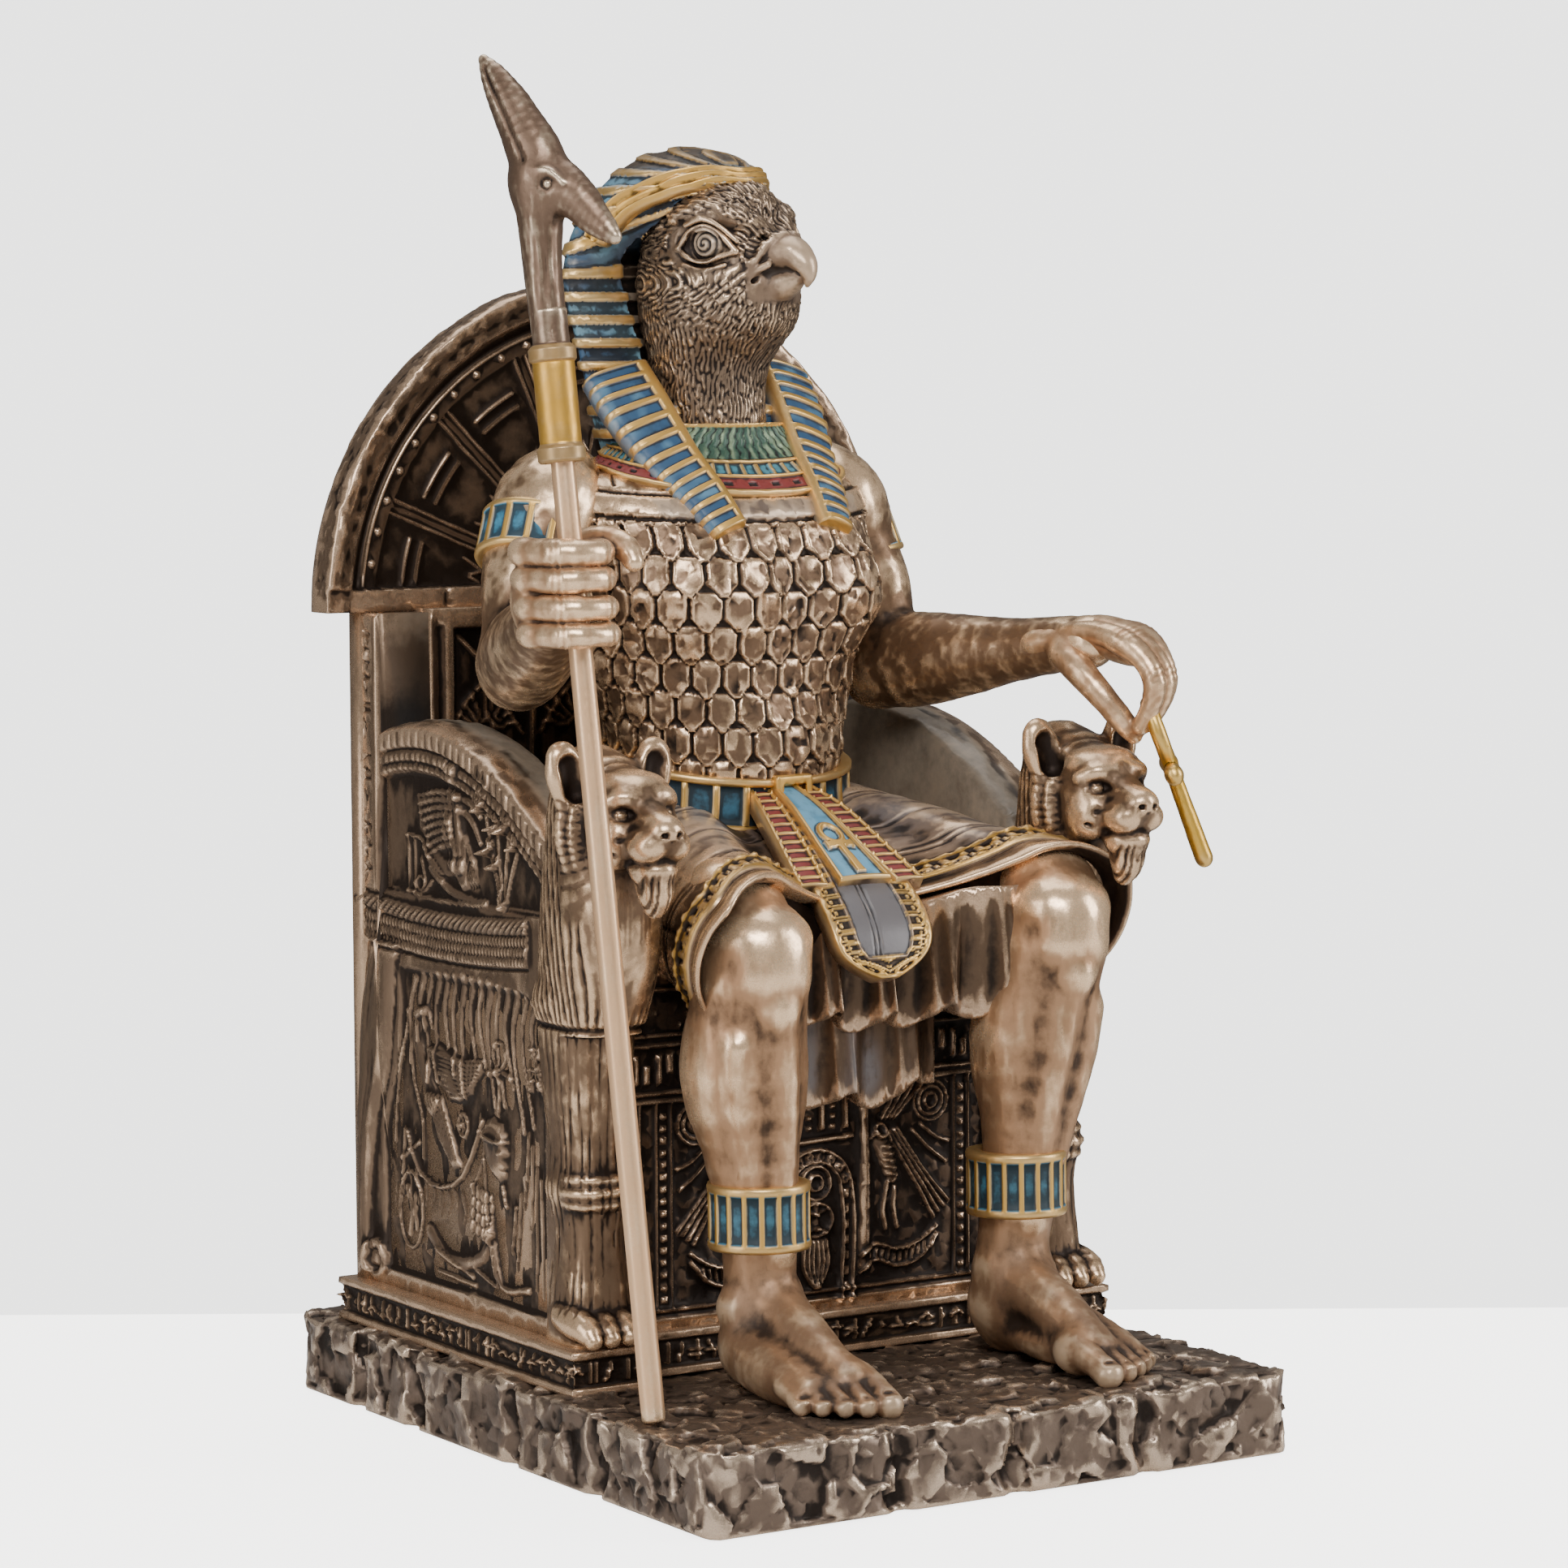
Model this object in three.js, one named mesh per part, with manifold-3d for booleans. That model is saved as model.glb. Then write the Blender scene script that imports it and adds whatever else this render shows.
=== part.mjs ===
import * as THREE from 'three';
import { mergeVertices } from 'three/addons/utils/BufferGeometryUtils.js';
import Module from 'manifold-3d';

// Driving sizes in millimetres. The figure faces -Y and its right side is -X.
const slab = { width: 132.6, depth: 162.4, height: 16, corner: 7, bevel: 1.4, joint: 1.1 };
const plinth = { ledge: 3.4, behind: 3.6, front: -25.7, height: 8.7, lip: 1.3, inset: 0.9 };
const throne = {
  ledge: 2.9,
  armThickness: 13.5,
  front: -15,
  back: 66.5,
  backThickness: 9,
  seatHeight: 72,
  armHeight: 116,
  bandHeight: 79,
  relief: 1.2,
};
const board = { overhang: 7.7, rim: 6.2, behind: 3.5, thickness: 8.2, sunk: 2.8, foot: 4.6, ribs: 7 };
const staff = { edge: 4.3, footY: -54, radius: 2.25, length: 186, sleeveRadius: 3.9, ringRadius: 4.5 };
const ankhSize = { wire: 1.9, stem: 19, arm: 7, loopLength: 13, loopWidth: 8.5 };
const figureHeight = 238;
const clearance = 0.35;

// Places that follow from the driving sizes.
const u = figureHeight / 238;
plinth.width = slab.width - 2 * plinth.ledge;
plinth.back = throne.back + plinth.behind;
throne.width = plinth.width - 2 * throne.ledge;
board.radius = throne.width / 2 + board.overhang;
board.back = throne.back + board.behind;
board.front = board.back - board.thickness;
board.field = board.front + board.sunk;
staff.footX = staff.edge - slab.width / 2;
const plinthTop = slab.height + plinth.height;
const seatTop = plinthTop + throne.seatHeight;
const boardFoot = plinthTop + 136.8;
const centreRecess = 8;
const blockInner = throne.width / 2 - throne.armThickness - 1;

const wasm = await Module();
wasm.setup();

const vec = (x, y, z) => new THREE.Vector3(x, y, z);
// A point of the figure: millimetres at its full height, measured up from the slab's top.
const at = (x, y, z) => vec(x * u, y * u, slab.height + z * u);
const mix = THREE.MathUtils.lerp;

// Solids from closed geometries, and back again.
function solid(geometry) {
  const bare = geometry.clone();
  bare.deleteAttribute('normal');
  bare.deleteAttribute('uv');
  const merged = mergeVertices(bare, 1e-4);
  const vertProperties = new Float32Array(merged.attributes.position.array);
  const triVerts = new Uint32Array(merged.index.array);
  return new wasm.Manifold(new wasm.Mesh({ numProp: 3, vertProperties, triVerts }));
}

function fuse(solids) {
  return solids.reduce((whole, piece) => whole.add(piece));
}

function geometryOf(manifold) {
  const mesh = manifold.getMesh();
  const geometry = new THREE.BufferGeometry();
  geometry.setAttribute('position', new THREE.BufferAttribute(new Float32Array(mesh.vertProperties), 3));
  geometry.setIndex(new THREE.BufferAttribute(new Uint32Array(mesh.triVerts), 1));
  geometry.computeVertexNormals();
  return geometry;
}

// A skin over closed rings of equally many points, capped at both ends.
function loft(rings) {
  const count = rings[0].length;
  const positions = rings.flat().flatMap((p) => [p.x, p.y, p.z]);
  const index = [];
  for (let r = 0; r + 1 < rings.length; r++) {
    for (let i = 0; i < count; i++) {
      const a = r * count + i;
      const b = r * count + ((i + 1) % count);
      index.push(a, b, b + count, a, b + count, a + count);
    }
  }
  const cap = (ring, start, flip) => {
    for (const [a, b, c] of capTriangles(ring)) {
      index.push(start + a, start + (flip ? c : b), start + (flip ? b : c));
    }
  };
  cap(rings[0], 0, true);
  cap(rings[rings.length - 1], (rings.length - 1) * count, false);
  const geometry = new THREE.BufferGeometry();
  geometry.setAttribute('position', new THREE.Float32BufferAttribute(positions, 3));
  geometry.setIndex(index);
  const whole = solid(geometry);
  return whole.volume() < 0 ? solid(turned(geometry)) : whole;
}

function turned(geometry) {
  const flipped = geometry.clone();
  const index = Array.from(geometry.index.array);
  for (let i = 0; i < index.length; i += 3) {
    [index[i + 1], index[i + 2]] = [index[i + 2], index[i + 1]];
  }
  flipped.setIndex(index);
  return flipped;
}

// Triangles over one ring, in the plane that fits it.
function capTriangles(ring) {
  const normal = vec(0, 0, 0);
  const centre = vec(0, 0, 0);
  for (let i = 0; i < ring.length; i++) {
    const p = ring[i];
    const q = ring[(i + 1) % ring.length];
    normal.add(vec().crossVectors(p, q));
    centre.add(p);
  }
  normal.normalize();
  centre.divideScalar(ring.length);
  const across = Math.abs(normal.z) < 0.9 ? vec(0, 0, 1) : vec(1, 0, 0);
  const side = vec().crossVectors(across, normal).normalize();
  const up = vec().crossVectors(normal, side);
  // A slight barrel bend keeps points on straight runs from being dropped as needless.
  const reach = Math.max(...ring.map((p) => p.distanceTo(centre)));
  const flat = ring.map((p) => {
    const d = p.clone().sub(centre);
    const bend = 1 - 0.002 * (d.length() / reach) ** 2;
    return new THREE.Vector2(d.dot(side) * bend, d.dot(up) * bend);
  });
  return THREE.ShapeUtils.triangulateShape(flat, []);
}

// One oval ring, squarer as its last number grows above 2.
function oval(centre, side, up, a, b, count, squareness = 2) {
  const ring = [];
  for (let i = 0; i < count; i++) {
    const turn = ((i + 0.5) / count) * 2 * Math.PI;
    const c = Math.cos(turn);
    const s = Math.sin(turn);
    const x = a * Math.sign(c) * Math.abs(c) ** (2 / squareness);
    const y = b * Math.sign(s) * Math.abs(s) ** (2 / squareness);
    ring.push(centre.clone().addScaledVector(side, x).addScaledVector(up, y));
  }
  return ring;
}

// A limb through stations of place, half width and half depth, with a domed far end.
function limb(stations, count, facing = vec(0, -1, 0)) {
  const last = stations.length - 1;
  const rings = stations.map(([place, a, b = a], i) => {
    const run = stations[Math.min(i + 1, last)][0].clone().sub(stations[Math.max(i - 1, 0)][0]).normalize();
    const side = vec().crossVectors(run, facing).normalize();
    return { place, a, b, run, side, up: vec().crossVectors(side, run) };
  });
  const { place, a, b, run, side, up } = rings[last];
  const tip = place.clone().addScaledVector(run, 0.55 * Math.min(a, b));
  rings.push({ place: tip, a: 0.55 * a, b: 0.55 * b, side, up });
  return loft(rings.map((ring) => oval(ring.place, ring.side, ring.up, ring.a, ring.b, count)));
}

function ball(centre, a, b = a, c = a, around = 10, down = 6) {
  const geometry = new THREE.SphereGeometry(1, around, down).rotateX(Math.PI / 2).scale(a, b, c);
  return solid(geometry.translate(centre.x, centre.y, centre.z));
}

function block(low, high) {
  const size = high.clone().sub(low);
  const geometry = new THREE.BoxGeometry(size.x, size.y, size.z);
  return solid(geometry.translate((low.x + high.x) / 2, (low.y + high.y) / 2, (low.z + high.z) / 2));
}

// An outline drawn in the (y, z) plane, made thick from x = from to x = to.
function sidePlate(outline, from, to) {
  return loft([outline.map(([y, z]) => vec(from, y, z)), outline.map(([y, z]) => vec(to, y, z))]);
}

// An outline drawn in the (x, z) plane, made thick from y = from to y = to.
function frontPlate(outline, from, to) {
  return loft([outline.map(([x, z]) => vec(x, from, z)), outline.map(([x, z]) => vec(x, to, z))]);
}

// The slab: a block outline with rounded corners and a notch at each joint between stones.
const jointShares = { side: [-0.55, -0.1, 0.42, 0.74], front: [-0.45, 0.02, 0.5] };

function slabOutline(inset) {
  const halfX = slab.width / 2 - inset;
  const halfY = slab.depth / 2 - inset;
  const bend = slab.corner;
  const points = [];
  const run = (from, to, shares, outward) => {
    for (const share of shares) {
      const middle = from.clone().lerp(to, 0.5 + share / 2);
      const along = to.clone().sub(from).normalize();
      points.push(middle.clone().addScaledVector(along, -slab.joint));
      points.push(middle.clone().addScaledVector(outward, -slab.joint));
      points.push(middle.clone().addScaledVector(along, slab.joint));
    }
  };
  const corner = (x, y, start) => {
    for (let i = 0; i <= 2; i++) {
      const turn = start + (i / 2) * (Math.PI / 2);
      points.push(new THREE.Vector2(x + bend * Math.cos(turn), y + bend * Math.sin(turn)));
    }
  };
  const p = (x, y) => new THREE.Vector2(x, y);
  const innerX = halfX - bend;
  const innerY = halfY - bend;
  corner(innerX, -innerY, -Math.PI / 2);
  run(p(halfX, -innerY), p(halfX, innerY), jointShares.side, p(1, 0));
  corner(innerX, innerY, 0);
  run(p(innerX, halfY), p(-innerX, halfY), jointShares.front, p(0, 1));
  corner(-innerX, innerY, Math.PI / 2);
  run(p(-halfX, innerY), p(-halfX, -innerY), jointShares.side.map((s) => -s).reverse(), p(-1, 0));
  corner(-innerX, -innerY, Math.PI);
  run(p(-innerX, -halfY), p(innerX, -halfY), jointShares.front, p(0, -1));
  return points;
}

function slabSolid() {
  const levels = [[0, 0.4], [slab.height - slab.bevel, 0], [slab.height, slab.bevel]];
  return loft(levels.map(([z, inset]) => slabOutline(inset).map((p) => vec(p.x, p.y, z))));
}

// The plinth: lips above and below a sunk frieze, and a front that steps back between the paws.
function plinthOutline(inset) {
  const half = plinth.width / 2 - inset;
  const front = plinth.front + inset;
  const back = plinth.back - inset;
  const step = blockInner - 1 + inset;
  const inner = plinth.front + centreRecess + inset;
  return [
    [-half, front], [-step, front], [-step, inner], [step, inner],
    [step, front], [half, front], [half, back], [-half, back],
  ];
}

function plinthSolid() {
  const { height, lip, inset } = plinth;
  const levels = [
    [-0.5, 0], [lip, 0], [lip + 0.5, inset], [height - lip - 0.5, inset], [height - lip, 0], [height, 0],
  ];
  return loft(levels.map(([z, sunk]) => plinthOutline(sunk).map(([x, y]) => vec(x, y, slab.height + z))));
}

// The arm's arched top as a height over y, from the back post down to the lion's mane.
function armTop(y) {
  const front = -12;
  const back = throne.back - throne.backThickness;
  const t = THREE.MathUtils.clamp((y - front) / (back - front), 0, 1);
  return plinthTop + throne.armHeight - 21 * (1 - t) ** 2.2 + 1.5 * Math.sin(Math.PI * t) - 3.5 * t ** 4;
}

function armArc(from, to, steps, drop) {
  const points = [];
  for (let i = 0; i <= steps; i++) {
    const y = mix(from, to, i / steps);
    points.push([y, armTop(y) - drop]);
  }
  return points;
}

// One side of the throne: side = -1 for the figure's right, 1 for its left.
function throneSide(side) {
  const outer = (side * throne.width) / 2;
  const inner = side * (throne.width / 2 - throne.armThickness);
  const face = outer - side * throne.relief;
  const back = throne.back - throne.backThickness;
  const floor = plinthTop - 0.5;
  const bandTop = plinthTop + throne.bandHeight;
  const parts = [sidePlate([[-12, floor], [back + 1, floor], ...armArc(back + 1, -12, 7, 0)], inner, face)];
  // Two rows of feathers follow the arch, the upper row with notched tips.
  const feathers = 8;
  const tips = [];
  for (let i = 0; i < feathers; i++) {
    const y = mix(-10, back - 1, i / feathers);
    const step = (back + 9) / feathers;
    tips.push([y, armTop(y) - 3.6], [y + step * 0.5, armTop(y + step * 0.5) - 5]);
  }
  parts.push(sidePlate([...armArc(back + 0.6, -10, 6, 0.3), ...tips], face - side, outer + side * 0.4));
  const quills = [...armArc(back + 0.6, -9, 4, 5), ...armArc(-9, back + 0.6, 4, 8.4)];
  parts.push(sidePlate(quills, face - side, outer - side * 0.4));
  // The braided band between the upper and lower panels.
  for (const [z, high, reach] of [[bandTop, 2, 0.8], [bandTop - 5.5, 5, 0.4]]) {
    const strip = [[2, z], [back + 4, z], [back + 4, z + high], [2, z + high]];
    parts.push(sidePlate(strip, face - side, outer + side * reach));
  }
  parts.push(...upperPanel(side, face), ...lowerPanel(side, face));
  return fuse(parts);
}

// A raised shape on the side wall, from its outline in (y, z) from the plinth's top.
function raised(side, face, outline, height) {
  const lifted = outline.map(([y, z]) => [y, plinthTop + z]);
  return sidePlate(lifted, face - side * 0.6, face + side * height);
}

// A strip that tapers between two points, for limbs, leaves and stems.
function spindle([y0, z0], [y1, z1], width) {
  const length = Math.hypot(y1 - y0, z1 - z0);
  const ny = (-(z1 - z0) / length) * (width / 2);
  const nz = ((y1 - y0) / length) * (width / 2);
  const far = 0.6;
  const start = [[y0 + ny, z0 + nz], [y0 - ny, z0 - nz]];
  const end = [[y1 + ny * far, z1 + nz * far], [y1 - ny * far, z1 - nz * far]];
  return [start[0], end[0], end[1], start[1]];
}

// A wing or tail: a fan of notched feathers from one root, between two turns in degrees.
function fan(root, from, to, reach, feathers) {
  const points = [root];
  for (let i = 0; i <= feathers * 2; i++) {
    const turn = THREE.MathUtils.degToRad(mix(from, to, i / (feathers * 2)));
    const length = reach * (i % 2 ? 1 : 0.82);
    points.push([root[0] + length * Math.cos(turn), root[1] + length * Math.sin(turn)]);
  }
  return points;
}

// The upper panel: a kneeling winged figure and a tall bunch of flowers.
function upperPanel(side, face) {
  const limbs = [
    [[40, 102], [37, 88], 6], [[38, 90], [24, 85], 6], [[36, 99], [24, 102], 2.4], [[14, 84], [17, 104], 2],
  ];
  const parts = limbs.map(([from, to, width]) => raised(side, face, spindle(from, to, width), 1));
  parts.push(raised(side, face, [[38, 101], [34, 101], [33, 105], [36, 107.5], [39, 105.5]], 1.1));
  parts.push(raised(side, face, fan([40, 99], -50, 30, 13, 4), 0.8));
  return parts;
}

// The lower panel: the lion's hind leg, a bird with raised wings, a reclining sphinx and reeds.
function lowerPanel(side, face) {
  const hindLeg = [[64, 71], [54, 71], [53, 60], [57, 46], [56, 8], [50, 5], [50, 1], [64, 1]];
  const shapes = [
    [[47, 57], [44, 35], 6], [[41, 20], [25, 13], 7], [[26, 12], [24, 24], 5],
    [[38, 12], [20, 9.5], 2.8], [[12, 5], [10, 34], 2],
  ];
  const parts = [raised(side, face, hindLeg, 1.5)];
  parts.push(...shapes.map(([from, to, width]) => raised(side, face, spindle(from, to, width), 1)));
  parts.push(raised(side, face, fan([45, 42], 160, 205, 17, 3), 0.8));
  parts.push(raised(side, face, [[27, 22], [20, 22], [21, 29], [24.5, 31], [28, 27]], 1.3));
  return parts;
}

// The seat box with its framed front panel, and the rounded back slab above it.
function throneBody() {
  const half = throne.width / 2;
  const floor = plinthTop - 0.5;
  const seatBack = throne.back - throne.backThickness;
  const parts = [
    block(vec(-half + 2, throne.front, floor), vec(half - 2, seatBack + 2, seatTop)),
    block(vec(-half, seatBack, floor), vec(half, throne.back, boardFoot + 1)),
  ];
  const frame = block(vec(-half + 2, seatBack - 2.2, seatTop), vec(half - 2, seatBack + 0.5, boardFoot));
  const low = vec(-half + 18, seatBack - 4, seatTop - 1);
  const opening = block(low, vec(half - 18, seatBack - 0.6, boardFoot - 3));
  parts.push(frame.subtract(opening));
  parts.push(...frontPanel(), ...backPanel());
  return fuse(parts);
}

// A raised strip on the throne's front, between two points in (x, z).
function frontStrip(x0, z0, x1, z1, height) {
  const y = throne.front;
  return block(vec(x0, y - height, plinthTop + z0), vec(x1, y + 0.5, plinthTop + z1));
}

function frontPanel() {
  const parts = [];
  const edge = blockInner - 2;
  for (const x of [-16, 12.4]) {
    parts.push(frontStrip(x, 1, x + 1.6, 56, 0.9));
  }
  for (const z of [1.4, 42, 54.6]) {
    parts.push(frontStrip(-edge, z, edge, z + 1.4, 0.9));
  }
  // A ringed oval at the middle and a standing bird on either side.
  const ring = (rx, rz) => {
    const points = [];
    for (let i = 0; i < 8; i++) {
      const turn = (i / 8) * 2 * Math.PI;
      points.push([rx * Math.cos(turn) - 1, plinthTop + 21 + rz * Math.sin(turn)]);
    }
    return points;
  };
  const y = throne.front;
  parts.push(frontPlate(ring(8.5, 17), y + 0.5, y - 1).subtract(frontPlate(ring(6.6, 15), y - 0.3, y - 3)));
  for (const side of [-1, 1]) {
    const bird = [
      [[33, 38], [28, 22], 7], [[29, 26], [38, 14], 5], [[30, 24], [29, 13], 2],
    ];
    for (const [from, to, width] of bird) {
      const outline = spindle(from, to, width).map(([x, z]) => [side * x, plinthTop + z]);
      parts.push(frontPlate(outline, y + 0.5, y - 1.1));
    }
  }
  return parts;
}

// The throne's back seen from behind: a framed field with tall leaves.
function backPanel() {
  const parts = [];
  const y = throne.back;
  const half = throne.width / 2;
  const frame = block(vec(-half, y - 0.5, plinthTop - 0.3), vec(half, y + 1.4, boardFoot + 1));
  const openings = [[5, 60], [64, 132]].map(([low, high]) =>
    block(vec(-half + 5, y, plinthTop + low), vec(half - 5, y + 3, plinthTop + high)),
  );
  parts.push(frame.subtract(fuse(openings)));
  for (let i = -2; i <= 2; i++) {
    const leaf = spindle([i * 8, 6], [i * 19, 56 - 4 * Math.abs(i)], 9).map(([x, z]) => [x, plinthTop + z]);
    parts.push(frontPlate(leaf, y - 0.5, y + 1));
  }
  return parts;
}

// The half-round back board: a thick rim, a sunk field with spokes and nested arcs, and a foot bar.
function arc(radius, steps, from = 0, to = Math.PI) {
  const points = [];
  for (let i = 0; i <= steps; i++) {
    const turn = mix(from, to, i / steps);
    points.push([radius * Math.cos(turn), boardFoot + radius * Math.sin(turn)]);
  }
  return points;
}

function boardSolid() {
  const { radius, rim, back, front, field, foot, ribs } = board;
  const steps = 18;
  const disc = frontPlate(arc(radius, steps), back, front);
  const sunk = frontPlate(arc(radius - rim, steps, 0.075, Math.PI - 0.075), field, front - 1);
  const parts = [disc.subtract(sunk)];
  const strip = (from, to, turn, width, height) => {
    const along = [Math.cos(turn), Math.sin(turn)];
    const across = [-along[1] * (width / 2), along[0] * (width / 2)];
    const corner = (r, s) => [along[0] * r + across[0] * s, boardFoot + along[1] * r + across[1] * s];
    const outline = [corner(from, -1), corner(to, -1), corner(to, 1), corner(from, 1)];
    return frontPlate(outline, field + 0.5, field - height);
  };
  for (let i = 1; i <= ribs; i++) {
    parts.push(strip(8, radius - rim - 5, (i / (ribs + 1)) * Math.PI, 2.6, 1.1));
  }
  const low = 0.09;
  const outer = arc(radius - rim - 4.6, 12, low, Math.PI - low);
  const inner = arc(radius - rim - 6, 12, Math.PI - low, low);
  parts.push(frontPlate([...outer, ...inner], field + 0.5, field - 0.8));
  parts.push(block(vec(-radius + 2, front, boardFoot - 0.01), vec(radius - 2, back, boardFoot + foot)));
  const backRing = [...arc(radius - 3, 10), ...arc(radius - 7, 10, Math.PI, 0)];
  parts.push(frontPlate(backRing, back - 0.5, back + 0.8));
  return fuse(parts);
}

// One forequarter lion at the end of a throne arm: side = -1 or 1.
const lion = { inset: 7, ahead: { right: 0, left: 5 } };

function lionSolid(side) {
  const cx = side * (throne.width / 2 - lion.inset);
  const push = side < 0 ? lion.ahead.right : lion.ahead.left;
  const shift = (z) => push * THREE.MathUtils.smoothstep(z, 70, 95);
  const p = (x, y, z) => vec(cx + side * x, y - shift(z), plinthTop + z);
  const across = vec(1, 0, 0);
  const deep = vec(0, 1, 0);
  // Flutes: every other point of a ring stands out, the rest are sunk.
  const fluted = (centre, a, b, count, fade) =>
    oval(centre, across, deep, a, b, count, 2.8).map((q, i) => {
      const out = q.clone().sub(centre).setZ(0).normalize();
      return q.addScaledVector(out, i % 2 ? fade : -fade);
    });
  const mane = [[-17.5, 62, 8.6, 11.5], [-20, 75, 9.6, 13], [-22, 96, 9.5, 10.5], [-22, 110, 7, 7]];
  const leg = [
    [-15.5, -0.5, 7.2, 8.6], [-15.2, 26, 6.5, 8], [-15.2, 29, 7.4, 8.8], [-15.2, 32, 6.6, 8],
    [-15, 66, 8.2, 9.4],
  ];
  const parts = [
    loft(mane.map(([y, z, a, b]) => fluted(p(0, y, z), a, b, 14, 0.4))),
    loft(leg.map(([y, z, a, b]) => fluted(p(0, y, z), a, b, 8, 0.2))),
  ];
  // The face in one skin from the ruff over the brow to the nose, and the ears.
  const face = [
    [-20, 99, 9, 11], [-25.5, 100, 11.6, 13.4], [-28.8, 100.6, 9.8, 11.6], [-29.4, 101.4, 8.6, 9],
    [-35.5, 101.6, 7.4, 7.4],
    [-37.5, 98.8, 5.8, 6.6], [-43.6, 98, 4.8, 4.8], [-46, 98.6, 2.6, 2.4],
  ];
  const up = vec(0, 0, 1);
  parts.push(loft(face.map(([y, z, a, b]) => oval(p(0, y, z), across, up, a, b, 10))));
  for (const s of [-1, 1]) {
    parts.push(limb([[p(s * 8.4, -23.5, 107), 3.4, 1.7], [p(s * 10.3, -22.8, 114), 2, 1.1]], 5));
  }
  for (let i = 0; i < 4; i++) {
    const x = mix(-5.7, 5.7, i / 3);
    parts.push(limb([[p(x, -20, 4.2), 2.4, 3.6], [p(x, -26.5, 2.8), 2.2, 2.8]], 4, up));
  }
  return fuse(parts);
}

// Values over stations, each [key, ...values], eased between neighbours.
function along(stations, key) {
  const last = stations.length - 1;
  for (let i = 0; i < last; i++) {
    const [a, ...from] = stations[i];
    const [b, ...to] = stations[i + 1];
    if (key <= b || i === last - 1) {
      const t = THREE.MathUtils.clamp((key - a) / (b - a), 0, 1);
      const eased = (t + THREE.MathUtils.smoothstep(t, 0, 1)) / 2;
      return from.map((value, j) => mix(value, to[j], eased));
    }
  }
  return stations[0].slice(1);
}

// The trunk turns a little to the figure's left, and the head turns more.
const trunk = { y: 21.2, turn: 7 };
const neck = { x: -0.5, y: 25.2, turn: 16 };

function turnedAt(axis, aside, ahead, z) {
  const turn = THREE.MathUtils.degToRad(axis.turn);
  const x = (axis.x ?? 0) + aside * Math.cos(turn) + ahead * Math.sin(turn);
  return at(x, axis.y - ahead * Math.cos(turn) + aside * Math.sin(turn), z);
}

function turnedRing(axis, [z, ahead, a, b], count, squareness = 2.3) {
  const centre = turnedAt(axis, 0, ahead, z);
  const side = turnedAt(axis, 1, ahead, z).sub(centre).normalize();
  const back = turnedAt(axis, 0, ahead - 1, z).sub(centre).normalize();
  return oval(centre, side, back, a * u, b * u, count, squareness);
}

// The trunk's sections: height, centre ahead of the axis, half width, half depth.
const torso = [
  [100, 0, 27, 20], [110, 0, 24, 19.6], [120, 0, 24.4, 19.6], [130, 0, 28, 20], [140, 0, 29.6, 20.4],
  [152, 0, 31.6, 20.6],
  [162, 0, 33, 19.5], [168, -1, 32.5, 16.5], [173, -2.2, 29, 13], [178, -3.6, 22, 10.4],
  [183, -4, 13.5, 10.2],
  [188, -4, 11, 10],
];

function torsoRing(z, count, out, lift = () => 0) {
  const [ahead, a, b] = along(torso, z);
  return turnedRing(trunk, [z, ahead, a + out, b + out], count).map((p, i) => p.setZ(p.z + lift(i, p) * u));
}

// The cuirass: rows of pointed scales, each row lapping over the one below.
const scales = { rows: 6, across: 11, top: 163, bottom: 117.6, point: 2, proud: 1.1 };

function torsoSolid() {
  const count = scales.across * 2;
  const rings = [torsoRing(102, count, 0)];
  const pitch = (scales.top - scales.bottom) / scales.rows;
  const point = (row) => (i) => ((i + row) % 2 ? -scales.point : scales.point);
  for (let row = 0; row < scales.rows; row++) {
    const z = scales.bottom + row * pitch;
    rings.push(torsoRing(z, count, 0, point(row)), torsoRing(z, count, scales.proud, point(row)));
  }
  rings.push(torsoRing(scales.top, count, 0.2));
  return loft(rings);
}

// The belt dips towards its square buckle.
function beltSolid() {
  const tilt = (i, p) => ((p.y / u) - 1) * 0.22;
  const profile = [
    [106, 1], [106.4, 2.5], [108.6, 2.4], [109.2, 1.5], [114.4, 1.5], [115, 2.4], [117.4, 2],
  ];
  const rings = profile.map(([z, out]) => torsoRing(z, 12, out, tilt));
  const plate = (half, low, high, from, to) => {
    const outline = [[-half, low], [half, low], [half, high], [-half, high]];
    return loft([from, to].map((ahead) => outline.map(([x, z]) => turnedAt(trunk, x - 0.5, ahead, z))));
  };
  const buckle = plate(5.2, 105.6, 117.4, 13, 23.6).subtract(plate(2.7, 108.3, 114.7, 22.4, 25));
  return loft(rings).add(buckle);
}

// The broad collar: stepped bands over chest, back and shoulders, from the cuirass up the neck.
const collar = { top: 186, lap: 2 };

function collarSolid() {
  const bands = [
    [0, -1], [0.024, 1.8], [0.16, 1.4], [0.344, 0.8], [0.36, 2.6], [0.464, 2.4], [0.48, 1.4],
    [0.64, 1.2], [0.664, 2.2],
    [1, 1.8],
  ];
  const foot = scales.top - collar.lap;
  return loft(bands.map(([share, out]) => torsoRing(mix(foot, collar.top, share), 13, out)));
}

// The kilt over both thighs: rings from the waist to the hem, each from one outer side to the other.
const knees = { right: [-28, -35, 81], left: [42, -36, 83] };

// The lap's line between the thighs: height over y, from the belt to the flap's end.
const lap = [[1.5, 109], [-7, 105], [-17, 98.5], [-25, 92], [-30.5, 85], [-32, 77]];

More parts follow.
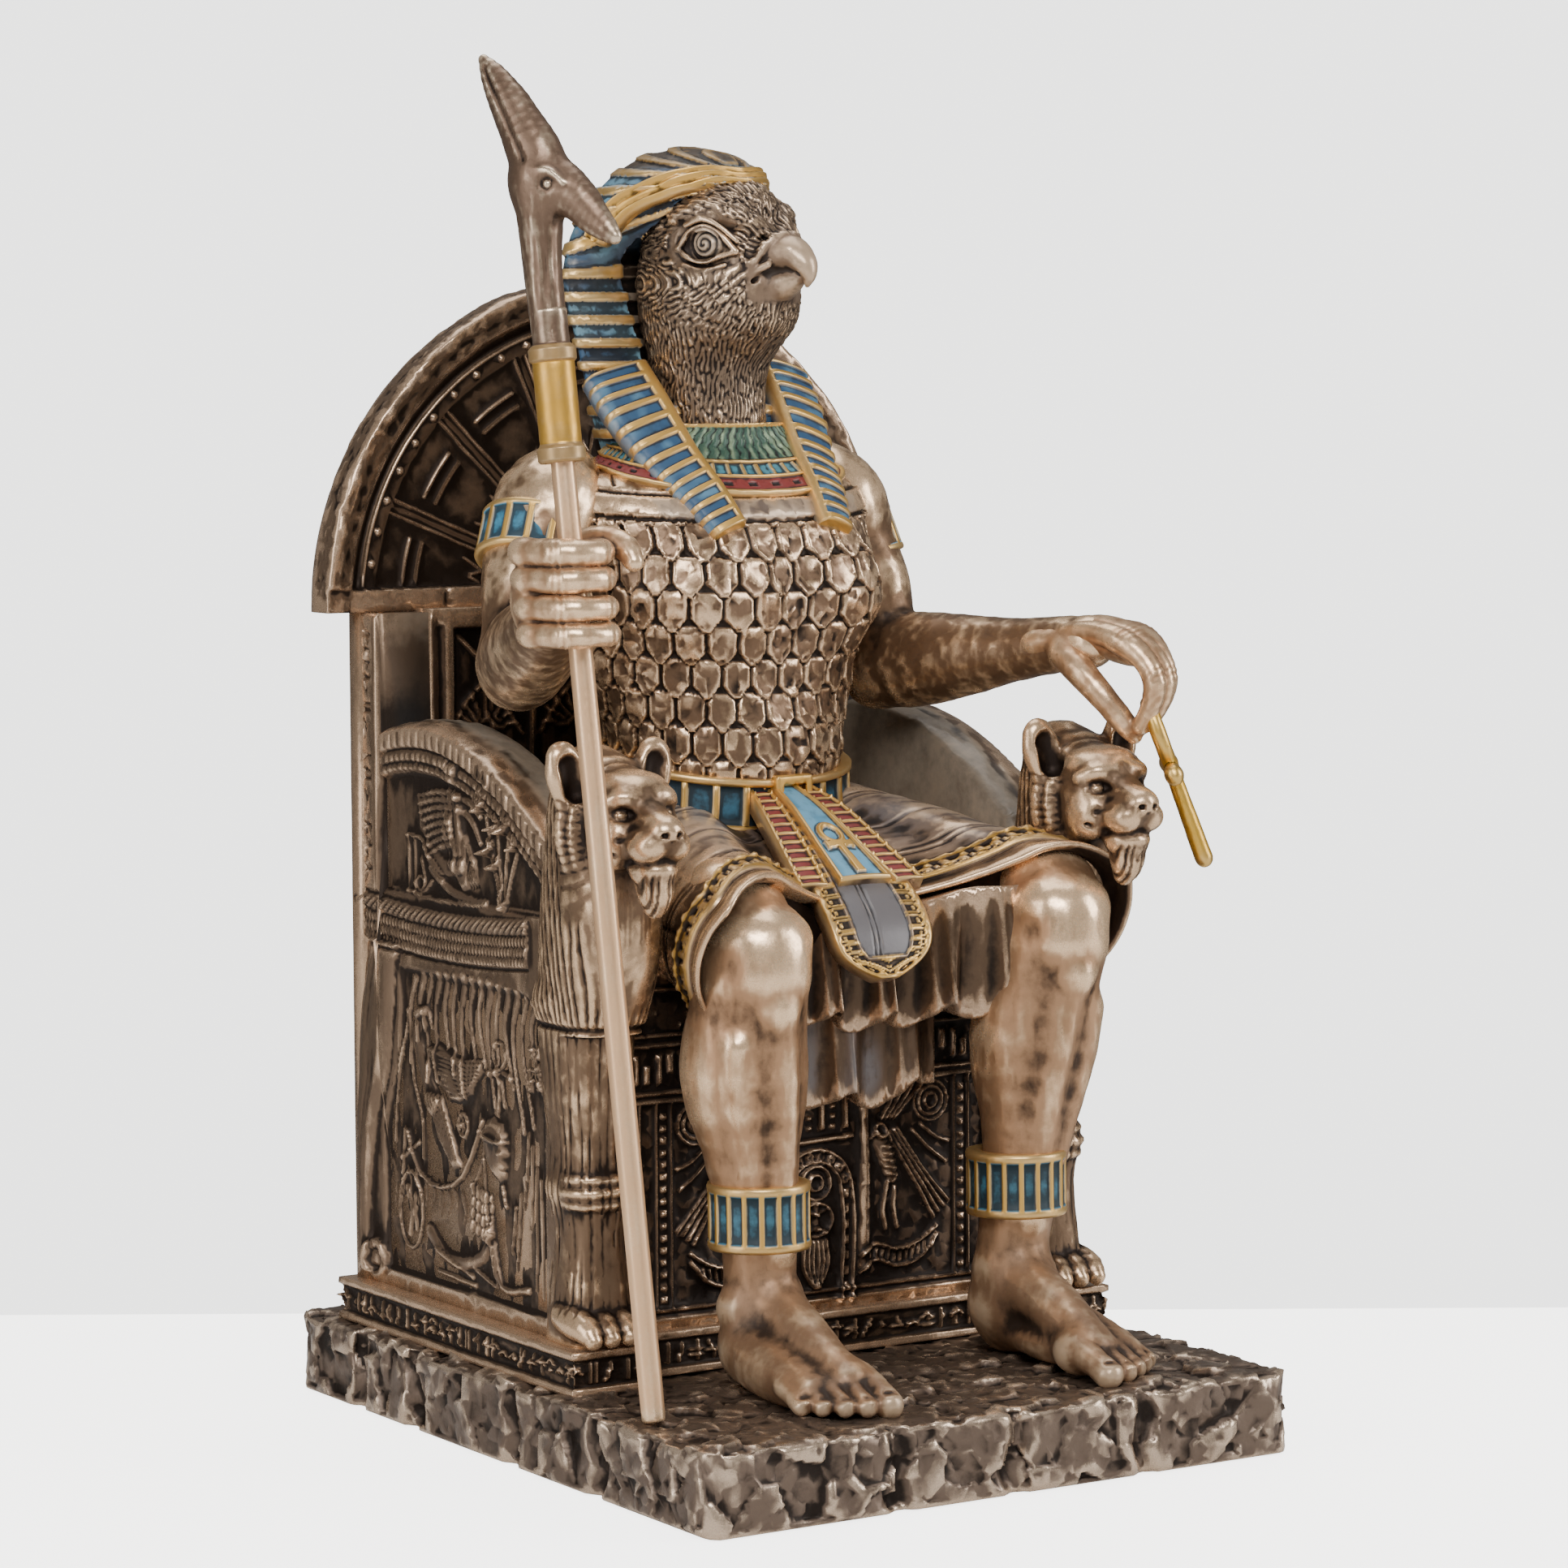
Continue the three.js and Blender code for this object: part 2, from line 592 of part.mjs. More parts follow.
function kiltRing(t, out) {
  const right = [mix(-15, knees.right[0], t), mix(95, 84, t)];
  const left = [mix(16, knees.left[0], t), mix(95, 86, t)];
  const radius = mix(18.5, 14, t) + out;
  const reach = mix(26, -31, t);
  const middle = mix(1, 5, t);
  const valley = mix(111, 90, THREE.MathUtils.smoothstep(t, 0.2, 1.15) * 1.1) + out;
  const points = [];
  for (let i = 0; i <= 4; i++) {
    const turn = mix(1.25 * Math.PI, 0.3 * Math.PI, i / 4);
    const y = reach + 3 * t * Math.abs(i - 2);
    points.push(at(right[0] + radius * Math.cos(turn), y, right[1] + radius * Math.sin(turn)));
  }
  points.push(at(middle - 3, reach + 4 * t, valley), at(middle + 3, reach + 4 * t, valley));
  for (let i = 0; i <= 4; i++) {
    const turn = mix(0.7 * Math.PI, -0.25 * Math.PI, i / 4);
    const y = reach + 3 * t * Math.abs(i - 2);
    points.push(at(left[0] + radius * Math.cos(turn), y, left[1] + radius * Math.sin(turn)));
  }
  points.push(at(middle, reach + 6 * t, valley - 16));
  return points;
}

function kiltSolid() {
  const stations = [[0, 0], [0.35, 0], [0.6, 0], [0.86, 0], [0.88, 1], [1, 0.6]];
  return loft(stations.map(([t, out]) => kiltRing(t, out)));
}

// A hanging cloth in pleats: front surface over x and drop, closed against the seat behind.
function drapery({ left, right, top, bottom, front, back, pleats, depth, swing, columns }) {
  const rings = [];
  for (let c = 0; c <= columns; c++) {
    const s = c / columns;
    const x = mix(left, right, s);
    const wave = Math.sin(s * pleats * 2 * Math.PI + swing);
    const hang = bottom - 4 * Math.sin(s * Math.PI) + 2.2 * wave;
    const fold = (t) => depth * (0.25 + 0.75 * t) * wave + 1.5 * t;
    const face = (t, z) => at(x, front + 4 * Math.abs(s - 0.5) - fold(t), z);
    const lining = [at(x, back, hang + 1), at(x, back, top)];
    rings.push([face(0, top), face(0.6, mix(top, hang, 0.6)), face(1, hang), ...lining]);
  }
  return loft(rings);
}

// A flat strap that lies over the lap: stations of y, z, half width and sideways shift.
function strap(stations, thick) {
  return loft(
    stations.map(([y, z, half, shift], i) => {
      const next = stations[Math.min(i + 1, stations.length - 1)];
      const before = stations[Math.max(i - 1, 0)];
      const run = vec(0, next[0] - before[0], next[1] - before[1]).normalize();
      const under = vec(0, -run.z, run.y).multiplyScalar(thick * u);
      const low = at(shift - half, y, z);
      const high = at(shift + half, y, z);
      return [low, high, high.clone().add(under), low.clone().add(under)];
    }),
  );
}

// The apron: a round-ended flap, the blue middle strap and two red side straps over it.
function apronSolid() {
  const shape = (widths, shift, proud) =>
    widths.map((width, i) => [lap[i][0] - proud * 0.7, lap[i][1] + proud * 0.7, width, shift(i)]);
  return fuse([
    strap(shape([6, 8, 9.5, 11, 10, 5], (i) => 1 + 0.6 * i, 0.8), 6),
    strap(shape([2.8, 3.8, 5, 6], (i) => 1 + 0.6 * i, 2.2), 4),
    strap(shape([2.6, 2.8, 3, 3], (i) => -4 - 1.6 * i, 1.6), 4),
    strap(shape([2.6, 2.8, 3, 3], (i) => 6 + 2.4 * i, 1.6), 4),
  ]);
}

// A leg from knee to ankle, its anklet, and a bare foot with five toes.
const ankles = { right: [-26.5, -35, 26], left: [33, -36, 27] };

function legSolid(side) {
  const knee = side < 0 ? knees.right : knees.left;
  const ankle = side < 0 ? ankles.right : ankles.left;
  const shin = [
    [1.16, 0, 2, 6.5, 6.5], [1.06, 0, 0, 11, 11.4], [0.88, 0, 0, 11.8, 12.6], [0.64, 0.6, 2.4, 12.6, 12.8],
    [0.4, 0.4, 1.4, 10.2, 10.8], [0.1, 0, 0, 7.6, 8.2], [-0.24, 0, 0.8, 7.2, 8.4],
  ];
  const stations = shin.map(([t, out, rear, a, b]) => {
    const x = mix(ankle[0], knee[0], t) + side * out;
    return [at(x, mix(ankle[1], knee[1], t) + rear, mix(ankle[2], knee[2], t)), a * u, b * u];
  });
  return fuse([limb(stations, 8, vec(0, 1, 0)), ankletSolid(ankle), footSolid(side, ankle)]);
}

function ankletSolid([x, y, z]) {
  const profile = [[1, 9.6], [3.2, 9.6], [3.6, 8.8], [10.6, 8.7], [11, 9.6], [13, 9.4]];
  return loft(
    profile.map(([up, r]) => oval(at(x, y + 0.3, z + up), vec(1, 0, 0), vec(0, 1, 0), r * u, r * u, 8)),
  );
}

function footSolid(side, [x, y]) {
  const splay = -side * 0.05;
  const p = (aside, ahead, up) => at(x + side * aside - splay * ahead, y - ahead, up);
  const sections = [
    [-7.5, 4.6, 5.4, 5], [4, 6.8, 6.8, 9.5], [12, 8, 7, 7.6], [20, 9.4, 5.4, 5.8], [29, 9.8, 3.4, 4],
  ];
  const rings = sections.map(([ahead, half, high, centre]) =>
    oval(p(0.4, ahead, centre), vec(1, 0, 0), vec(0, 0, 1), half * u, Math.min(high, centre) * u, 8, 2.6),
  );
  const parts = [loft(rings)];
  for (let i = 0; i < 5; i++) {
    const aside = i === 0 ? -6.9 : mix(-6.4, 8, i / 4);
    const reach = 39 - 1.1 * i - 0.35 * i * i;
    const r = i === 0 ? 3 : 2.1;
    const root = [p(aside, 27 - i, 3.2), r * u, r * u];
    parts.push(limb([root, [p(aside, reach - 1.4, 2.5), r * u, r * 0.9 * u]], 4));
  }
  return fuse(parts);
}

// An arm from shoulder to wrist with its armband.
const arms = {
  right: {
    shoulder: [-36.5, 25, 168],
    band: [-42.5, 22.6, 161],
    elbow: [-50, 14.4, 137],
    wrist: [-65, -27, 150],
  },
  left: {
    shoulder: [33, 32, 167],
    band: [37.5, 31.5, 159],
    elbow: [41.5, 23, 133],
    wrist: [54.5, -23, 139],
  },
};

function armSolid({ shoulder, band, elbow, wrist }) {
  const place = (a, b, t) => at(mix(a[0], b[0], t), mix(a[1], b[1], t), mix(a[2], b[2], t));
  const scaled = (list) => list.map(([p, a, b]) => [p, a * u, b * u]);
  const upper = scaled([
    [place(shoulder, band, -0.4), 7, 8],
    [place(shoulder, band, 0.2), 10.6, 11],
    [place(band, elbow, 0.4), 9.4, 9.6],
    [place(band, elbow, 1), 8.4, 8.6],
  ]);
  const fore = scaled([
    [place(elbow, wrist, -0.08), 7.4, 7.4],
    [place(elbow, wrist, 0.14), 9.2, 9.6],
    [place(elbow, wrist, 0.42), 8.4, 8.6],
    [place(elbow, wrist, 1), 5.6, 5.4],
  ]);
  const run = place(shoulder, elbow, 1).sub(place(shoulder, elbow, 0)).normalize();
  const centre = place(band, elbow, 0.02);
  const side = vec().crossVectors(run, vec(0, -1, 0)).normalize();
  const up = vec().crossVectors(side, run);
  const profile = [[-5, 10.2], [-3.4, 10.3], [-3, 9.6], [3, 9.6], [3.4, 10.3], [5, 10.2]];
  const ringAt = (t, r) => oval(centre.clone().addScaledVector(run, t * u), side, up, r * u, r * u, 8);
  const cuff = profile.map(([t, r]) => ringAt(t, r));
  return fuse([limb(upper, 8), limb(fore, 8), loft(cuff)]);
}

// The staff leans back from its foot on the slab to the middle of the right fist.
const fistCentre = at(-68, -38, 153.5);
const staffFoot = vec(staff.footX, staff.footY, slab.height + clearance * 2);
const staffRun = fistCentre.clone().sub(staffFoot).normalize();
const staffTurn = new THREE.Quaternion().setFromUnitVectors(vec(0, 0, 1), staffRun);

function fistSolid() {
  const p = (x, y, z) => fistCentre.clone().add(vec(x * u, y * u, 0)).addScaledVector(staffRun, z * u);
  const parts = [ball(p(-2.6, 7, -0.5), 6.4 * u, 6.4 * u, 10 * u, 8, 5)];
  for (let i = 0; i < 4; i++) {
    const z = mix(7.6, -7.4, i / 3);
    const r = (2.55 - 0.08 * i) * u;
    const path = [[-7.2, 6], [-5.4, -4.4], [3, -6], [5.8, 2.4]];
    parts.push(limb(path.map(([x, y]) => [p(x, y, z), r, r * 1.1]), 4, staffRun));
  }
  const thumb = [[1, 8, 4], [6.4, 3, 8.8], [9.2, -4.6, 7.4]];
  parts.push(limb(thumb.map(([x, y, h]) => [p(x, y, h), 2.9 * u, 2.7 * u]), 6, staffRun));
  return fuse(parts);
}

// The ankh hangs edge-on between thumb and fingers.
const ankhCentre = at(65.5, -43, 114.8);
const ankhDown = vec(0.36, -0.12, -1).normalize();
const ankhAcross = vec(0.54, 0.84, 0.09).normalize();

function handSolid() {
  const { wrist } = arms.left;
  const p = (ahead, aside, up) =>
    at(wrist[0] + 0.42 * ahead + 0.84 * aside, wrist[1] - 0.9 * ahead + 0.54 * aside, wrist[2] + up);
  const palm = [[p(-2, 0, 0.6), 6, 5.2], [p(7, 1, 1.6), 7.8, 5], [p(16, 1.5, -1), 8.2, 4]];
  const parts = [limb(palm.map(([c, a, b]) => [c, a * u, b * u]), 6, vec(0, 0, 1))];
  for (let i = 0; i < 4; i++) {
    const aside = mix(-5.8, 6.6, i / 3);
    const path = [[15, aside, -1.4], [21.5 - 0.4 * i, aside, -5.5], [19.5 - 0.4 * i, aside * 0.8, -16]];
    parts.push(limb(path.map(([a, b, h]) => [p(a, b, h), 2.5 * u, 2.5 * u]), 4, vec(0, -1, 0.2)));
  }
  const thumb = [[2, -4, -2.5], [8.5, -6.5, -9], [15.5, -3, -16.5]];
  parts.push(limb(thumb.map(([a, b, h]) => [p(a, b, h), 2.7 * u, 2.6 * u]), 5, vec(0, -1, 0.2)));
  return fuse(parts);
}

function ankhSolid(grow) {
  const { wire, stem, arm, loopLength, loopWidth } = ankhSize;
  const r = wire + grow;
  const p = (down, across) =>
    ankhCentre.clone().addScaledVector(ankhDown, down).addScaledVector(ankhAcross, across);
  const shaft = limb([[p(-1, 0), r, r], [p(stem, 0), r * 1.15, r]], 6, ankhAcross);
  const barEnds = [[p(0, 0.8 - arm), r * 0.6], [p(0, 1.6 - arm), r * 1.15], [p(0, arm), r * 1.15]];
  const bar = limb(barEnds, 6, ankhDown);
  const loop = new THREE.TorusGeometry(1, r / (loopWidth / 2), 6, 10);
  loop.scale(loopWidth / 2, loopLength / 2, loopWidth / 2);
  const normal = vec().crossVectors(ankhAcross, ankhDown.clone().negate()).normalize();
  loop.applyMatrix4(new THREE.Matrix4().makeBasis(ankhAcross, ankhDown.clone().negate(), normal));
  const centre = p(-loopLength / 2 - r * 0.4, 0);
  return fuse([shaft, bar, solid(loop.translate(centre.x, centre.y, centre.z))]);
}

// The falcon's head: rings from neck to crown as height, centre ahead, half width, half depth.
const skull = [
  [184, 0, 10.6, 10.4], [195, 1, 11.6, 12], [204, 3.6, 13.6, 15.2], [211, 4.6, 14.6, 16.4],
  [218, 4.8, 14, 15.4],
  [223.5, 4, 12.6, 14], [229, 0.4, 10.4, 11.6], [233, -1, 6, 7],
];

function headSolid() {
  const parts = [loft(skull.map((ring) => turnedRing(neck, ring, 10, 2.1)))];
  const path = (list, count) => {
    const stations = list.map(([x, ahead, z, a, b]) => [turnedAt(neck, x, ahead, z), a * u, b * u]);
    parts.push(limb(stations, count, vec(0, 0, 1)));
  };
  const beak = [
    [0, 12, 214.6, 6.8, 6.4], [0, 19, 215.8, 5, 4.8], [0, 24, 213.8, 3.2, 3.4], [0, 26, 210.8, 1.4, 1.7],
  ];
  path(beak, 7);
  path([[0, 12, 208.6, 6, 3.4], [0, 18.6, 208.2, 4.2, 2.6], [0, 23.4, 208.8, 1.9, 1.2]], 6);
  for (const s of [-1, 1]) {
    path([[s * 12.6, 6.5, 223.6, 1.8, 1.6], [s * 9, 15.2, 223.6, 2.6, 2], [s * 3.4, 19, 221, 2.4, 1.8]], 5);
    parts.push(ball(turnedAt(neck, s * 11, 10.2, 218.6), 3.2 * u, 3.8 * u, 3.6 * u, 6, 4));
  }
  return fuse(parts);
}

// The striped head cloth: bag, two lappets that come forward over the collar, and the browband.
const cloth = [
  [178, -4, 22, 11], [188, -3, 25.6, 13], [194, -2, 27, 17], [203, -4, 28, 18.5],
  [210, -5, 28.4, 20.5], [217, -4.4, 28, 22],
  [224, -6, 22.4, 17.4], [228, -5.4, 19.5, 16], [231, -5, 17, 14.5], [235, -4.8, 11.5, 9.5],
  [238, -4.8, 4, 4],
];

// The face looks out of the cloth: how far ahead the cloth reaches at each height.
function clothReach(z) {
  return z > 230.5 ? Infinity : mix(4, 9, THREE.MathUtils.smoothstep(z, 210, 230));
}

function clothRing(z, out) {
  const [ahead, a, b] = along(cloth, z);
  const ease = THREE.MathUtils.smoothstep(z, 182, 206);
  const axis = { x: neck.x, y: neck.y, turn: mix(trunk.turn, neck.turn, ease) };
  const front = turnedAt(axis, 0, ahead - 1, z).sub(turnedAt(axis, 0, ahead, z)).normalize().negate();
  const limit = turnedAt(axis, 0, Math.min(clothReach(z), 99), z).dot(front);
  return turnedRing(axis, [z, ahead, a + out, b + out], 14, 2.2).map((p) =>
    p.addScaledVector(front, -Math.max(0, p.dot(front) - limit)),
  );
}

function headClothSolid() {
  const stripes = 6;
  const step = (230 - 178) / stripes;
  const rings = [];
  for (let i = 0; i < stripes; i++) {
    const z = 178 + i * step;
    rings.push(clothRing(z + step * 0.04, 0.5), clothRing(z + step * 0.96, -0.7));
  }
  rings.push(clothRing(231, 0), clothRing(235.5, 0), clothRing(238, 0));
  const parts = [loft(rings), lappetSolid(-1), lappetSolid(1)];
  const turns = 7;
  const band = [];
  for (let i = 0; i <= turns; i++) {
    const turn = mix(-0.1 * Math.PI, 1.1 * Math.PI, i / turns);
    const rise = Math.sin(turn);
    const place = turnedAt(neck, 16.4 * Math.cos(turn), mix(5.5, 9, Math.max(rise, 0)), 215 + 16.2 * rise);
    band.push([place, 1.5 * u, 3.2 * u]);
  }
  parts.push(limb(band, 5, vec(0, -1, 0.3)));
  return fuse(parts);
}

// A lappet from beside the neck to the chest, with raised stripes: s = -1 right, 1 left.
function lappetSolid(s) {
  const path = [[0, 22.4, -5.5, 192, 8], [0.5, 18, 8.4, 176.5, 5.9], [1, 13.8, 20.6, 163.2, 3.8]];
  const steps = 5;
  const rings = [];
  for (let i = 0; i < steps * 2; i++) {
    const t = (Math.floor(i / 2) + (i % 2 ? 0.96 : 0.04)) / steps;
    const sunk = i % 2 ? -0.9 : 0;
    const [aside, ahead, z, half] = along(path, t);
    const place = (w, out) =>
      turnedAt(trunk, s * (aside + w * half * 0.98), ahead - w * half * 0.1 + out, z + out * 0.8);
    rings.push([place(-1, -4), place(1, -4), place(1, 1.4 + sunk), place(-1, 1.4 + sunk)]);
  }
  return loft(rings);
}

// Staff pieces are turned about the rod's axis and leaned with it.
function onStaff(geometry) {
  geometry.rotateX(Math.PI / 2);
  geometry.applyQuaternion(staffTurn);
  return geometry.translate(staffFoot.x, staffFoot.y, staffFoot.z);
}

function rod(radius, from, to) {
  const geometry = new THREE.CylinderGeometry(radius, radius, to - from, 12);
  return solid(onStaff(geometry.translate(0, (from + to) / 2, 0)));
}

const staffLook = vec(0.42, -0.91, 0).projectOnPlane(staffRun).normalize();
const staffSide = vec().crossVectors(staffRun, staffLook);

function staffHeadSolid() {
  const foot = staff.length - 8;
  const { sleeveRadius: sleeve, ringRadius: ring } = staff;
  const profile = [
    [0, 0], [ring, 0], [ring, 3.2], [sleeve, 3.6], [sleeve, 18.4], [ring, 18.8], [ring, 21.4],
    [sleeve - 0.4, 21.8], [sleeve - 0.5, 28], [0, 28],
  ].map(([r, h]) => new THREE.Vector2(r, h + foot));
  const parts = [solid(onStaff(new THREE.LatheGeometry(profile, 10)))];
  const p = (ahead, high) =>
    staffFoot.clone().addScaledVector(staffRun, foot + high).addScaledVector(staffLook, ahead);
  const path = (list) => parts.push(limb(list.map(([s, h, a, b]) => [p(s, h), a, b]), 6, staffSide));
  path([[0, 22, 3.5, 3.5], [-0.3, 37, 3.7, 3.5], [0.4, 51, 5.2, 4.4]]);
  path([[2.6, 51, 6.4, 5.2], [-0.4, 59.5, 5.8, 4.4], [-4.8, 68, 3.9, 3.2], [-9.1, 75.4, 1.8, 1.5]]);
  path([[-0.6, 50.6, 7, 4.8], [5.6, 49.8, 6.4, 4.4], [11.2, 44.6, 4.2, 3.2], [16, 40, 2.4, 2]]);
  return fuse(parts).subtract(rod(staff.radius + clearance, foot - 1, staff.length + clearance));
}

// Colours and finishes as they meet the eye.
const finish = (color, roughness, metalness) =>
  new THREE.MeshStandardMaterial({ color, roughness, metalness });
const bronze = finish(0x6b5440, 0.45, 0.7);
const paleBronze = finish(0xb08c70, 0.4, 0.5);
const greyBronze = finish(0x9a8672, 0.42, 0.6);
const gold = finish(0xc99a3e, 0.38, 0.8);

// The two layers of pleats that hang between the knees.
const shortSkirt = { front: -31, back: -14, pleats: 4, depth: 2.6, swing: 0.4, columns: 17 };
const longSkirt = { front: -24, back: -14, pleats: 2.5, depth: 2, swing: 1, columns: 10 };

const body = fuse([
  slabSolid(), plinthSolid(), throneBody(), throneSide(-1), throneSide(1), boardSolid(),
  lionSolid(-1), lionSolid(1),
  torsoSolid(), beltSolid(), collarSolid(), kiltSolid(), apronSolid(),
  drapery({ ...shortSkirt, left: -18, right: 30, top: 92, bottom: 71 }),
  drapery({ ...longSkirt, left: -16, right: 22, top: 76, bottom: 55 }),
  legSolid(-1), legSolid(1), armSolid(arms.right), armSolid(arms.left), fistSolid(), handSolid(),
  headSolid(), headClothSolid(),
]);
const figure = body
  .subtract(rod(staff.radius + clearance, -1, staff.length))
  .subtract(ankhSolid(clearance));

const group = new THREE.Group();
const add = (name, manifold, material) => {
  const mesh = new THREE.Mesh(geometryOf(manifold), material);
  mesh.name = name;
  group.add(mesh);
};
add('throne_figure', figure, bronze);
add('staff_shaft', rod(staff.radius, 0, staff.length), paleBronze);
add('staff_head', staffHeadSolid(), greyBronze);
add('ankh', ankhSolid(0), gold);

export default group;
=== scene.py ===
import math

import bpy
import numpy as np
import openvdb
from mathutils import Matrix, Vector, kdtree


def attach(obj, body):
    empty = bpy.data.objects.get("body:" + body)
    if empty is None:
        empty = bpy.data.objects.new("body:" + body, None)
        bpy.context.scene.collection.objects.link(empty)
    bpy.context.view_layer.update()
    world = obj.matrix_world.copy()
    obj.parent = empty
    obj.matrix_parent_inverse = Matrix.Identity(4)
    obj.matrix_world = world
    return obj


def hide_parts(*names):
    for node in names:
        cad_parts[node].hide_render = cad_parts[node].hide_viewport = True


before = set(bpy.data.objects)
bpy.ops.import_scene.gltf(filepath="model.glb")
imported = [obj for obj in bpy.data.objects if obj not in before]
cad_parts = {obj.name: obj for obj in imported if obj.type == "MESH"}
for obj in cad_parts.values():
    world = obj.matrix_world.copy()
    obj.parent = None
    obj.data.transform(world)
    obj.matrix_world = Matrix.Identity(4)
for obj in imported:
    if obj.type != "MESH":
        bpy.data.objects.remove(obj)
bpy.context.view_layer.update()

bl_info = {
    "name": "Enthroned Falcon Figure",
    "version": (1, 0, 0),
    "blender": (4, 5, 0),
    "location": "3D View > Sidebar > Falcon Figure",
    "description": "Models a cast bronze falcon-headed king on his lion throne",
    "category": "Object",
}

MM = 0.001
SLAB_TOP = 16.0
PLINTH_TOP = 24.7
BOARD_FOOT = PLINTH_TOP + 136.8


def vec(*values):
    return np.array(values, float)


def at(x, y, z):
    """A point of the figure in millimetres, measured up from the slab's top."""
    return vec(x, y, SLAB_TOP + z)


def mix(a, b, t):
    return a + (b - a) * t


def smooth(value, low, high):
    """0 below low, 1 above high, and an eased step between."""
    t = np.clip((value - low) / (high - low), 0, 1)
    return t * t * (3 - 2 * t)


def bump(value, centre, half):
    """1 at the centre, falling to 0 at half on either side."""
    return np.clip(1 - ((value - centre) / half) ** 2, 0, 1)


def unit(v):
    v = np.asarray(v, float)
    return v / np.linalg.norm(v)


def unit_rows(v):
    return v / np.maximum(np.linalg.norm(v, axis=-1, keepdims=True), 1e-9)


def joined(*parts):
    """Arrays of coordinates side by side as one array of points."""
    return np.stack(parts, -1)


def grid(along, across):
    return np.meshgrid(along, across, indexing="ij")


def part(value):
    """How far each value is past its whole number."""
    return value - np.floor(value)


def saw(value):
    """0 half way between whole numbers, 1 at them."""
    return np.abs(part(value) - 0.5) * 2


def arched(share):
    """A round rise from 0 at a share of 0 to 1 half way and back."""
    return np.sqrt(np.clip(1 - (2 * share - 1) ** 2, 0, 1))


def eased(table, keys):
    """A table's columns at the given keys, on a soft curve through its rows."""
    table = np.asarray(table, float)
    keys = np.clip(np.asarray(keys, float), table[0, 0], table[-1, 0])
    slopes = np.gradient(table[:, 1:], table[:, 0], axis=0)
    i = np.clip(np.searchsorted(table[:, 0], keys) - 1, 0, len(table) - 2)
    gap = table[i + 1, 0] - table[i, 0]
    t = ((keys - table[i, 0]) / gap)[..., None]
    gap = gap[..., None]
    a, b = table[i, 1:], table[i + 1, 1:]
    m, n = slopes[i] * gap, slopes[i + 1] * gap
    value = (
        (2 * t**3 - 3 * t**2 + 1) * a + (t**3 - 2 * t**2 + t) * m
        + (3 * t**2 - 2 * t**3) * b + (t**3 - t**2) * n
    )
    return np.moveaxis(value, -1, 0)


def rand(cells, seed):
    """A number from 0 to 1 for each whole-numbered cell."""
    h = np.full(np.shape(cells[0]), 2166136261 + seed * 7919, np.uint64)
    for c in cells:
        h = ((h ^ (c.astype(np.int64) & 0xFFFFFFFF).astype(np.uint64))
            * np.uint64(0x9E3779B97F4A7C15))
        h ^= h >> np.uint64(32)
    h = h * np.uint64(0xBF58476D1CE4E5B9)
    return ((h >> np.uint64(40)) & np.uint64(0xFFFFFF)).astype(np.float32) / 0xFFFFFF


def ripple(points, size, seed=0):
    """Soft noise from -1 to 1 whose lumps are about size across, size being one number or three."""
    p = np.asarray(points) / size
    base = np.floor(p)
    f = p - base
    f = f * f * (3 - 2 * f)
    total = 0
    dims = p.shape[-1]
    for corner in range(2**dims):
        bits = [(corner >> k) & 1 for k in range(dims)]
        weight = 1
        for k, bit in enumerate(bits):
            weight = weight * (f[..., k] if bit else 1 - f[..., k])
        total = total + weight * rand([base[..., k] + bit for k, bit in enumerate(bits)], seed)
    return total * 2 - 1


def rough(points, size, layers=3, seed=0):
    """Ripples of halving size on one another."""
    total, share = 0, 1
    for k in range(layers):
        total = total + share * ripple(points, np.asarray(size) / 2**k, seed + k)
        share *= 0.5
    return total / 1.6


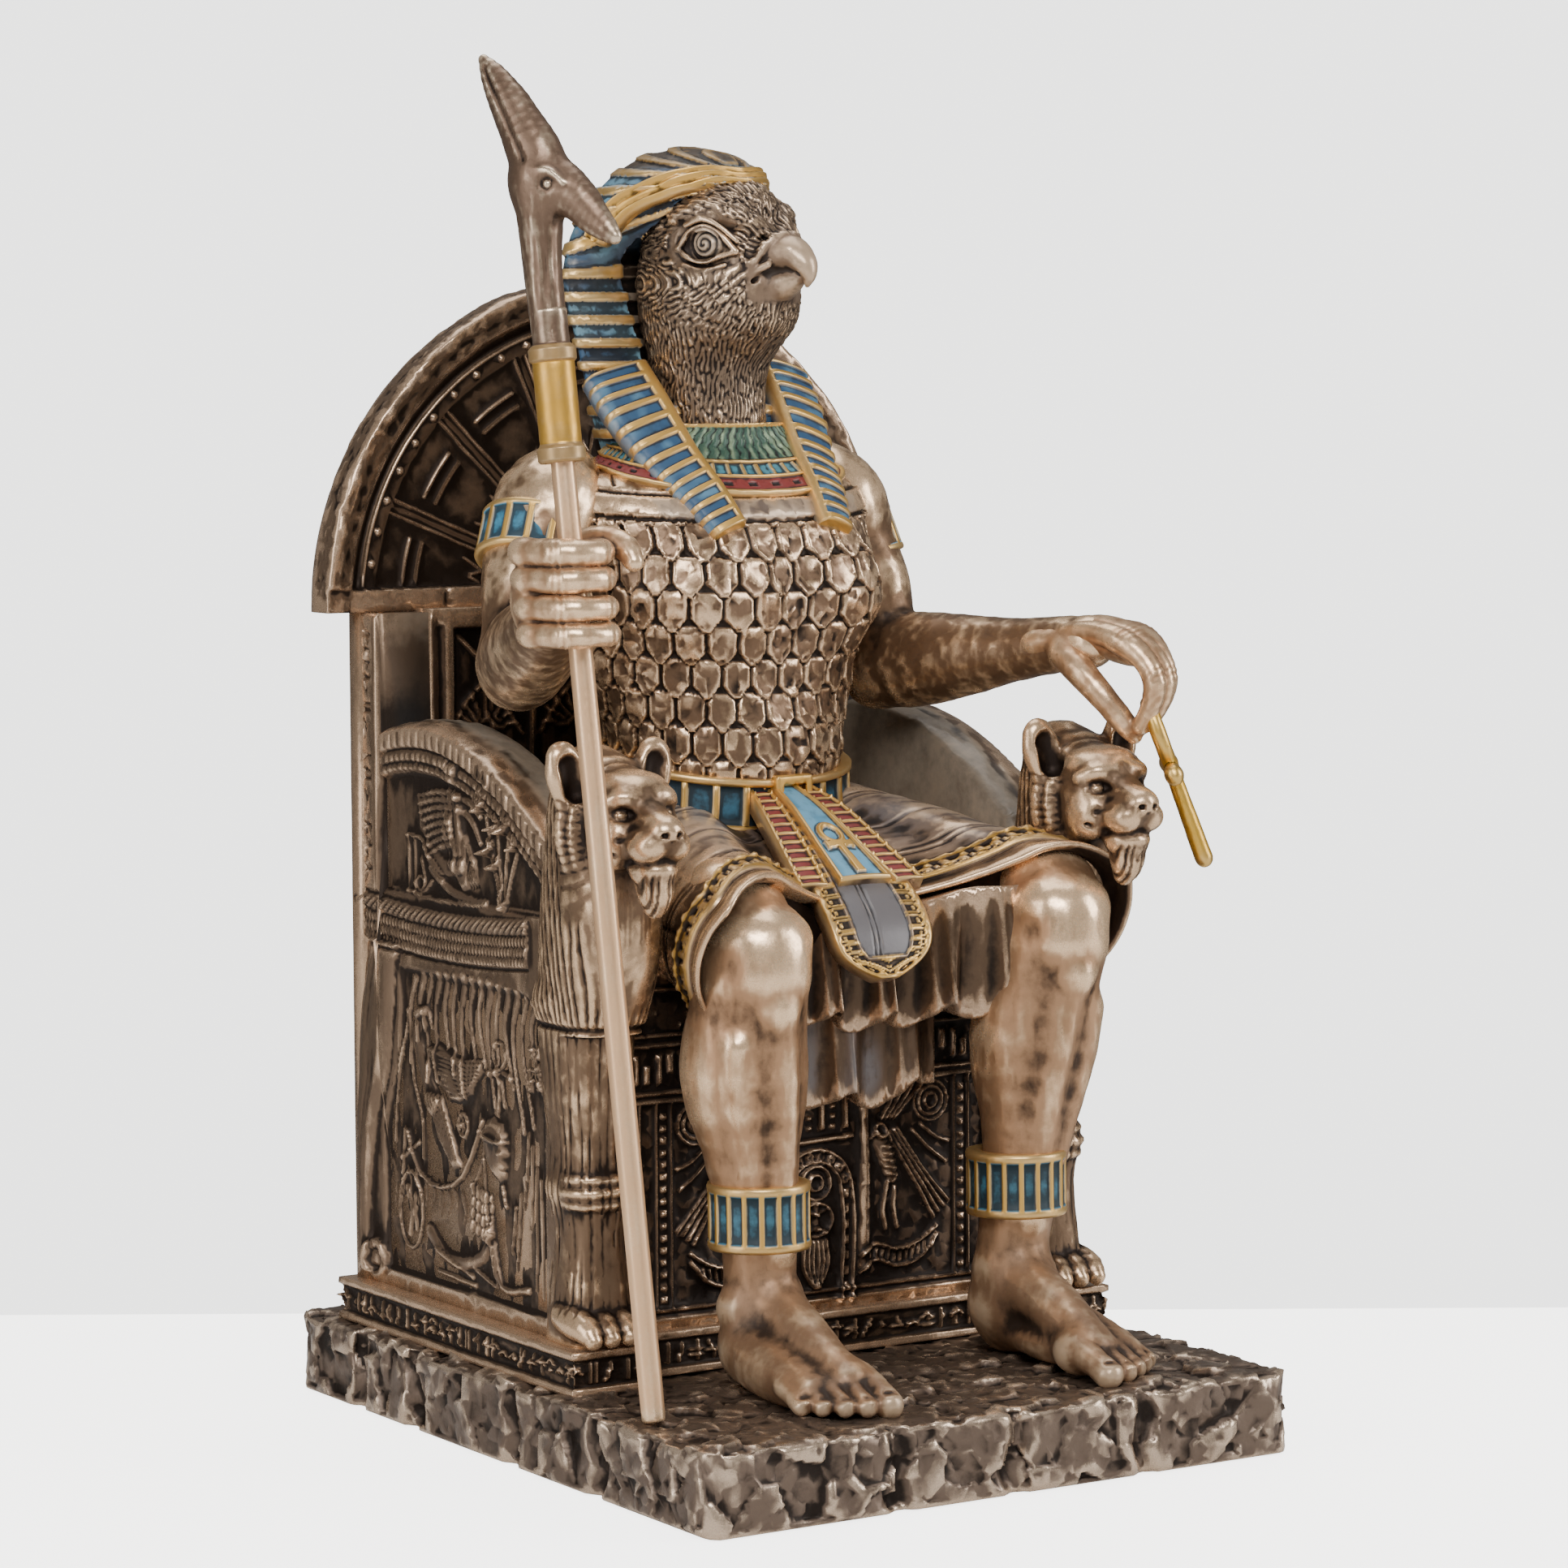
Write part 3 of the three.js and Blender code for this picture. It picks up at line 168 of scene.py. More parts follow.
class Clay:
    """A block of space in which forms are joined and cut by their distances, then skinned,
    in millimetres."""

    def __init__(self, low, high, step):
        self.step = step
        self.low = np.asarray(low, float)
        count = np.ceil((np.asarray(high, float) - self.low) / step).astype(int) + 1
        self.field = np.full(count, 4 * step + 1, np.float32)
        self.lines = [(self.low[k] + step * np.arange(count[k])).astype(np.float32)
            for k in range(3)]

    def axes(self):
        """The whole block's grid lines along x, y and z."""
        return [line.reshape([-1 if k == j else 1 for j in range(3)]) for k,
            line in enumerate(self.lines)]

    def window(self, box, pad):
        """The grid lines and slices of a box grown by pad."""
        cuts, lines = [], []
        for k in range(3):
            a = max(int((box[0][k] - pad - self.low[k]) / self.step), 0)
            b = min(int((box[1][k] + pad - self.low[k]) / self.step) + 2, self.field.shape[k])
            cuts.append(slice(a, max(b, a)))
            shape = [1, 1, 1]
            shape[k] = -1
            lines.append(self.lines[k][cuts[k]].reshape(shape))
        return tuple(cuts), lines

    def work(self, form, soft, joining):
        box, distance = form
        cuts, lines = self.window(box, soft + 3 * self.step)
        here = self.field[cuts]
        if here.size == 0:
            return self
        d = distance(*lines).astype(np.float32)
        if not joining:
            d = -d
        a, b = (here, d) if joining else (-here, -d)
        if soft:
            h = np.clip(0.5 + 0.5 * (b - a) / soft, 0, 1)
            least = b + (a - b) * h - soft * h * (1 - h)
        else:
            least = np.minimum(a, b)
        self.field[cuts] = least if joining else -least
        return self

    def join(self, form, soft=0.0):
        return self.work(self.as_one(form, soft), soft, True)

    def cut(self, form, soft=0.0):
        return self.work(self.as_one(form, soft), soft, False)

    def lump(self, place, spot, radii, soft=0.0, joining=True):
        """Joins or cuts an oval at a spot of the piece's own frame."""
        return self.work(ellipsoid(place(*spot), radii), soft, joining)

    def rod(self, place, rows, count, soft=0.0, joining=True, flat=None, share=1.0):
        """Joins or cuts a rod: each row is a spot of the piece's own frame and a radius."""
        form = tube([(*place(*row[:-1]), row[-1]) for row in rows], count, flat, share)
        return self.work(self.as_one(form, soft), soft, joining)

    def as_one(self, forms, soft):
        """A list of forms taken together as one form, without ridges where they meet."""
        if isinstance(forms, tuple):
            return forms
        box = np.min([f[0][0] for f in forms], 0), np.max([f[0][1] for f in forms], 0)
        cuts, _ = self.window(box, soft + 3 * self.step)
        whole = np.full(self.field[cuts].shape, soft + 4 * self.step, np.float32)
        for part_box, distance in forms:
            inner, lines = self.window(part_box, soft + 3 * self.step)
            local = tuple(slice(i.start - c.start, i.stop - c.start) for i, c in zip(inner, cuts))
            if whole[local].size:
                whole[local] = np.minimum(whole[local], distance(*lines))
        return box, lambda x, y, z: whole

    def skin(self):
        """The surface as points and corners of its four-sided faces."""
        band = 2.5 * self.step
        field = np.clip(self.field, -band, band)
        for k in range(3):
            edge = [slice(None)] * 3
            for end in (0, -1):
                edge[k] = end
                field[tuple(edge)] = np.maximum(field[tuple(edge)], 0.4 * self.step)
        volume = openvdb.FloatGrid(float(band))
        volume.copyFromArray(field / self.step, ijk=(0, 0, 0))
        points, quads = volume.convertToQuads()
        return Skin(points * self.step + self.low, quads.astype(np.int64))


def ellipsoid(centre, radii):
    c, r = np.asarray(centre, float), np.asarray(radii, float)

    def distance(x, y, z):
        q = [(x - c[0]) / r[0], (y - c[1]) / r[1], (z - c[2]) / r[2]]
        k0 = np.sqrt(q[0] ** 2 + q[1] ** 2 + q[2] ** 2)
        k1 = np.sqrt((q[0] / r[0]) ** 2 + (q[1] / r[1]) ** 2 + (q[2] / r[2]) ** 2)
        return k0 * (k0 - 1) / np.maximum(k1, 1e-6)

    return (c - r, c + r), distance


def brick(low, high, edge=0.0):
    """A block with rounded edges."""
    low, high = np.asarray(low, float), np.asarray(high, float)
    c, h = (low + high) / 2, (high - low) / 2 - edge

    def distance(x, y, z):
        q = [np.abs(x - c[0]) - h[0], np.abs(y - c[1]) - h[1], np.abs(z - c[2]) - h[2]]
        out = np.sqrt(sum(np.maximum(v, 0) ** 2 for v in q))
        return out + np.minimum(np.maximum(np.maximum(q[0], q[1]), q[2]), 0) - edge

    return (low, high), distance


def bone(a, b, ra, rb, flat=None, share=1.0):
    """A round-ended tapered rod, share as thick along its flat direction."""
    a, b = np.asarray(a, float), np.asarray(b, float)
    run = b - a
    length = max(run @ run, 1e-9)
    side = (None if flat is None else unit(np.asarray(flat, float)
        - run * (np.asarray(flat, float) @ run) / length))

    def distance(x, y, z):
        p = [x - a[0], y - a[1], z - a[2]]
        t = np.clip((p[0] * run[0] + p[1] * run[1] + p[2] * run[2]) / length, 0, 1)
        d = sum((p[k] - t * run[k]) ** 2 for k in range(3))
        if side is not None:
            s = sum((p[k] - t * run[k]) * side[k] for k in range(3))
            d = d + s * s * (1 / share**2 - 1)
        return ((np.sqrt(np.maximum(d, 0)) - (ra + (rb - ra) * t))
            * (min(share, 1.0) if side is not None else 1))

    pad = max(ra, rb) * max(1, share)
    return (np.minimum(a, b) - pad, np.maximum(a, b) + pad), distance


def curve(points, count):
    """Points and radii eased along a soft path: each row is x, y, z and then any sizes."""
    points = np.asarray(points, float)
    gaps = np.linalg.norm(np.diff(points[:, :3], axis=0), axis=1)
    keys = np.concatenate([[0], np.cumsum(gaps)])
    table = np.column_stack([keys, points])
    return eased(table, np.linspace(0, keys[-1], count)).T


def tube(rows, count=8, flat=None, share=1.0):
    """Round-ended rods along a soft path of x, y, z, radius rows."""
    path = curve(rows, count)
    return [bone(p[:3], q[:3], p[3], q[3], flat, share) for p, q in zip(path[:-1], path[1:])]


def column(table, place, power=2.0, box=None):
    """A form of eased oval sections: rows are height, ahead, half width and half depth.
    place turns x, y, z into aside and ahead of the form's axis."""
    table = np.asarray(table, float)
    low_z, high_z = table[0, 0], table[-1, 0]

    def distance(x, y, z):
        ahead, a, b = eased(table, z)
        aside, front = place(x, y, z)
        u = np.abs(aside / a)
        v = np.abs((front - ahead) / b)
        k = (u**power + v**power) ** (1 / power)
        steep = np.sqrt((u ** (power - 1) / a) ** 2 + (v ** (power - 1) / b) ** 2)
        d = (k - 1) * np.maximum(k, 1e-3) ** (power - 1) / np.maximum(steep, 1e-4)
        d = np.where(k < 0.3, -np.minimum(a, b) * (1 - k), d)
        ends = np.maximum(low_z - z, z - high_z)
        return np.where(ends > 0, np.sqrt(np.maximum(d, 0) ** 2 + ends**2), np.maximum(d, ends))

    return box, distance


def turned(x0, y0, degrees):
    """Aside and ahead in a frame that is turned about the upright through x0, y0."""
    c, s = math.cos(math.radians(degrees)), math.sin(math.radians(degrees))

    def place(x, y, z):
        dx, dy = x - x0, y0 - y
        return dx * c - dy * s, dx * s + dy * c

    def back(aside, ahead, z):
        return vec(x0 + aside * c + ahead * s, y0 - ahead * c + aside * s, z)

    return place, back


class Skin:
    """A mesh held as arrays: points in millimetres and faces of four corners."""

    def __init__(self, points, quads):
        self.p = np.asarray(points, float)
        self.f = np.asarray(quads)

    def edges(self):
        f = self.f
        rings = [f[:, [k, (k + 1) % f.shape[1]]] for k in range(f.shape[1])]
        return np.concatenate(rings)

    def normals(self):
        p, f = self.p, self.f
        n = np.cross(p[f[:, 2]] - p[f[:, 0]], p[f[:, -1]] - p[f[:, 1]])
        total = np.zeros_like(p)
        for c in range(f.shape[1]):
            for k in range(3):
                total[:, k] += np.bincount(f[:, c], n[:, k], len(p))
        return total / np.maximum(np.linalg.norm(total, axis=1, keepdims=True), 1e-12)

    def softened(self, values, turns):
        """Values averaged with their neighbours' a number of times."""
        e = self.edges()
        a, b = np.concatenate([e[:, 0], e[:, 1]]), np.concatenate([e[:, 1], e[:, 0]])
        count = np.maximum(np.bincount(a, minlength=len(self.p)), 1)
        values = np.asarray(values, float)
        flat = values.reshape(len(self.p), -1).copy()
        for _ in range(turns):
            for k in range(flat.shape[1]):
                flat[:, k] = (0.4 * flat[:, k] + 0.6 * np.bincount(a, flat[b, k], len(self.p))
                    / count)
        return flat.reshape(values.shape)

    def relax(self, turns):
        self.p = self.softened(self.p, turns)
        return self

    def push(self, height):
        """Moves each point out along its normal by height millimetres."""
        self.p = self.p + self.normals() * np.asarray(height)[:, None]
        return self

    def wear_and_form_shade(self, gain=1.0, rub_and_form_shade=0.0):
        """Hollows towards 0, flats at 0.5 and raised edges towards 1: the cast's patina and
        rubbing. The second argument adds broad forms on top: lighter on broad bulges, as rubbed
        bronze, and painted shade in broad hollows.
        """
        n = self.normals()
        fine = self.softened(self.p, 3)
        broad = self.softened(fine, 14)
        value = ((self.p - fine) * n).sum(1) * 3.2 + (((self.p - broad) * n).sum(1) - 0.05) * 0.6
        # Broad forms: lighter on bulges, as rubbed bronze, and painted shade in broad hollows.
        if rub_and_form_shade:
            forms = ((self.p - self.softened(broad, 60)) * n).sum(1)
            forms = forms - np.median(forms)
            value = value + np.where(forms > 0, forms, forms * 0.55) * rub_and_form_shade
        return np.clip(0.5 + value * gain, 0, 1)

    def faced_out(self):
        """Turns the faces round where they enclose their volume inside out."""
        a, b, c, d = (self.p[self.f[:, k]] for k in (0, 1, 2, -1))
        if (a * np.cross(b, c)).sum() + (a * np.cross(c, d)).sum() < 0:
            self.f = self.f[:, ::-1]
        return self

    def add(self, other):
        self.f = np.concatenate([self.f, other.f + len(self.p)])
        self.p = np.concatenate([self.p, other.p])
        return self


def sheet(rows, closed_across=False, closed_along=False):
    """A skin over a grid of points, rows by columns by 3."""
    rows = np.asarray(rows, float)
    n, m = rows.shape[:2]
    index = np.arange(n * m).reshape(n, m)
    if closed_along:
        index = np.vstack([index, index[:1]])
    if closed_across:
        index = np.hstack([index, index[:, :1]])
    quads = joined(index[:-1, :-1], index[:-1, 1:], index[1:, 1:], index[1:, :-1])
    return Skin(rows.reshape(-1, 3), quads.reshape(-1, 4))


def make(name, skin, metal, faces=0, keep=1.0, paint=None,
         replaces=("throne_figure",), gain=1.0, rub_and_form_shade=0.0):
    """Turns a skin into a Blender object that rides on the figure.
    It is trimmed to about a number of triangles, or to a share of them."""
    if faces:
        keep = faces / (2 * len(skin.f))
    mesh = bpy.data.meshes.new(name)
    clean = skin.faced_out().f
    mesh.vertices.add(len(skin.p))
    mesh.vertices.foreach_set("co", (skin.p * MM).astype(np.float32).ravel())
    double = (clean[:, 2] == clean[:, 3]) | (clean[:, 3] == clean[:, 0])
    swap = (clean[:, 0] == clean[:, 1]) | (clean[:, 1] == clean[:, 2])
    three = np.concatenate([clean[double][:, [0, 1, 2]], clean[swap][:, [0, 2, 3]]])
    four = clean[~double & ~swap]
    loops = np.concatenate([four.ravel(), three.ravel()]).astype(np.int32)
    starts = np.concatenate([np.arange(len(four)) * 4, len(four) * 4 + np.arange(len(three))
        * 3]).astype(np.int32)
    mesh.loops.add(len(loops))
    mesh.loops.foreach_set("vertex_index", loops)
    mesh.polygons.add(len(starts))
    mesh.polygons.foreach_set("loop_start", starts)
    mesh.update(calc_edges=True)
    mesh.validate()
    piece = bpy.data.objects.new(name, mesh)
    bpy.context.scene.collection.objects.link(piece)
    if keep < 1:
        trim = piece.modifiers.new("Trim", "DECIMATE")
        trim.ratio = keep
        trim.use_collapse_triangulate = True
        shown = piece.evaluated_get(bpy.context.evaluated_depsgraph_get())
        mesh = bpy.data.meshes.new_from_object(shown)
        piece.modifiers.remove(trim)
        piece.data = mesh
        mesh.name = name
        points = np.empty(len(mesh.vertices) * 3, np.float32)
        mesh.vertices.foreach_get("co", points)
        corners = np.empty(len(mesh.loops), np.int32)
        mesh.loops.foreach_get("vertex_index", corners)
        skin = Skin(points.reshape(-1, 3) / MM, corners.reshape(-1, 3))
    mesh.shade_smooth()
    # This attribute carries the patina of hollows and rubbed edges and, where asked, painted shade
    # of the broad forms.
    worn = mesh.attributes.new("wear_and_form_shade", "FLOAT", "POINT")
    worn.data.foreach_set("value", skin.wear_and_form_shade(gain, rub_and_form_shade).astype(np.float32))
    colours = np.zeros((len(skin.p), 4), np.float32)
    if paint is not None:
        colours[:] = paint(skin.p, skin.normals())
    coat = mesh.attributes.new("paint", "FLOAT_COLOR", "POINT")
    coat.data.foreach_set("color", colours.ravel())
    mesh.materials.append(finish(metal))
    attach(piece, "root")
    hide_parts(*replaces)


def pot(r, g, b, cover=1.0):
    """A paint from its screen colour, with how much it covers."""
    return np.array([(c / 255) ** 2.2 for c in (r, g, b)] + [cover])


GOLD = pot(224, 178, 98)
TEAL = pot(62, 112, 132)
RED = pot(128, 52, 50)


class Nodes:
    """Adds shader nodes from left to right and links them."""

    def __init__(self, tree):
        self.tree = tree
        self.column = 0

    def add(self, kind, **settings):
        node = self.tree.nodes.new(kind)
        self.column += 1
        node.location = (180 * self.column, -120 * (self.column % 3))
        for key, value in settings.items():
            setattr(node, key, value)
        return node

    def put(self, value, socket):
        if isinstance(value, bpy.types.NodeSocket):
            self.tree.links.new(value, socket)
        else:
            socket.default_value = value

    def math(self, operation, a, b=0.0, clamp=False):
        node = self.add("ShaderNodeMath", operation=operation, use_clamp=clamp)
        self.put(a, node.inputs[0])
        self.put(b, node.inputs[1])
        return node.outputs[0]

    def ease(self, value, low, high, to_low=0.0, to_high=1.0):
        node = self.add("ShaderNodeMapRange", interpolation_type="SMOOTHSTEP")
        for k, v in enumerate((value, low, high, to_low, to_high)):
            self.put(v, node.inputs[k])
        return node.outputs[0]

    def blend(self, share, a, b, mode="MIX"):
        node = self.add("ShaderNodeMix", data_type="RGBA", blend_type=mode)
        self.put(share, node.inputs[0])
        self.put(a, node.inputs[6])
        self.put(b, node.inputs[7])
        return node.outputs[2]

    def noise(self, scale, detail=3.0, stretch=None, roughness=0.6):
        place = self.add("ShaderNodeTexCoord").outputs["Object"]
        if stretch:
            mapping = self.add("ShaderNodeMapping")
            self.put(place, mapping.inputs[0])
            mapping.inputs["Scale"].default_value = stretch
            place = mapping.outputs[0]
        node = self.add("ShaderNodeTexNoise")
        self.put(place, node.inputs["Vector"])
        self.put(scale, node.inputs["Scale"])
        node.inputs["Detail"].default_value = detail
        node.inputs["Roughness"].default_value = roughness
        return node.outputs[0]


def new_group(name, takes, gives):
    """A node group with named sockets; each socket is (name, kind, value)."""
    tree = bpy.data.node_groups.new(name, "ShaderNodeTree")
    for side, sockets in (("INPUT", takes), ("OUTPUT", gives)):
        for label, kind, value in sockets:
            socket = tree.interface.new_socket(name=label, in_out=side, socket_type="NodeSocket"
                + kind)
            if value is not None:
                socket.default_value = value
    nodes = Nodes(tree)
    return tree, nodes, nodes.add("NodeGroupInput"), nodes.add("NodeGroupOutput")


def aged_metal_group():
    """Dark in hollows, brown on flats and rubbed bright on raised edges, with grain."""
    tree, n, given, gives = new_group("Aged Metal",
        [("Wear and Form Shade", "Float", 0.5), ("Dark", "Color", (0, 0, 0, 1)),
        ("Middle", "Color", (0.1, 0.1, 0.1, 1)), ("Bright", "Color", (0.5, 0.5, 0.5, 1)),
        ("Grain", "Float", 500.0), ("Polish", "Float", 0.5)],
        [("Color", "Color", None), ("Roughness", "Float", None), ("Height", "Float", None)])
    wear_and_form_shade = given.outputs["Wear and Form Shade"]
    lumps = n.noise(given.outputs["Grain"], 4.0)
    patches = n.noise(48.0, 3.0)
    strokes = n.noise(260.0, 2.0, (1.0, 1.0, 0.28))
    stain = n.math("MULTIPLY_ADD", n.math("SUBTRACT", patches, 0.5), 0.34)
    stain.node.inputs[2].default_value = 0.0
    shade = n.math("ADD", wear_and_form_shade, stain)
    touch = n.math("MULTIPLY", n.math("SUBTRACT", lumps, 0.5), 0.32)
    shade = n.math("ADD", shade, touch)
    brush = n.math("ADD", shade, n.math("MULTIPLY", n.math("SUBTRACT", strokes, 0.5), 0.5))
    low = n.ease(shade, 0.12, 0.52)
    high = n.ease(n.math("ADD", brush, n.math("MULTIPLY", given.outputs["Polish"], 0.22)), 0.72,
        1.12)
    base = n.blend(low, given.outputs["Dark"], given.outputs["Middle"])
    colour = n.blend(high, base, given.outputs["Bright"])
    sheen = n.ease(shade, 0.2, 0.9, 0.52, 0.26)
    fine = n.noise(1600.0, 2.0)
    sheen = n.math("ADD", sheen, n.math("MULTIPLY", n.math("SUBTRACT", fine, 0.5), 0.2))
    height = n.math("ADD", n.math("MULTIPLY", lumps, 0.6), n.math("MULTIPLY", fine, 0.25))
    n.put(colour, gives.inputs["Color"])
    n.put(sheen, gives.inputs["Roughness"])
    n.put(height, gives.inputs["Height"])
    return tree


def brushed_paint_group():
    """Paint over metal: dark washes in the hollows, rubbed edges, uneven strokes."""
    tree, n, given, gives = new_group(
        "Brushed Paint",
        [("Metal Color", "Color", (0.1, 0.1, 0.1, 1)), ("Metal Roughness", "Float", 0.4),
         ("Paint", "Color", (0.5, 0.5, 0.5, 1)), ("Cover", "Float", 0.0), ("Wear and Form Shade", "Float", 0.5),
         ("Metal Gloss", "Float", 0.7)],
        [("Color", "Color", None), ("Roughness", "Float", None), ("Metallic", "Float", None)],
    )
    wear_and_form_shade, paint = given.outputs["Wear and Form Shade"], given.outputs["Paint"]
    strokes = n.noise(420.0, 3.0)
    broad = n.noise(110.0, 2.0)
    dark = n.blend(1.0, paint, (0.16, 0.15, 0.15, 1), "MULTIPLY")
    pale = n.blend(0.16, paint, (1.0, 0.9, 0.72, 1))
    level = n.math("ADD", wear_and_form_shade, n.math("MULTIPLY", n.math("SUBTRACT", strokes, 0.5), 0.5))
    level = n.math("ADD", level, n.math("MULTIPLY", n.math("SUBTRACT", broad, 0.5), 0.4))
    coat = n.blend(n.ease(level, 0.16, 0.46), dark, paint)
    coat = n.blend(n.ease(level, 0.62, 1.1), coat, pale)
    cover = n.math("MULTIPLY", given.outputs["Cover"], n.ease(level, 0.95, 1.5, 1.0, 0.4))
    colour = n.blend(cover, given.outputs["Metal Color"], coat)
    split = n.add("ShaderNodeSeparateColor")
    n.put(paint, split.inputs[0])
    yellow = n.math("SUBTRACT", split.outputs[1], split.outputs[2])
    gilt = n.math("MULTIPLY", yellow, 2.6, clamp=True)
    shine = n.blend(cover, given.outputs["Metal Gloss"], gilt)
    matt = n.ease(level, 0.1, 0.9, 0.56, 0.38)
    n.put(colour, gives.inputs["Color"])
    n.put(n.blend(cover, given.outputs["Metal Roughness"], matt), gives.inputs["Roughness"])
    n.put(shine, gives.inputs["Metallic"])
    return tree


# Each metal: its colour in hollows, on flats and on rubbed edges, then its grain, its polish and
# the grain's height in metres.
METALS = {
    "Cast Bronze": ((44, 35, 29), (98, 79, 63), (200, 168, 138), 500, 0.4, 0.00012),
    "Arm Bronze": ((48, 37, 30), (122, 96, 74), (238, 202, 162), 420, 0.9, 0.0001),
    "Lion Bronze": ((44, 34, 28), (118, 95, 75), (226, 190, 152), 500, 0.6, 0.00012),
    "Panel Bronze": ((50, 40, 33), (120, 99, 81), (194, 164, 136), 500, 0.3, 0.00012),
    "Dark Bronze": ((38, 30, 25), (92, 74, 60), (182, 152, 124), 500, 0.3, 0.00012),
    "Rubbed Bronze Skin": ((70, 54, 43), (178, 139, 106), (248, 210, 168), 420, 1.0, 0.0001),
    "Hewn Bronze": ((44, 36, 31), (112, 96, 84), (206, 182, 158), 500, 0.5, 0.0002),
    "Cuirass Bronze": ((44, 35, 29), (118, 94, 74), (230, 194, 156), 700, 0.7, 0.00014),
    "Feather Bronze": ((42, 34, 30), (122, 103, 86), (226, 193, 158), 900, 0.4, 0.0001),
    "Pale Bronze Rod": ((174, 130, 98), (238, 192, 148), (250, 216, 176), 1200, 0.9, 0.00004),
    "Brushed Grey Bronze": ((46, 36, 30), (118, 96, 80), (222, 198, 170), 300, 0.7, 0.0001),
}
METAL_GLOSS = 0.7


def finish(name):
    """A material of aged metal with brushed paint over it where the mesh says so."""
    if name in bpy.data.materials:
        return bpy.data.materials[name]
    *tones, grain, polish, grain_height = METALS[name]
    dark, middle, bright = (tuple(pot(*tone)) for tone in tones)
    metal_tree = bpy.data.node_groups.get("Aged Metal") or aged_metal_group()
    paint_tree = bpy.data.node_groups.get("Brushed Paint") or brushed_paint_group()
    material = bpy.data.materials.new(name)
    material.use_nodes = True
    n = Nodes(material.node_tree)
    shader = material.node_tree.nodes["Principled BSDF"]
    worn = n.add("ShaderNodeAttribute", attribute_name="wear_and_form_shade").outputs["Fac"]
    brushed = n.add("ShaderNodeAttribute", attribute_name="paint")
    metal = n.add("ShaderNodeGroup", node_tree=metal_tree)
    for label, value in (("Wear and Form Shade", worn), ("Dark", dark), ("Middle", middle), ("Bright", bright),
                         ("Grain", grain), ("Polish", polish)):
        n.put(value, metal.inputs[label])
    paint = n.add("ShaderNodeGroup", node_tree=paint_tree)
    for label, value in (("Metal Color", metal.outputs["Color"]),
            ("Metal Roughness", metal.outputs["Roughness"]), ("Paint", brushed.outputs["Color"]),
            ("Cover", brushed.outputs["Alpha"]), ("Wear and Form Shade", worn), ("Metal Gloss", METAL_GLOSS)):
        n.put(value, paint.inputs[label])
    relief = n.add("ShaderNodeBump")
    relief.inputs["Strength"].default_value = 0.6
    relief.inputs["Distance"].default_value = grain_height
    n.put(metal.outputs["Height"], relief.inputs["Height"])
    n.put(paint.outputs["Color"], shader.inputs["Base Color"])
    n.put(paint.outputs["Roughness"], shader.inputs["Roughness"])
    n.put(paint.outputs["Metallic"], shader.inputs["Metallic"])
    n.put(relief.outputs[0], shader.inputs["Normal"])
    return material


def light(name, place, target, size, power):
    data = bpy.data.lights.new(name, "AREA")
    data.shape = "RECTANGLE"
    data.size, data.size_y = size
    data.energy = power
    lamp = bpy.data.objects.new(name, data)
    bpy.context.scene.collection.objects.link(lamp)
    lamp.location = place
    lamp.rotation_euler = (Vector(target) - Vector(place)).to_track_quat("-Z", "Y").to_euler()


# The camera, solved from the photo's straight edges: its place in millimetres, its yaw, pitch and
# roll in degrees, and its focal length and the picture's width in pixels.
CAMERA_PLACE = (-525.70, -826.55, 214.43)
CAMERA_ANGLES = (32.54, -5.04, -0.28)
CAMERA_FOCAL, PICTURE_WIDTH = 6095.0, 1932.0
SENSOR_WIDTH = 36.0
# The floor's grid lines round the figure's middle, in metres: away from the camera, and across.
FLOOR_ALONG = (-3.0, -1.2, -0.4, 0.0, 0.112)
FLOOR_ACROSS = (-2.5, -0.8, 0.0, 0.8, 2.5)
# Each softbox: place, what it points at, size in metres, share of the key light's power.
SOFTBOXES = {
    "Key Softbox": ((-0.55, -1.0, 0.95), (0, 0, 0.13), (0.7, 0.5), 1),
    "Left Softbox": ((-1.15, -0.1, 0.45), (0, 0, 0.12), (0.5, 0.8), 0.4),
    "Right Softbox": ((0.95, -0.75, 0.55), (0, 0, 0.12), (0.4, 0.8), 0.6),
    "Top Softbox": ((0.1, 0.25, 1.2), (0, 0, 0.1), (0.9, 0.9), 0.5),
}


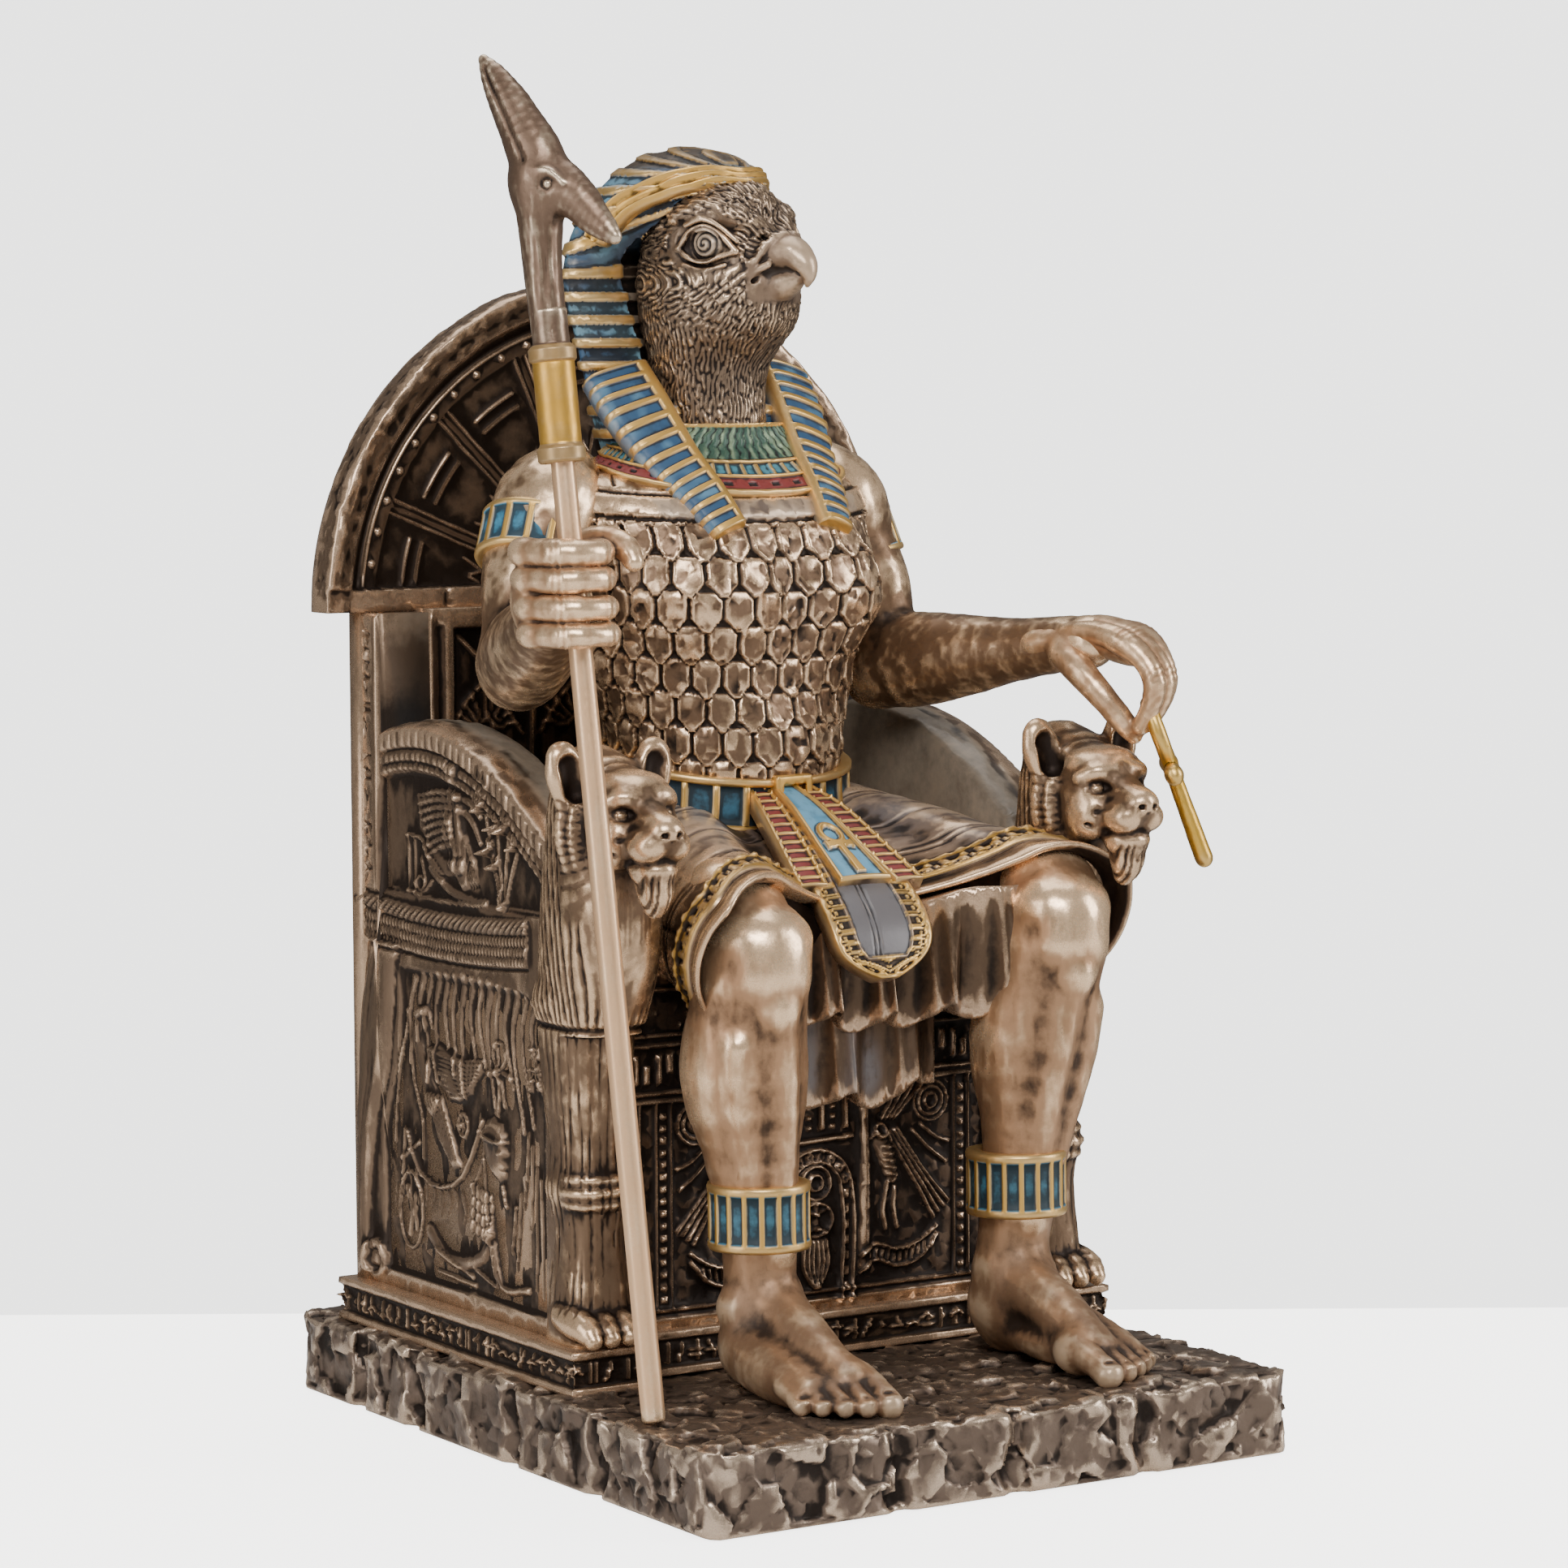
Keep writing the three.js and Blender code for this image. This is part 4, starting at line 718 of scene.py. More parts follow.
def build_stage(settings):
    """The camera at the picture's angle, a pale floor and soft studio light."""
    data = bpy.data.cameras.new("Camera")
    data.sensor_fit = "HORIZONTAL"
    data.sensor_width = SENSOR_WIDTH
    data.lens = CAMERA_FOCAL / PICTURE_WIDTH * SENSOR_WIDTH
    data.clip_start, data.clip_end = 0.05, 20
    camera = bpy.data.objects.new("Camera", data)
    bpy.context.scene.collection.objects.link(camera)
    yaw, pitch, roll = (math.radians(a) for a in CAMERA_ANGLES)
    ahead = vec(math.sin(yaw) * math.cos(pitch), math.cos(yaw) * math.cos(pitch), math.sin(pitch))
    right = unit(np.cross(ahead, vec(0, 0, 1)))
    up = np.cross(right, ahead)
    c, s = math.cos(roll), math.sin(roll)
    right, up = c * right + s * up, -s * right + c * up
    place = vec(*CAMERA_PLACE) * MM
    camera.matrix_world = Matrix([[right[k], up[k], -ahead[k], place[k]] for k in range(3)]
        + [[0, 0, 0, 1]])
    bpy.context.scene.camera = camera

    out, beside = grid(FLOOR_ALONG, FLOOR_ACROSS)
    flat = unit(ahead * (1, 1, 0))
    across = vec(flat[1], -flat[0], 0)
    skin = sheet(out[..., None] * flat + beside[..., None] * across)
    mesh = bpy.data.meshes.new("Floor")
    mesh.from_pydata([tuple(p) for p in skin.p], [], [tuple(int(i) for i in q) for q in skin.f])
    floor = bpy.data.objects.new("Floor", mesh)
    bpy.context.scene.collection.objects.link(floor)
    floor.location.z = -0.0002
    material = bpy.data.materials.new("Pale Floor")
    material.use_nodes = True
    n = Nodes(material.node_tree)
    shader = material.node_tree.nodes["Principled BSDF"]
    n.put(n.blend(n.noise(6.0, 2.0), settings.floor_colour, (0.86, 0.855, 0.84, 1)),
        shader.inputs["Base Color"])
    shader.inputs["Roughness"].default_value = 0.55
    # The floor shows brighter to the camera than it shines on the figure.
    seen = n.add("ShaderNodeLightPath").outputs["Is Camera Ray"]
    n.put((1.0, 0.99, 0.97, 1), shader.inputs["Emission Color"])
    n.put(n.math("MULTIPLY", seen, settings.floor_light), shader.inputs["Emission Strength"])
    mesh.materials.append(material)

    world = bpy.data.worlds.new("Studio")
    bpy.context.scene.world = world
    world.use_nodes = True
    n = Nodes(world.node_tree)
    background = world.node_tree.nodes["Background"]
    seen = n.add("ShaderNodeLightPath").outputs["Is Camera Ray"]
    n.put(n.blend(seen, (1.0, 0.985, 0.96, 1), settings.wall_colour), background.inputs[0])
    strength = n.add("ShaderNodeMix", data_type="FLOAT")
    n.put(seen, strength.inputs[0])
    n.put(settings.room_light, strength.inputs[2])
    n.put(settings.wall_light, strength.inputs[3])
    n.put(strength.outputs[0], background.inputs[1])
    for name, (place, target, size, share) in SOFTBOXES.items():
        light(name, place, target, size, settings.key_light * share)


# The slab, and where its blocks' joints lie as shares of its half depth and half width.
SLAB = dict(width=132.6, depth=162.4)
JOINTS = dict(side=(-0.55, -0.1, 0.42, 0.74), front=(-0.45, 0.02, 0.5))


def facets(points, size, seed):
    """Knapped stone: each cell is a flat chip with a height and a lean of its own."""
    p = np.asarray(points) / size
    base = np.floor(p)
    nearest = np.full(len(p), 9.0)
    height = np.zeros(len(p))
    for corner in range(27):
        cell = base + (corner % 3 - 1, corner // 3 % 3 - 1, corner // 9 - 1)
        keys = [cell[:, k] for k in range(3)]
        spot = cell + joined(*[rand(keys, seed + k) for k in range(3)])
        gap = p - spot
        far = (gap**2).sum(1)
        lean = joined(*[rand(keys, seed + 5 + k) - 0.5 for k in range(3)])
        value = rand(keys, seed + 9) - 0.5 + (gap * lean).sum(1) * 2.2
        closer = far < nearest
        height = np.where(closer, value, height)
        nearest = np.minimum(nearest, far)
    return height


def build_slab():
    half_x, half_y = SLAB["width"] / 2, SLAB["depth"] / 2
    clay = Clay((-half_x - 3, -half_y - 3, -1.5), (half_x + 3, half_y + 3, 20), 0.6)
    clay.join(brick((-half_x - 0.7, -half_y - 0.7, 0), (half_x + 0.7, half_y + 0.7, SLAB_TOP + 0.3),
        1.6))
    x, y, _ = clay.axes()
    corner = (np.sqrt(np.maximum(np.abs(x) - half_x + 5.3, 0) ** 2
        + np.maximum(np.abs(y) - half_y + 5.3, 0) ** 2) - 6)
    clay.field = np.maximum(clay.field, corner.astype(np.float32))
    for x0 in (-1, 1):
        for share in JOINTS["side"]:
            y0 = share * (half_y - 7) + 1.2 * math.sin(9 * share + x0)
            groove = [(x0 * (half_x + 0.8), y0 + 1.6, 0, 1.9),
                (x0 * (half_x + 0.6), y0 - 0.8, 6, 2.2), (x0 * (half_x + 0.6), y0 + 0.9, 12, 2.2),
                (x0 * (half_x - 0.2), y0 - 0.6, 17, 1.2), (x0 * (half_x - 12), y0 + x0, 17.2, 0.6)]
            clay.cut(tube(groove, 16), 1.5)
    for y0 in (-1, 1):
        for share in JOINTS["front"]:
            x0 = share * (half_x - 7) + 1.2 * math.sin(7 * share + y0)
            groove = [(x0 + 1.4, y0 * (half_y + 0.8), 0, 1.9),
                (x0 - 0.9, y0 * (half_y + 0.6), 6, 2.2), (x0 + 1.0, y0 * (half_y + 0.6), 12, 2.2),
                (x0 - 0.4, y0 * (half_y - 0.2), 17, 1.2), (x0 + y0, y0 * (half_y - 22), 17.2, 0.7)]
            clay.cut(tube(groove, 18), 1.5)
    for y0 in (-42.0, -58.0):
        clay.cut(tube([(-62, y0, 17.0, 1.2), (-20, y0 + 2, 17.0, 1.3), (20, y0 - 1, 17.0, 1.2),
            (62, y0 + 3, 17.0, 1.2)], 16), 1.0)
    for x0, near in ((-40, -81), (-12, -81), (22, -81), (46, -58), (-30, -58), (4, -58)):
        clay.cut(tube([(x0, near, 17.0, 1.2), (x0 + 2.5, near + 9, 17.0, 1.1),
            (x0 + 1, near + 20, 17.0, 1.0)], 10), 1.0)
    skin = clay.skin()
    p, n = skin.p, skin.normals()
    side = 1 - smooth(np.abs(n[:, 2]), 0.35, 0.8)
    top = (n[:, 2] > 0.5) * 1.0
    chips = 1.05 * facets(p * (1, 1, 0.8), 8.5, 11) + 0.3 * facets(p, 3.4, 31)
    worn = (0.8 * facets(p * (1, 1, 0.3), 8.0, 51) + 0.35 * facets(p * (1, 1, 0.4), 3.4, 71)
        + 0.1 * rough(p, 2.0, 2, 16))
    height = (side * (chips - 0.2) + (1 - side) * top * (worn - 0.3)) * smooth(p[:, 2], 0.1, 1.6)
    skin.push(height)
    skin.p[:, 2] = np.maximum(skin.p[:, 2], 0)
    make("stone_slab", skin, "Hewn Bronze", faces=55000, gain=0.32)


def legs_path(side):
    knee = vec(-28, -35, 81) if side < 0 else vec(42, -36, 83)
    ankle = vec(-26.5, -35, 26) if side < 0 else vec(33, -36, 27)
    return knee, ankle


def dark_feet_and_painted_shade(p, n):
    """Darker colour low over the feet, less on pale streaks of their upward faces, and painted
    shade on faces turned back, such as the backs of the calves.
    """
    colours = np.tile(pot(74, 56, 44, 0), (len(p), 1))
    low = 1 - smooth(p[:, 2], SLAB_TOP + 12, SLAB_TOP + 30)
    streaks = smooth(ripple(p * (1, 0.25, 1), 2.2, 39), -0.3, 0.5)
    colours[:, 3] = np.clip(0.6 * low * (1 - 0.6 * streaks * (n[:, 2] > 0.3))
        + 0.4 * smooth(n[:, 1], 0.0, 0.7), 0, 0.75)
    return colours


def build_legs():
    for side, name in ((-1, "right_leg"), (1, "left_leg")):
        knee, ankle = legs_path(side)
        run = knee - ankle

        def p(t, aside=0.0, rear=0.0):
            q = ankle + run * t
            return at(q[0] + side * aside, q[1] + rear, q[2])

        low = np.minimum(knee, ankle) + (-20, -44, -27 + SLAB_TOP)
        high = np.maximum(knee, ankle) + (20, 24, 20 + SLAB_TOP)
        low[2] = SLAB_TOP - 0.6
        clay = Clay(low, high, 0.52)
        shin = [(1.22, 0, 9, 8.6), (1.1, 0, 3.4, 11.0), (0.98, 0, 1.4, 11.6), (0.84, 0, 1.4, 11.0),
            (0.64, 0.6, 2.8, 11.8), (0.42, 0.5, 2.0, 9.9), (0.12, 0, 0.4, 7.6),
            (-0.12, 0, 0.6, 7.0), (-0.3, 0, 1.0, 7.2)]
        clay.rod(p, shin, 16, 1.2)
        # The kneecap, the shin's ridge, and the calf's two heads.
        clay.lump(p, (1.0, -0.5, -7.6), (7.2, 4.6, 7.6), 3.0)
        clay.lump(p, (1.1, -1.0, -3.4), (9.4, 7.4, 6.4), 3.0)
        clay.lump(p, (0.87, 0.2, -9.4), (3.6, 2.6, 3.2), 2.2)
        clay.rod(p, [(0.86, -0.4, -7.8, 2.6), (0.6, -1.6, -8.2, 2.2), (0.3, -1.4, -6.6, 2.0),
            (0.02, -1.2, -5.4, 2.2)], 8, 3.4)
        clay.lump(p, (0.66, 6.2, 3.4), (5.6, 7.6, 14), 4.0)
        clay.lump(p, (0.6, -6.0, 4.2), (5.4, 7.2, 13), 4.0)
        clay.rod(p, [(0.74, 7.4, -5.4, 2.2), (0.5, 6.6, -4.4, 2.2), (0.22, 3.8, -4.0, 1.6)], 6, 3.0)
        # The foot in a frame of its own: aside, ahead and up from the ankle.
        splay = -side * 0.05

        def q(aside, ahead, up):
            return at(ankle[0] + side * aside - splay * ahead, ankle[1] - ahead, up)

        clay.lump(q, (0, -3.4, 6.6), (6.2, 7.2, 7.2), 3.0)
        clay.lump(q, (0.2, 1.6, 12.0), (6.6, 7.4, 11), 3.0)
        clay.rod(q, [(-1.6, 4, 14.6, 5.8), (-1.6, 13, 11.6, 5.4), (-2.0, 21, 8.0, 4.8),
            (-2.4, 28, 5.2, 4.0)], 8, 3.0)
        clay.rod(q, [(3.4, 2, 7.4, 5.6), (4.6, 12, 6.0, 5.2), (5.2, 21, 4.6, 4.3),
            (5.4, 27, 3.6, 3.4)], 8, 3.0)
        clay.lump(q, (-5.4, 26.0, 4.6), (4.8, 5.0, 4.2), 2.6)
        clay.lump(q, (0.6, 14, 4.2), (8.0, 16, 4.2), 2.6)
        for s, high in ((-1, 17.4), (1, 15.6)):
            clay.lump(q, (6.0 * s, -0.6, high), (2.8, 3.6, 3.4), 2.4)
        reach = [38.6, 38.2, 36.4, 34.0, 31.2]
        aside = [-6.6, -2.0, 1.8, 5.3, 8.3]
        radius = [3.0, 2.15, 2.05, 1.95, 1.95]
        for k in range(5):
            r, a, far = radius[k], aside[k], reach[k]
            toe = [(*q(a * 0.94, 25 - k, 4.6 + 0.3 * r), r * 1.0),
                (*q(a, far - 8.0, 4.6), r * 0.98), (*q(a, far - 4.4, 3.4), r * 0.92),
                (*q(a, far - 1.6, 2.3), r * 0.98)]
            clay.join(tube(toe, 8), 0.7)
            nail = q(a, far - 0.2, 2.3 + r * 0.62)
            clay.cut(ellipsoid(nail + (0, 0.4, 0.55), (r * 0.62, 1.5, 0.75)), 0.15)
            clay.join(ellipsoid(nail + (0, 0.3, -0.15), (r * 0.5, 1.3, 0.55)), 0.15)
        skin = clay.skin().relax(3)
        p0 = skin.p
        skin.push(0.16 * rough(p0 * (1, 1, 0.4), 3.0, 3, 31) + 0.07 * rough(p0 * (1, 1, 0.3), 1.4,
            2, 33))
        skin.p[:, 2] = np.maximum(skin.p[:, 2], SLAB_TOP - 0.4)
        make(name, skin, "Rubbed Bronze Skin", faces=24000, gain=0.5, rub_and_form_shade=0.6, paint=dark_feet_and_painted_shade)
        build_anklet(side, ankle)


def ring_band(place, turn, up, radius_a, radius_b, half, bars, thick=0.9, steps=300):
    """A band round a limb: edge rims and upright bars around sunk squares.
    Gives the skin and, for each point, how far it stands on a rim or bar."""
    side = unit(np.cross(up, turn))
    turn = unit(np.cross(side, up))
    heights = np.array([-1, -1, -0.985, -0.9, -0.78, -0.72, -0.66, -0.4, 0, 0.4, 0.66, 0.72, 0.78,
        0.9, 0.985, 1, 1])
    outs = (np.array([-2.4, -0.2, 0.5, 0.75, 0.72, 0.55, 0.05, 0, 0, 0, 0.05, 0.55, 0.72, 0.75, 0.5,
        -0.2, -2.4]) * thick)
    angles = np.linspace(0, 2 * math.pi, steps + 1)[:-1]
    phase = (angles * bars / (2 * math.pi)) % 1
    bar = smooth(np.abs(phase - 0.5), 0.32, 0.38)
    h, a = grid(heights, angles)
    out, b = grid(outs, bar)
    inner = np.abs(h) < 0.75
    out = np.where(inner, np.maximum(out, b * 0.62 * thick), out)
    ra, rb = radius_a + out, radius_b + out
    rows = (
        np.asarray(place) + (np.cos(a) * ra)[..., None] * side + (np.sin(a) * rb)[..., None] * turn
        + (h * half)[..., None] * unit(up)
    )
    gilt = np.where(inner, b, 1.0).reshape(-1)
    return sheet(rows, closed_across=True, closed_along=True), gilt


def band_piece(name, skin, gilt, colour):
    """A painted band: gold rims and bars, coloured squares."""
    def paint(p, n):
        share = np.clip(gilt, 0, 1)[:, None]
        return GOLD * share + colour * (1 - share)

    make(name, skin, "Cast Bronze", paint=paint)


def build_anklet(side, ankle):
    name = "right_anklet" if side < 0 else "left_anklet"
    skin, gilt = ring_band(at(ankle[0], ankle[1] + 0.5, ankle[2] + 7.2), (0, -1, 0), (0, 0.02, 1),
        9.2, 9.6, 6.4, 18)
    band_piece(name, skin, gilt, TEAL)


# The trunk's axis, and how far the trunk looks to its left, in degrees.
TRUNK_Y, TRUNK_TURN = 21.2, 7
TRUNK, trunk_at = turned(0, TRUNK_Y, TRUNK_TURN)
# The head's axis, and how far it looks to its left, in degrees.
HEAD_X, HEAD_Y, HEAD_TURN = -0.5, 25.2, 16
HEAD, _ = turned(HEAD_X, HEAD_Y, HEAD_TURN)
TORSO = [(100, 0, 26, 19.5), (106, 0, 24.4, 19.4), (112, 0, 23.8, 19.4), (120, 0, 24.6, 19.6),
    (130, 0, 27.4, 19.8), (140, 0, 29.6, 20.4), (152, 0, 31.6, 20.8), (162, -0.3, 33, 19.6),
    (168, -1, 32.6, 17), (173, -2.2, 29, 13.6), (178, -3.6, 22, 11), (183, -4, 14, 10.4),
    (190, -4, 11.4, 10.4), (196, -4, 11, 10)]


def on_trunk(aside, ahead, z):
    """Grids of points given in the trunk's frame."""
    return np.moveaxis(np.array(trunk_at(aside, ahead, z)), 0, -1)


def raised_table(table, up=SLAB_TOP):
    return [(row[0] + up, *row[1:]) for row in table]


def around(place, p, table):
    """How far aside of the middle points lie round a form of eased ovals, and its turn."""
    aside, front = place(p[:, 0], p[:, 1], p[:, 2])
    ahead, a, b = eased(table, p[:, 2])
    turn = np.arctan2(aside / a, (front - ahead) / b)
    return turn * (a + b) / 2, turn


def scales(along, across, length, width, tip=0.35, gap=0.13, seed=0):
    """A height map of lapped scales that hang down: across and along in millimetres, along running
    down. Gives the height from 0 in the grooves to 1, and a number for each scale."""
    best = np.zeros(along.shape)
    which = np.zeros(along.shape)
    level = np.full(along.shape, -1e9)
    for back in (1, 0):
        row = np.floor(along / length) - back
        shift = np.where(row % 2 == 0, 0.0, 0.5)
        column = np.floor(across / width + shift)
        v = (across / width + shift - column - 0.5) * 2
        t = along / length - row
        reach = 1.0 + tip * (1 - np.maximum(np.abs(v), 0.18)) - tip * 0.5
        inside = np.minimum((reach - t) * length * 0.8, (1 - np.abs(v)) * width / 2 - gap * width
            / 2)
        edge = gap * width / 2
        face = smooth(inside, -edge * 0.2, edge * 2.0)
        rim = bump(inside, edge * 2.4, edge * 2.2) * 0.14
        lift = face * (0.72 + 0.28 * t) + rim * face
        seen = (inside > -edge * 0.3) & (level < 1)
        best = np.where(seen, lift, best)
        which = np.where(seen, rand([row, column], seed), which)
        level = np.where(seen, 1, level)
    return best, which


def build_torso():
    table = raised_table(TORSO)
    clay = Clay((-38, -2, SLAB_TOP + 100), (40, 46, SLAB_TOP + 190), 0.46)
    box = (vec(-38, -2, SLAB_TOP + 100), vec(40, 46, SLAB_TOP + 190))
    clay.join(column(table, TRUNK, 2.25, box))
    for s in (-1, 1):
        clay.lump(trunk_at, (14 * s, 12.4, SLAB_TOP + 150), (14, 9, 12), 6)
        clay.lump(trunk_at, (24 * s, -6, SLAB_TOP + 148), (8, 10, 18), 5)
        clay.lump(trunk_at, (27 * s, -3, SLAB_TOP + 165), (9, 9, 8), 5)
    clay.lump(trunk_at, (0, 8, SLAB_TOP + 118), (17, 13, 14), 6)
    skin = clay.skin()
    p = skin.p
    arc, turn = around(TRUNK, p, table)
    down = SLAB_TOP + 166.0 - p[:, 2] - 2.2 * np.cos(turn)
    wide = 5.55 * (1 + 0.02 * np.sin(turn * 3))
    pattern, which = scales(down, arc + 1.4, 6.75, wide, 0.55, 0.06, 41)
    here = smooth(p[:, 2], SLAB_TOP + 108, SLAB_TOP + 112) * (down > -0.5)
    dents = 0.2 * facets(p, 3.0, 43) + rough(p, 1.2, 2, 44) * 0.05
    lean = (which - 0.5) * 0.35
    height = here * (pattern * (1.0 + lean) + dents * pattern)
    # The straps and plates under the collar.
    over = down < 0.2
    strap = bump(down, -2.6, 2.0)
    height = np.where(over, 0.5 + 0.45 * (strap > 0.1) - 0.4 * bump(down, -0.2, 0.5)
        - 0.4 * bump(down, -5.0, 0.5) + dents * 0.4 - 0.4 * bump((arc + 40) % 9.0, 4.5, 0.45)
        * (down < -6), height)
    height = (height * (1 - smooth(p[:, 2], SLAB_TOP + 172, SLAB_TOP + 175)) - 0.8 * smooth(p[:, 2],
        SLAB_TOP + 174, SLAB_TOP + 178))
    skin.push(height)

    def paint(q, m):
        a, _ = around(TRUNK, q, table)
        d = SLAB_TOP + 166.0 - q[:, 2] - 2.2 * np.cos(np.arctan2(a, 20))
        colours = np.zeros((len(q), 4))
        colours[(d < -0.6) & (d > -4.7) & (np.abs(a) < 20)] = pot(112, 104, 100, 0.5)
        return colours

    make("cuirass", skin, "Cuirass Bronze", faces=60000, paint=paint, gain=0.8)
    build_collar()
    build_belt()


def build_collar():
    """The broad collar: rings of gold, green leaves, blue squares and red between raised lines."""
    table = raised_table(TORSO)
    # Bands as shares of the way from the outer edge to the neck; the edge dips over the chest.
    heights = np.concatenate([[0, 0.001], np.linspace(0.002, 1, 76), [1.001, 1.001]])
    turns = np.linspace(-math.pi, math.pi, 481)[:-1]
    h, t = grid(heights, turns)
    gold_lines = ((0.035, 0.04), (0.255, 0.022), (0.455, 0.03), (0.97, 0.04))
    lines = sum(bump(h, c, w) for c, w in gold_lines)
    squares = (h > 0.278) & (h < 0.425)
    bar = smooth(np.abs((t * 52 / math.pi / 2) % 1 - 0.5), 0.34, 0.4)
    leaves = (h > 0.485) & (h < 0.935)
    leaf = np.abs((t * 66 / math.pi / 2 + 0.12 * np.sin(h * 40)) % 1 - 0.5)
    red = (h > 0.075) & (h < 0.235)
    dash = (np.abs((t * 34 / math.pi / 2) % 1 - 0.5) < 0.17) & (np.abs(h - 0.155) < 0.028)
    out = 1.0 + 0.75 * lines + 0.5 * bar * squares + leaves * (0.55 - 1.0 * leaf) * 0.7 - 0.4 * dash
    out = out + 0.10 * ripple(joined(t * 20, h * 20), 0.9, 51)
    z = (SLAB_TOP + mix(174.0, 182.4, h) - (1 - h) * np.where(np.cos(t) > 0,
        5.6 * np.abs(np.cos(t)) ** 1.5, 2.0 * np.cos(t)))
    ahead, a, b = eased(table, z)
    c, s = np.cos(t), np.sin(t)
    k = (np.abs(s) ** 2.25 + np.abs(c) ** 2.25) ** (-1 / 2.25)
    out = np.where(h <= 0.0005, -3.5, out + 0.5)
    out = np.where(h >= 1.0005, -4.0, out)
    rows = on_trunk((a + out * 0.75) * s * k, ahead + (b + out * 0.75) * c * k, z + out * 0.6)
    skin = sheet(rows, closed_across=True, closed_along=True)
    tint = np.zeros(h.shape + (4,))
    tint[...] = pot(70, 56, 44, 0.3)
    tint[red] = RED
    tint[dash] = pot(60, 26, 26)
    tint[squares] = pot(76, 132, 148)
    tint[squares & (bar > 0.5)] = GOLD
    green = mix(pot(58, 86, 72), pot(140, 160, 128), smooth(ripple(joined(t * 30, h * 5), 1.0, 53),
        -0.2, 0.8)[..., None])
    tint = np.where(leaves[..., None], green, tint)
    tint[leaves & (leaf > 0.42)] = pot(30, 46, 38)
    tint[lines > 0.25] = GOLD
    tint = tint.reshape(-1, 4)
    make("broad_collar", skin, "Cast Bronze", paint=lambda p, n: tint)


def build_belt():
    """The belt dips to its square buckle: gold rims, bars and blue squares."""
    table = raised_table(TORSO)
    heights = np.array([-5.7, -5.6, -5.5, -5.2, -4.2, -3.9, -3.7, -2.5, -1.2, 0, 1.2, 2.5, 3.7, 3.9,
        4.2, 5.2, 5.5, 5.6, 5.7])
    outs = np.array([-1, 0.8, 2.0, 2.5, 2.5, 2.1, 1.5, 1.5, 1.5, 1.5, 1.5, 1.5, 1.5, 2.1, 2.5, 2.5,
        2.0, 0.8, -1.0])
    turns = np.linspace(-math.pi, math.pi, 481)[:-1]
    h, t = grid(heights, turns)
    out = grid(outs, turns)[0]
    inner = np.abs(h) < 3.8
    bar = smooth(np.abs(((t + 0.14) * 26 / math.pi / 2) % 1 - 0.5), 0.37, 0.41)
    out = np.where(inner, np.maximum(out, 1.5 + 0.8 * bar), out)
    z0 = SLAB_TOP + 111.6
    z = z0 + h - 0.22 * (21.2 * np.cos(t) + 0.5) + 0.8
    ahead, a, b = eased(table, z)
    c, s = np.cos(t), np.sin(t)
    k = (np.abs(s) ** 2.3 + np.abs(c) ** 2.3) ** (-1 / 2.3)
    rows = on_trunk((a + out + 0.8) * s * k, ahead + (b + out + 0.8) * c * k, z)
    skin = sheet(rows, closed_across=True, closed_along=True)
    gilt = np.where(inner, bar, 1.0).reshape(-1)
    band_piece("belt", skin, gilt, pot(56, 104, 128))
    clay = Clay(trunk_at(-8, 26, 0) * (1, 1, 0) + (-3, -3, SLAB_TOP + 101),
        trunk_at(8, 12, 0) * (1, 1, 0) + (3, 3, SLAB_TOP + 116), 0.3)
    mid = SLAB_TOP + 108.2

    def plate(half, high, near, far, edge):
        def distance(x, y, z):
            aside, front = TRUNK(x, y, z)
            q = [np.abs(aside) - half + edge, np.abs(front - (near + far) / 2) - (far - near) / 2
                + edge, np.abs(z - mid) - high + edge]
            return (np.sqrt(sum(np.maximum(v, 0) ** 2 for v in q))
                + np.minimum(np.maximum(np.maximum(q[0], q[1]), q[2]), 0) - edge)
        return (trunk_at(-half, far, mid - high) - 3, trunk_at(half, near, mid + high)
            + 3), distance

    clay.join(plate(4.6, 5.7, 17.5, 23.9, 0.6))
    clay.cut(plate(2.9, 3.9, 22.4, 26, 0.2))
    skin = clay.skin()

    def paint(p, n):
        aside, front = TRUNK(p[:, 0], p[:, 1], p[:, 2])
        well = (np.abs(aside) < 2.7) & (np.abs(p[:, 2] - mid) < 3.7) & (front < 23)
        colours = np.tile(GOLD, (len(p), 1))
        colours[well] = pot(90, 72, 50, 0.5)
        return colours

    make("buckle", skin, "Cast Bronze", paint=paint, keep=0.3)


ARMS = {
    "right": dict(shoulder=(-36.5, 25, 168), band=(-42.5, 22.6, 161), elbow=(-50, 14.4, 137),
        wrist=(-65, -27, 150)),
    "left": dict(shoulder=(33, 32, 167), band=(37.5, 31.5, 159), elbow=(41.5, 23, 133),
        wrist=(54.5, -23, 139)),
}


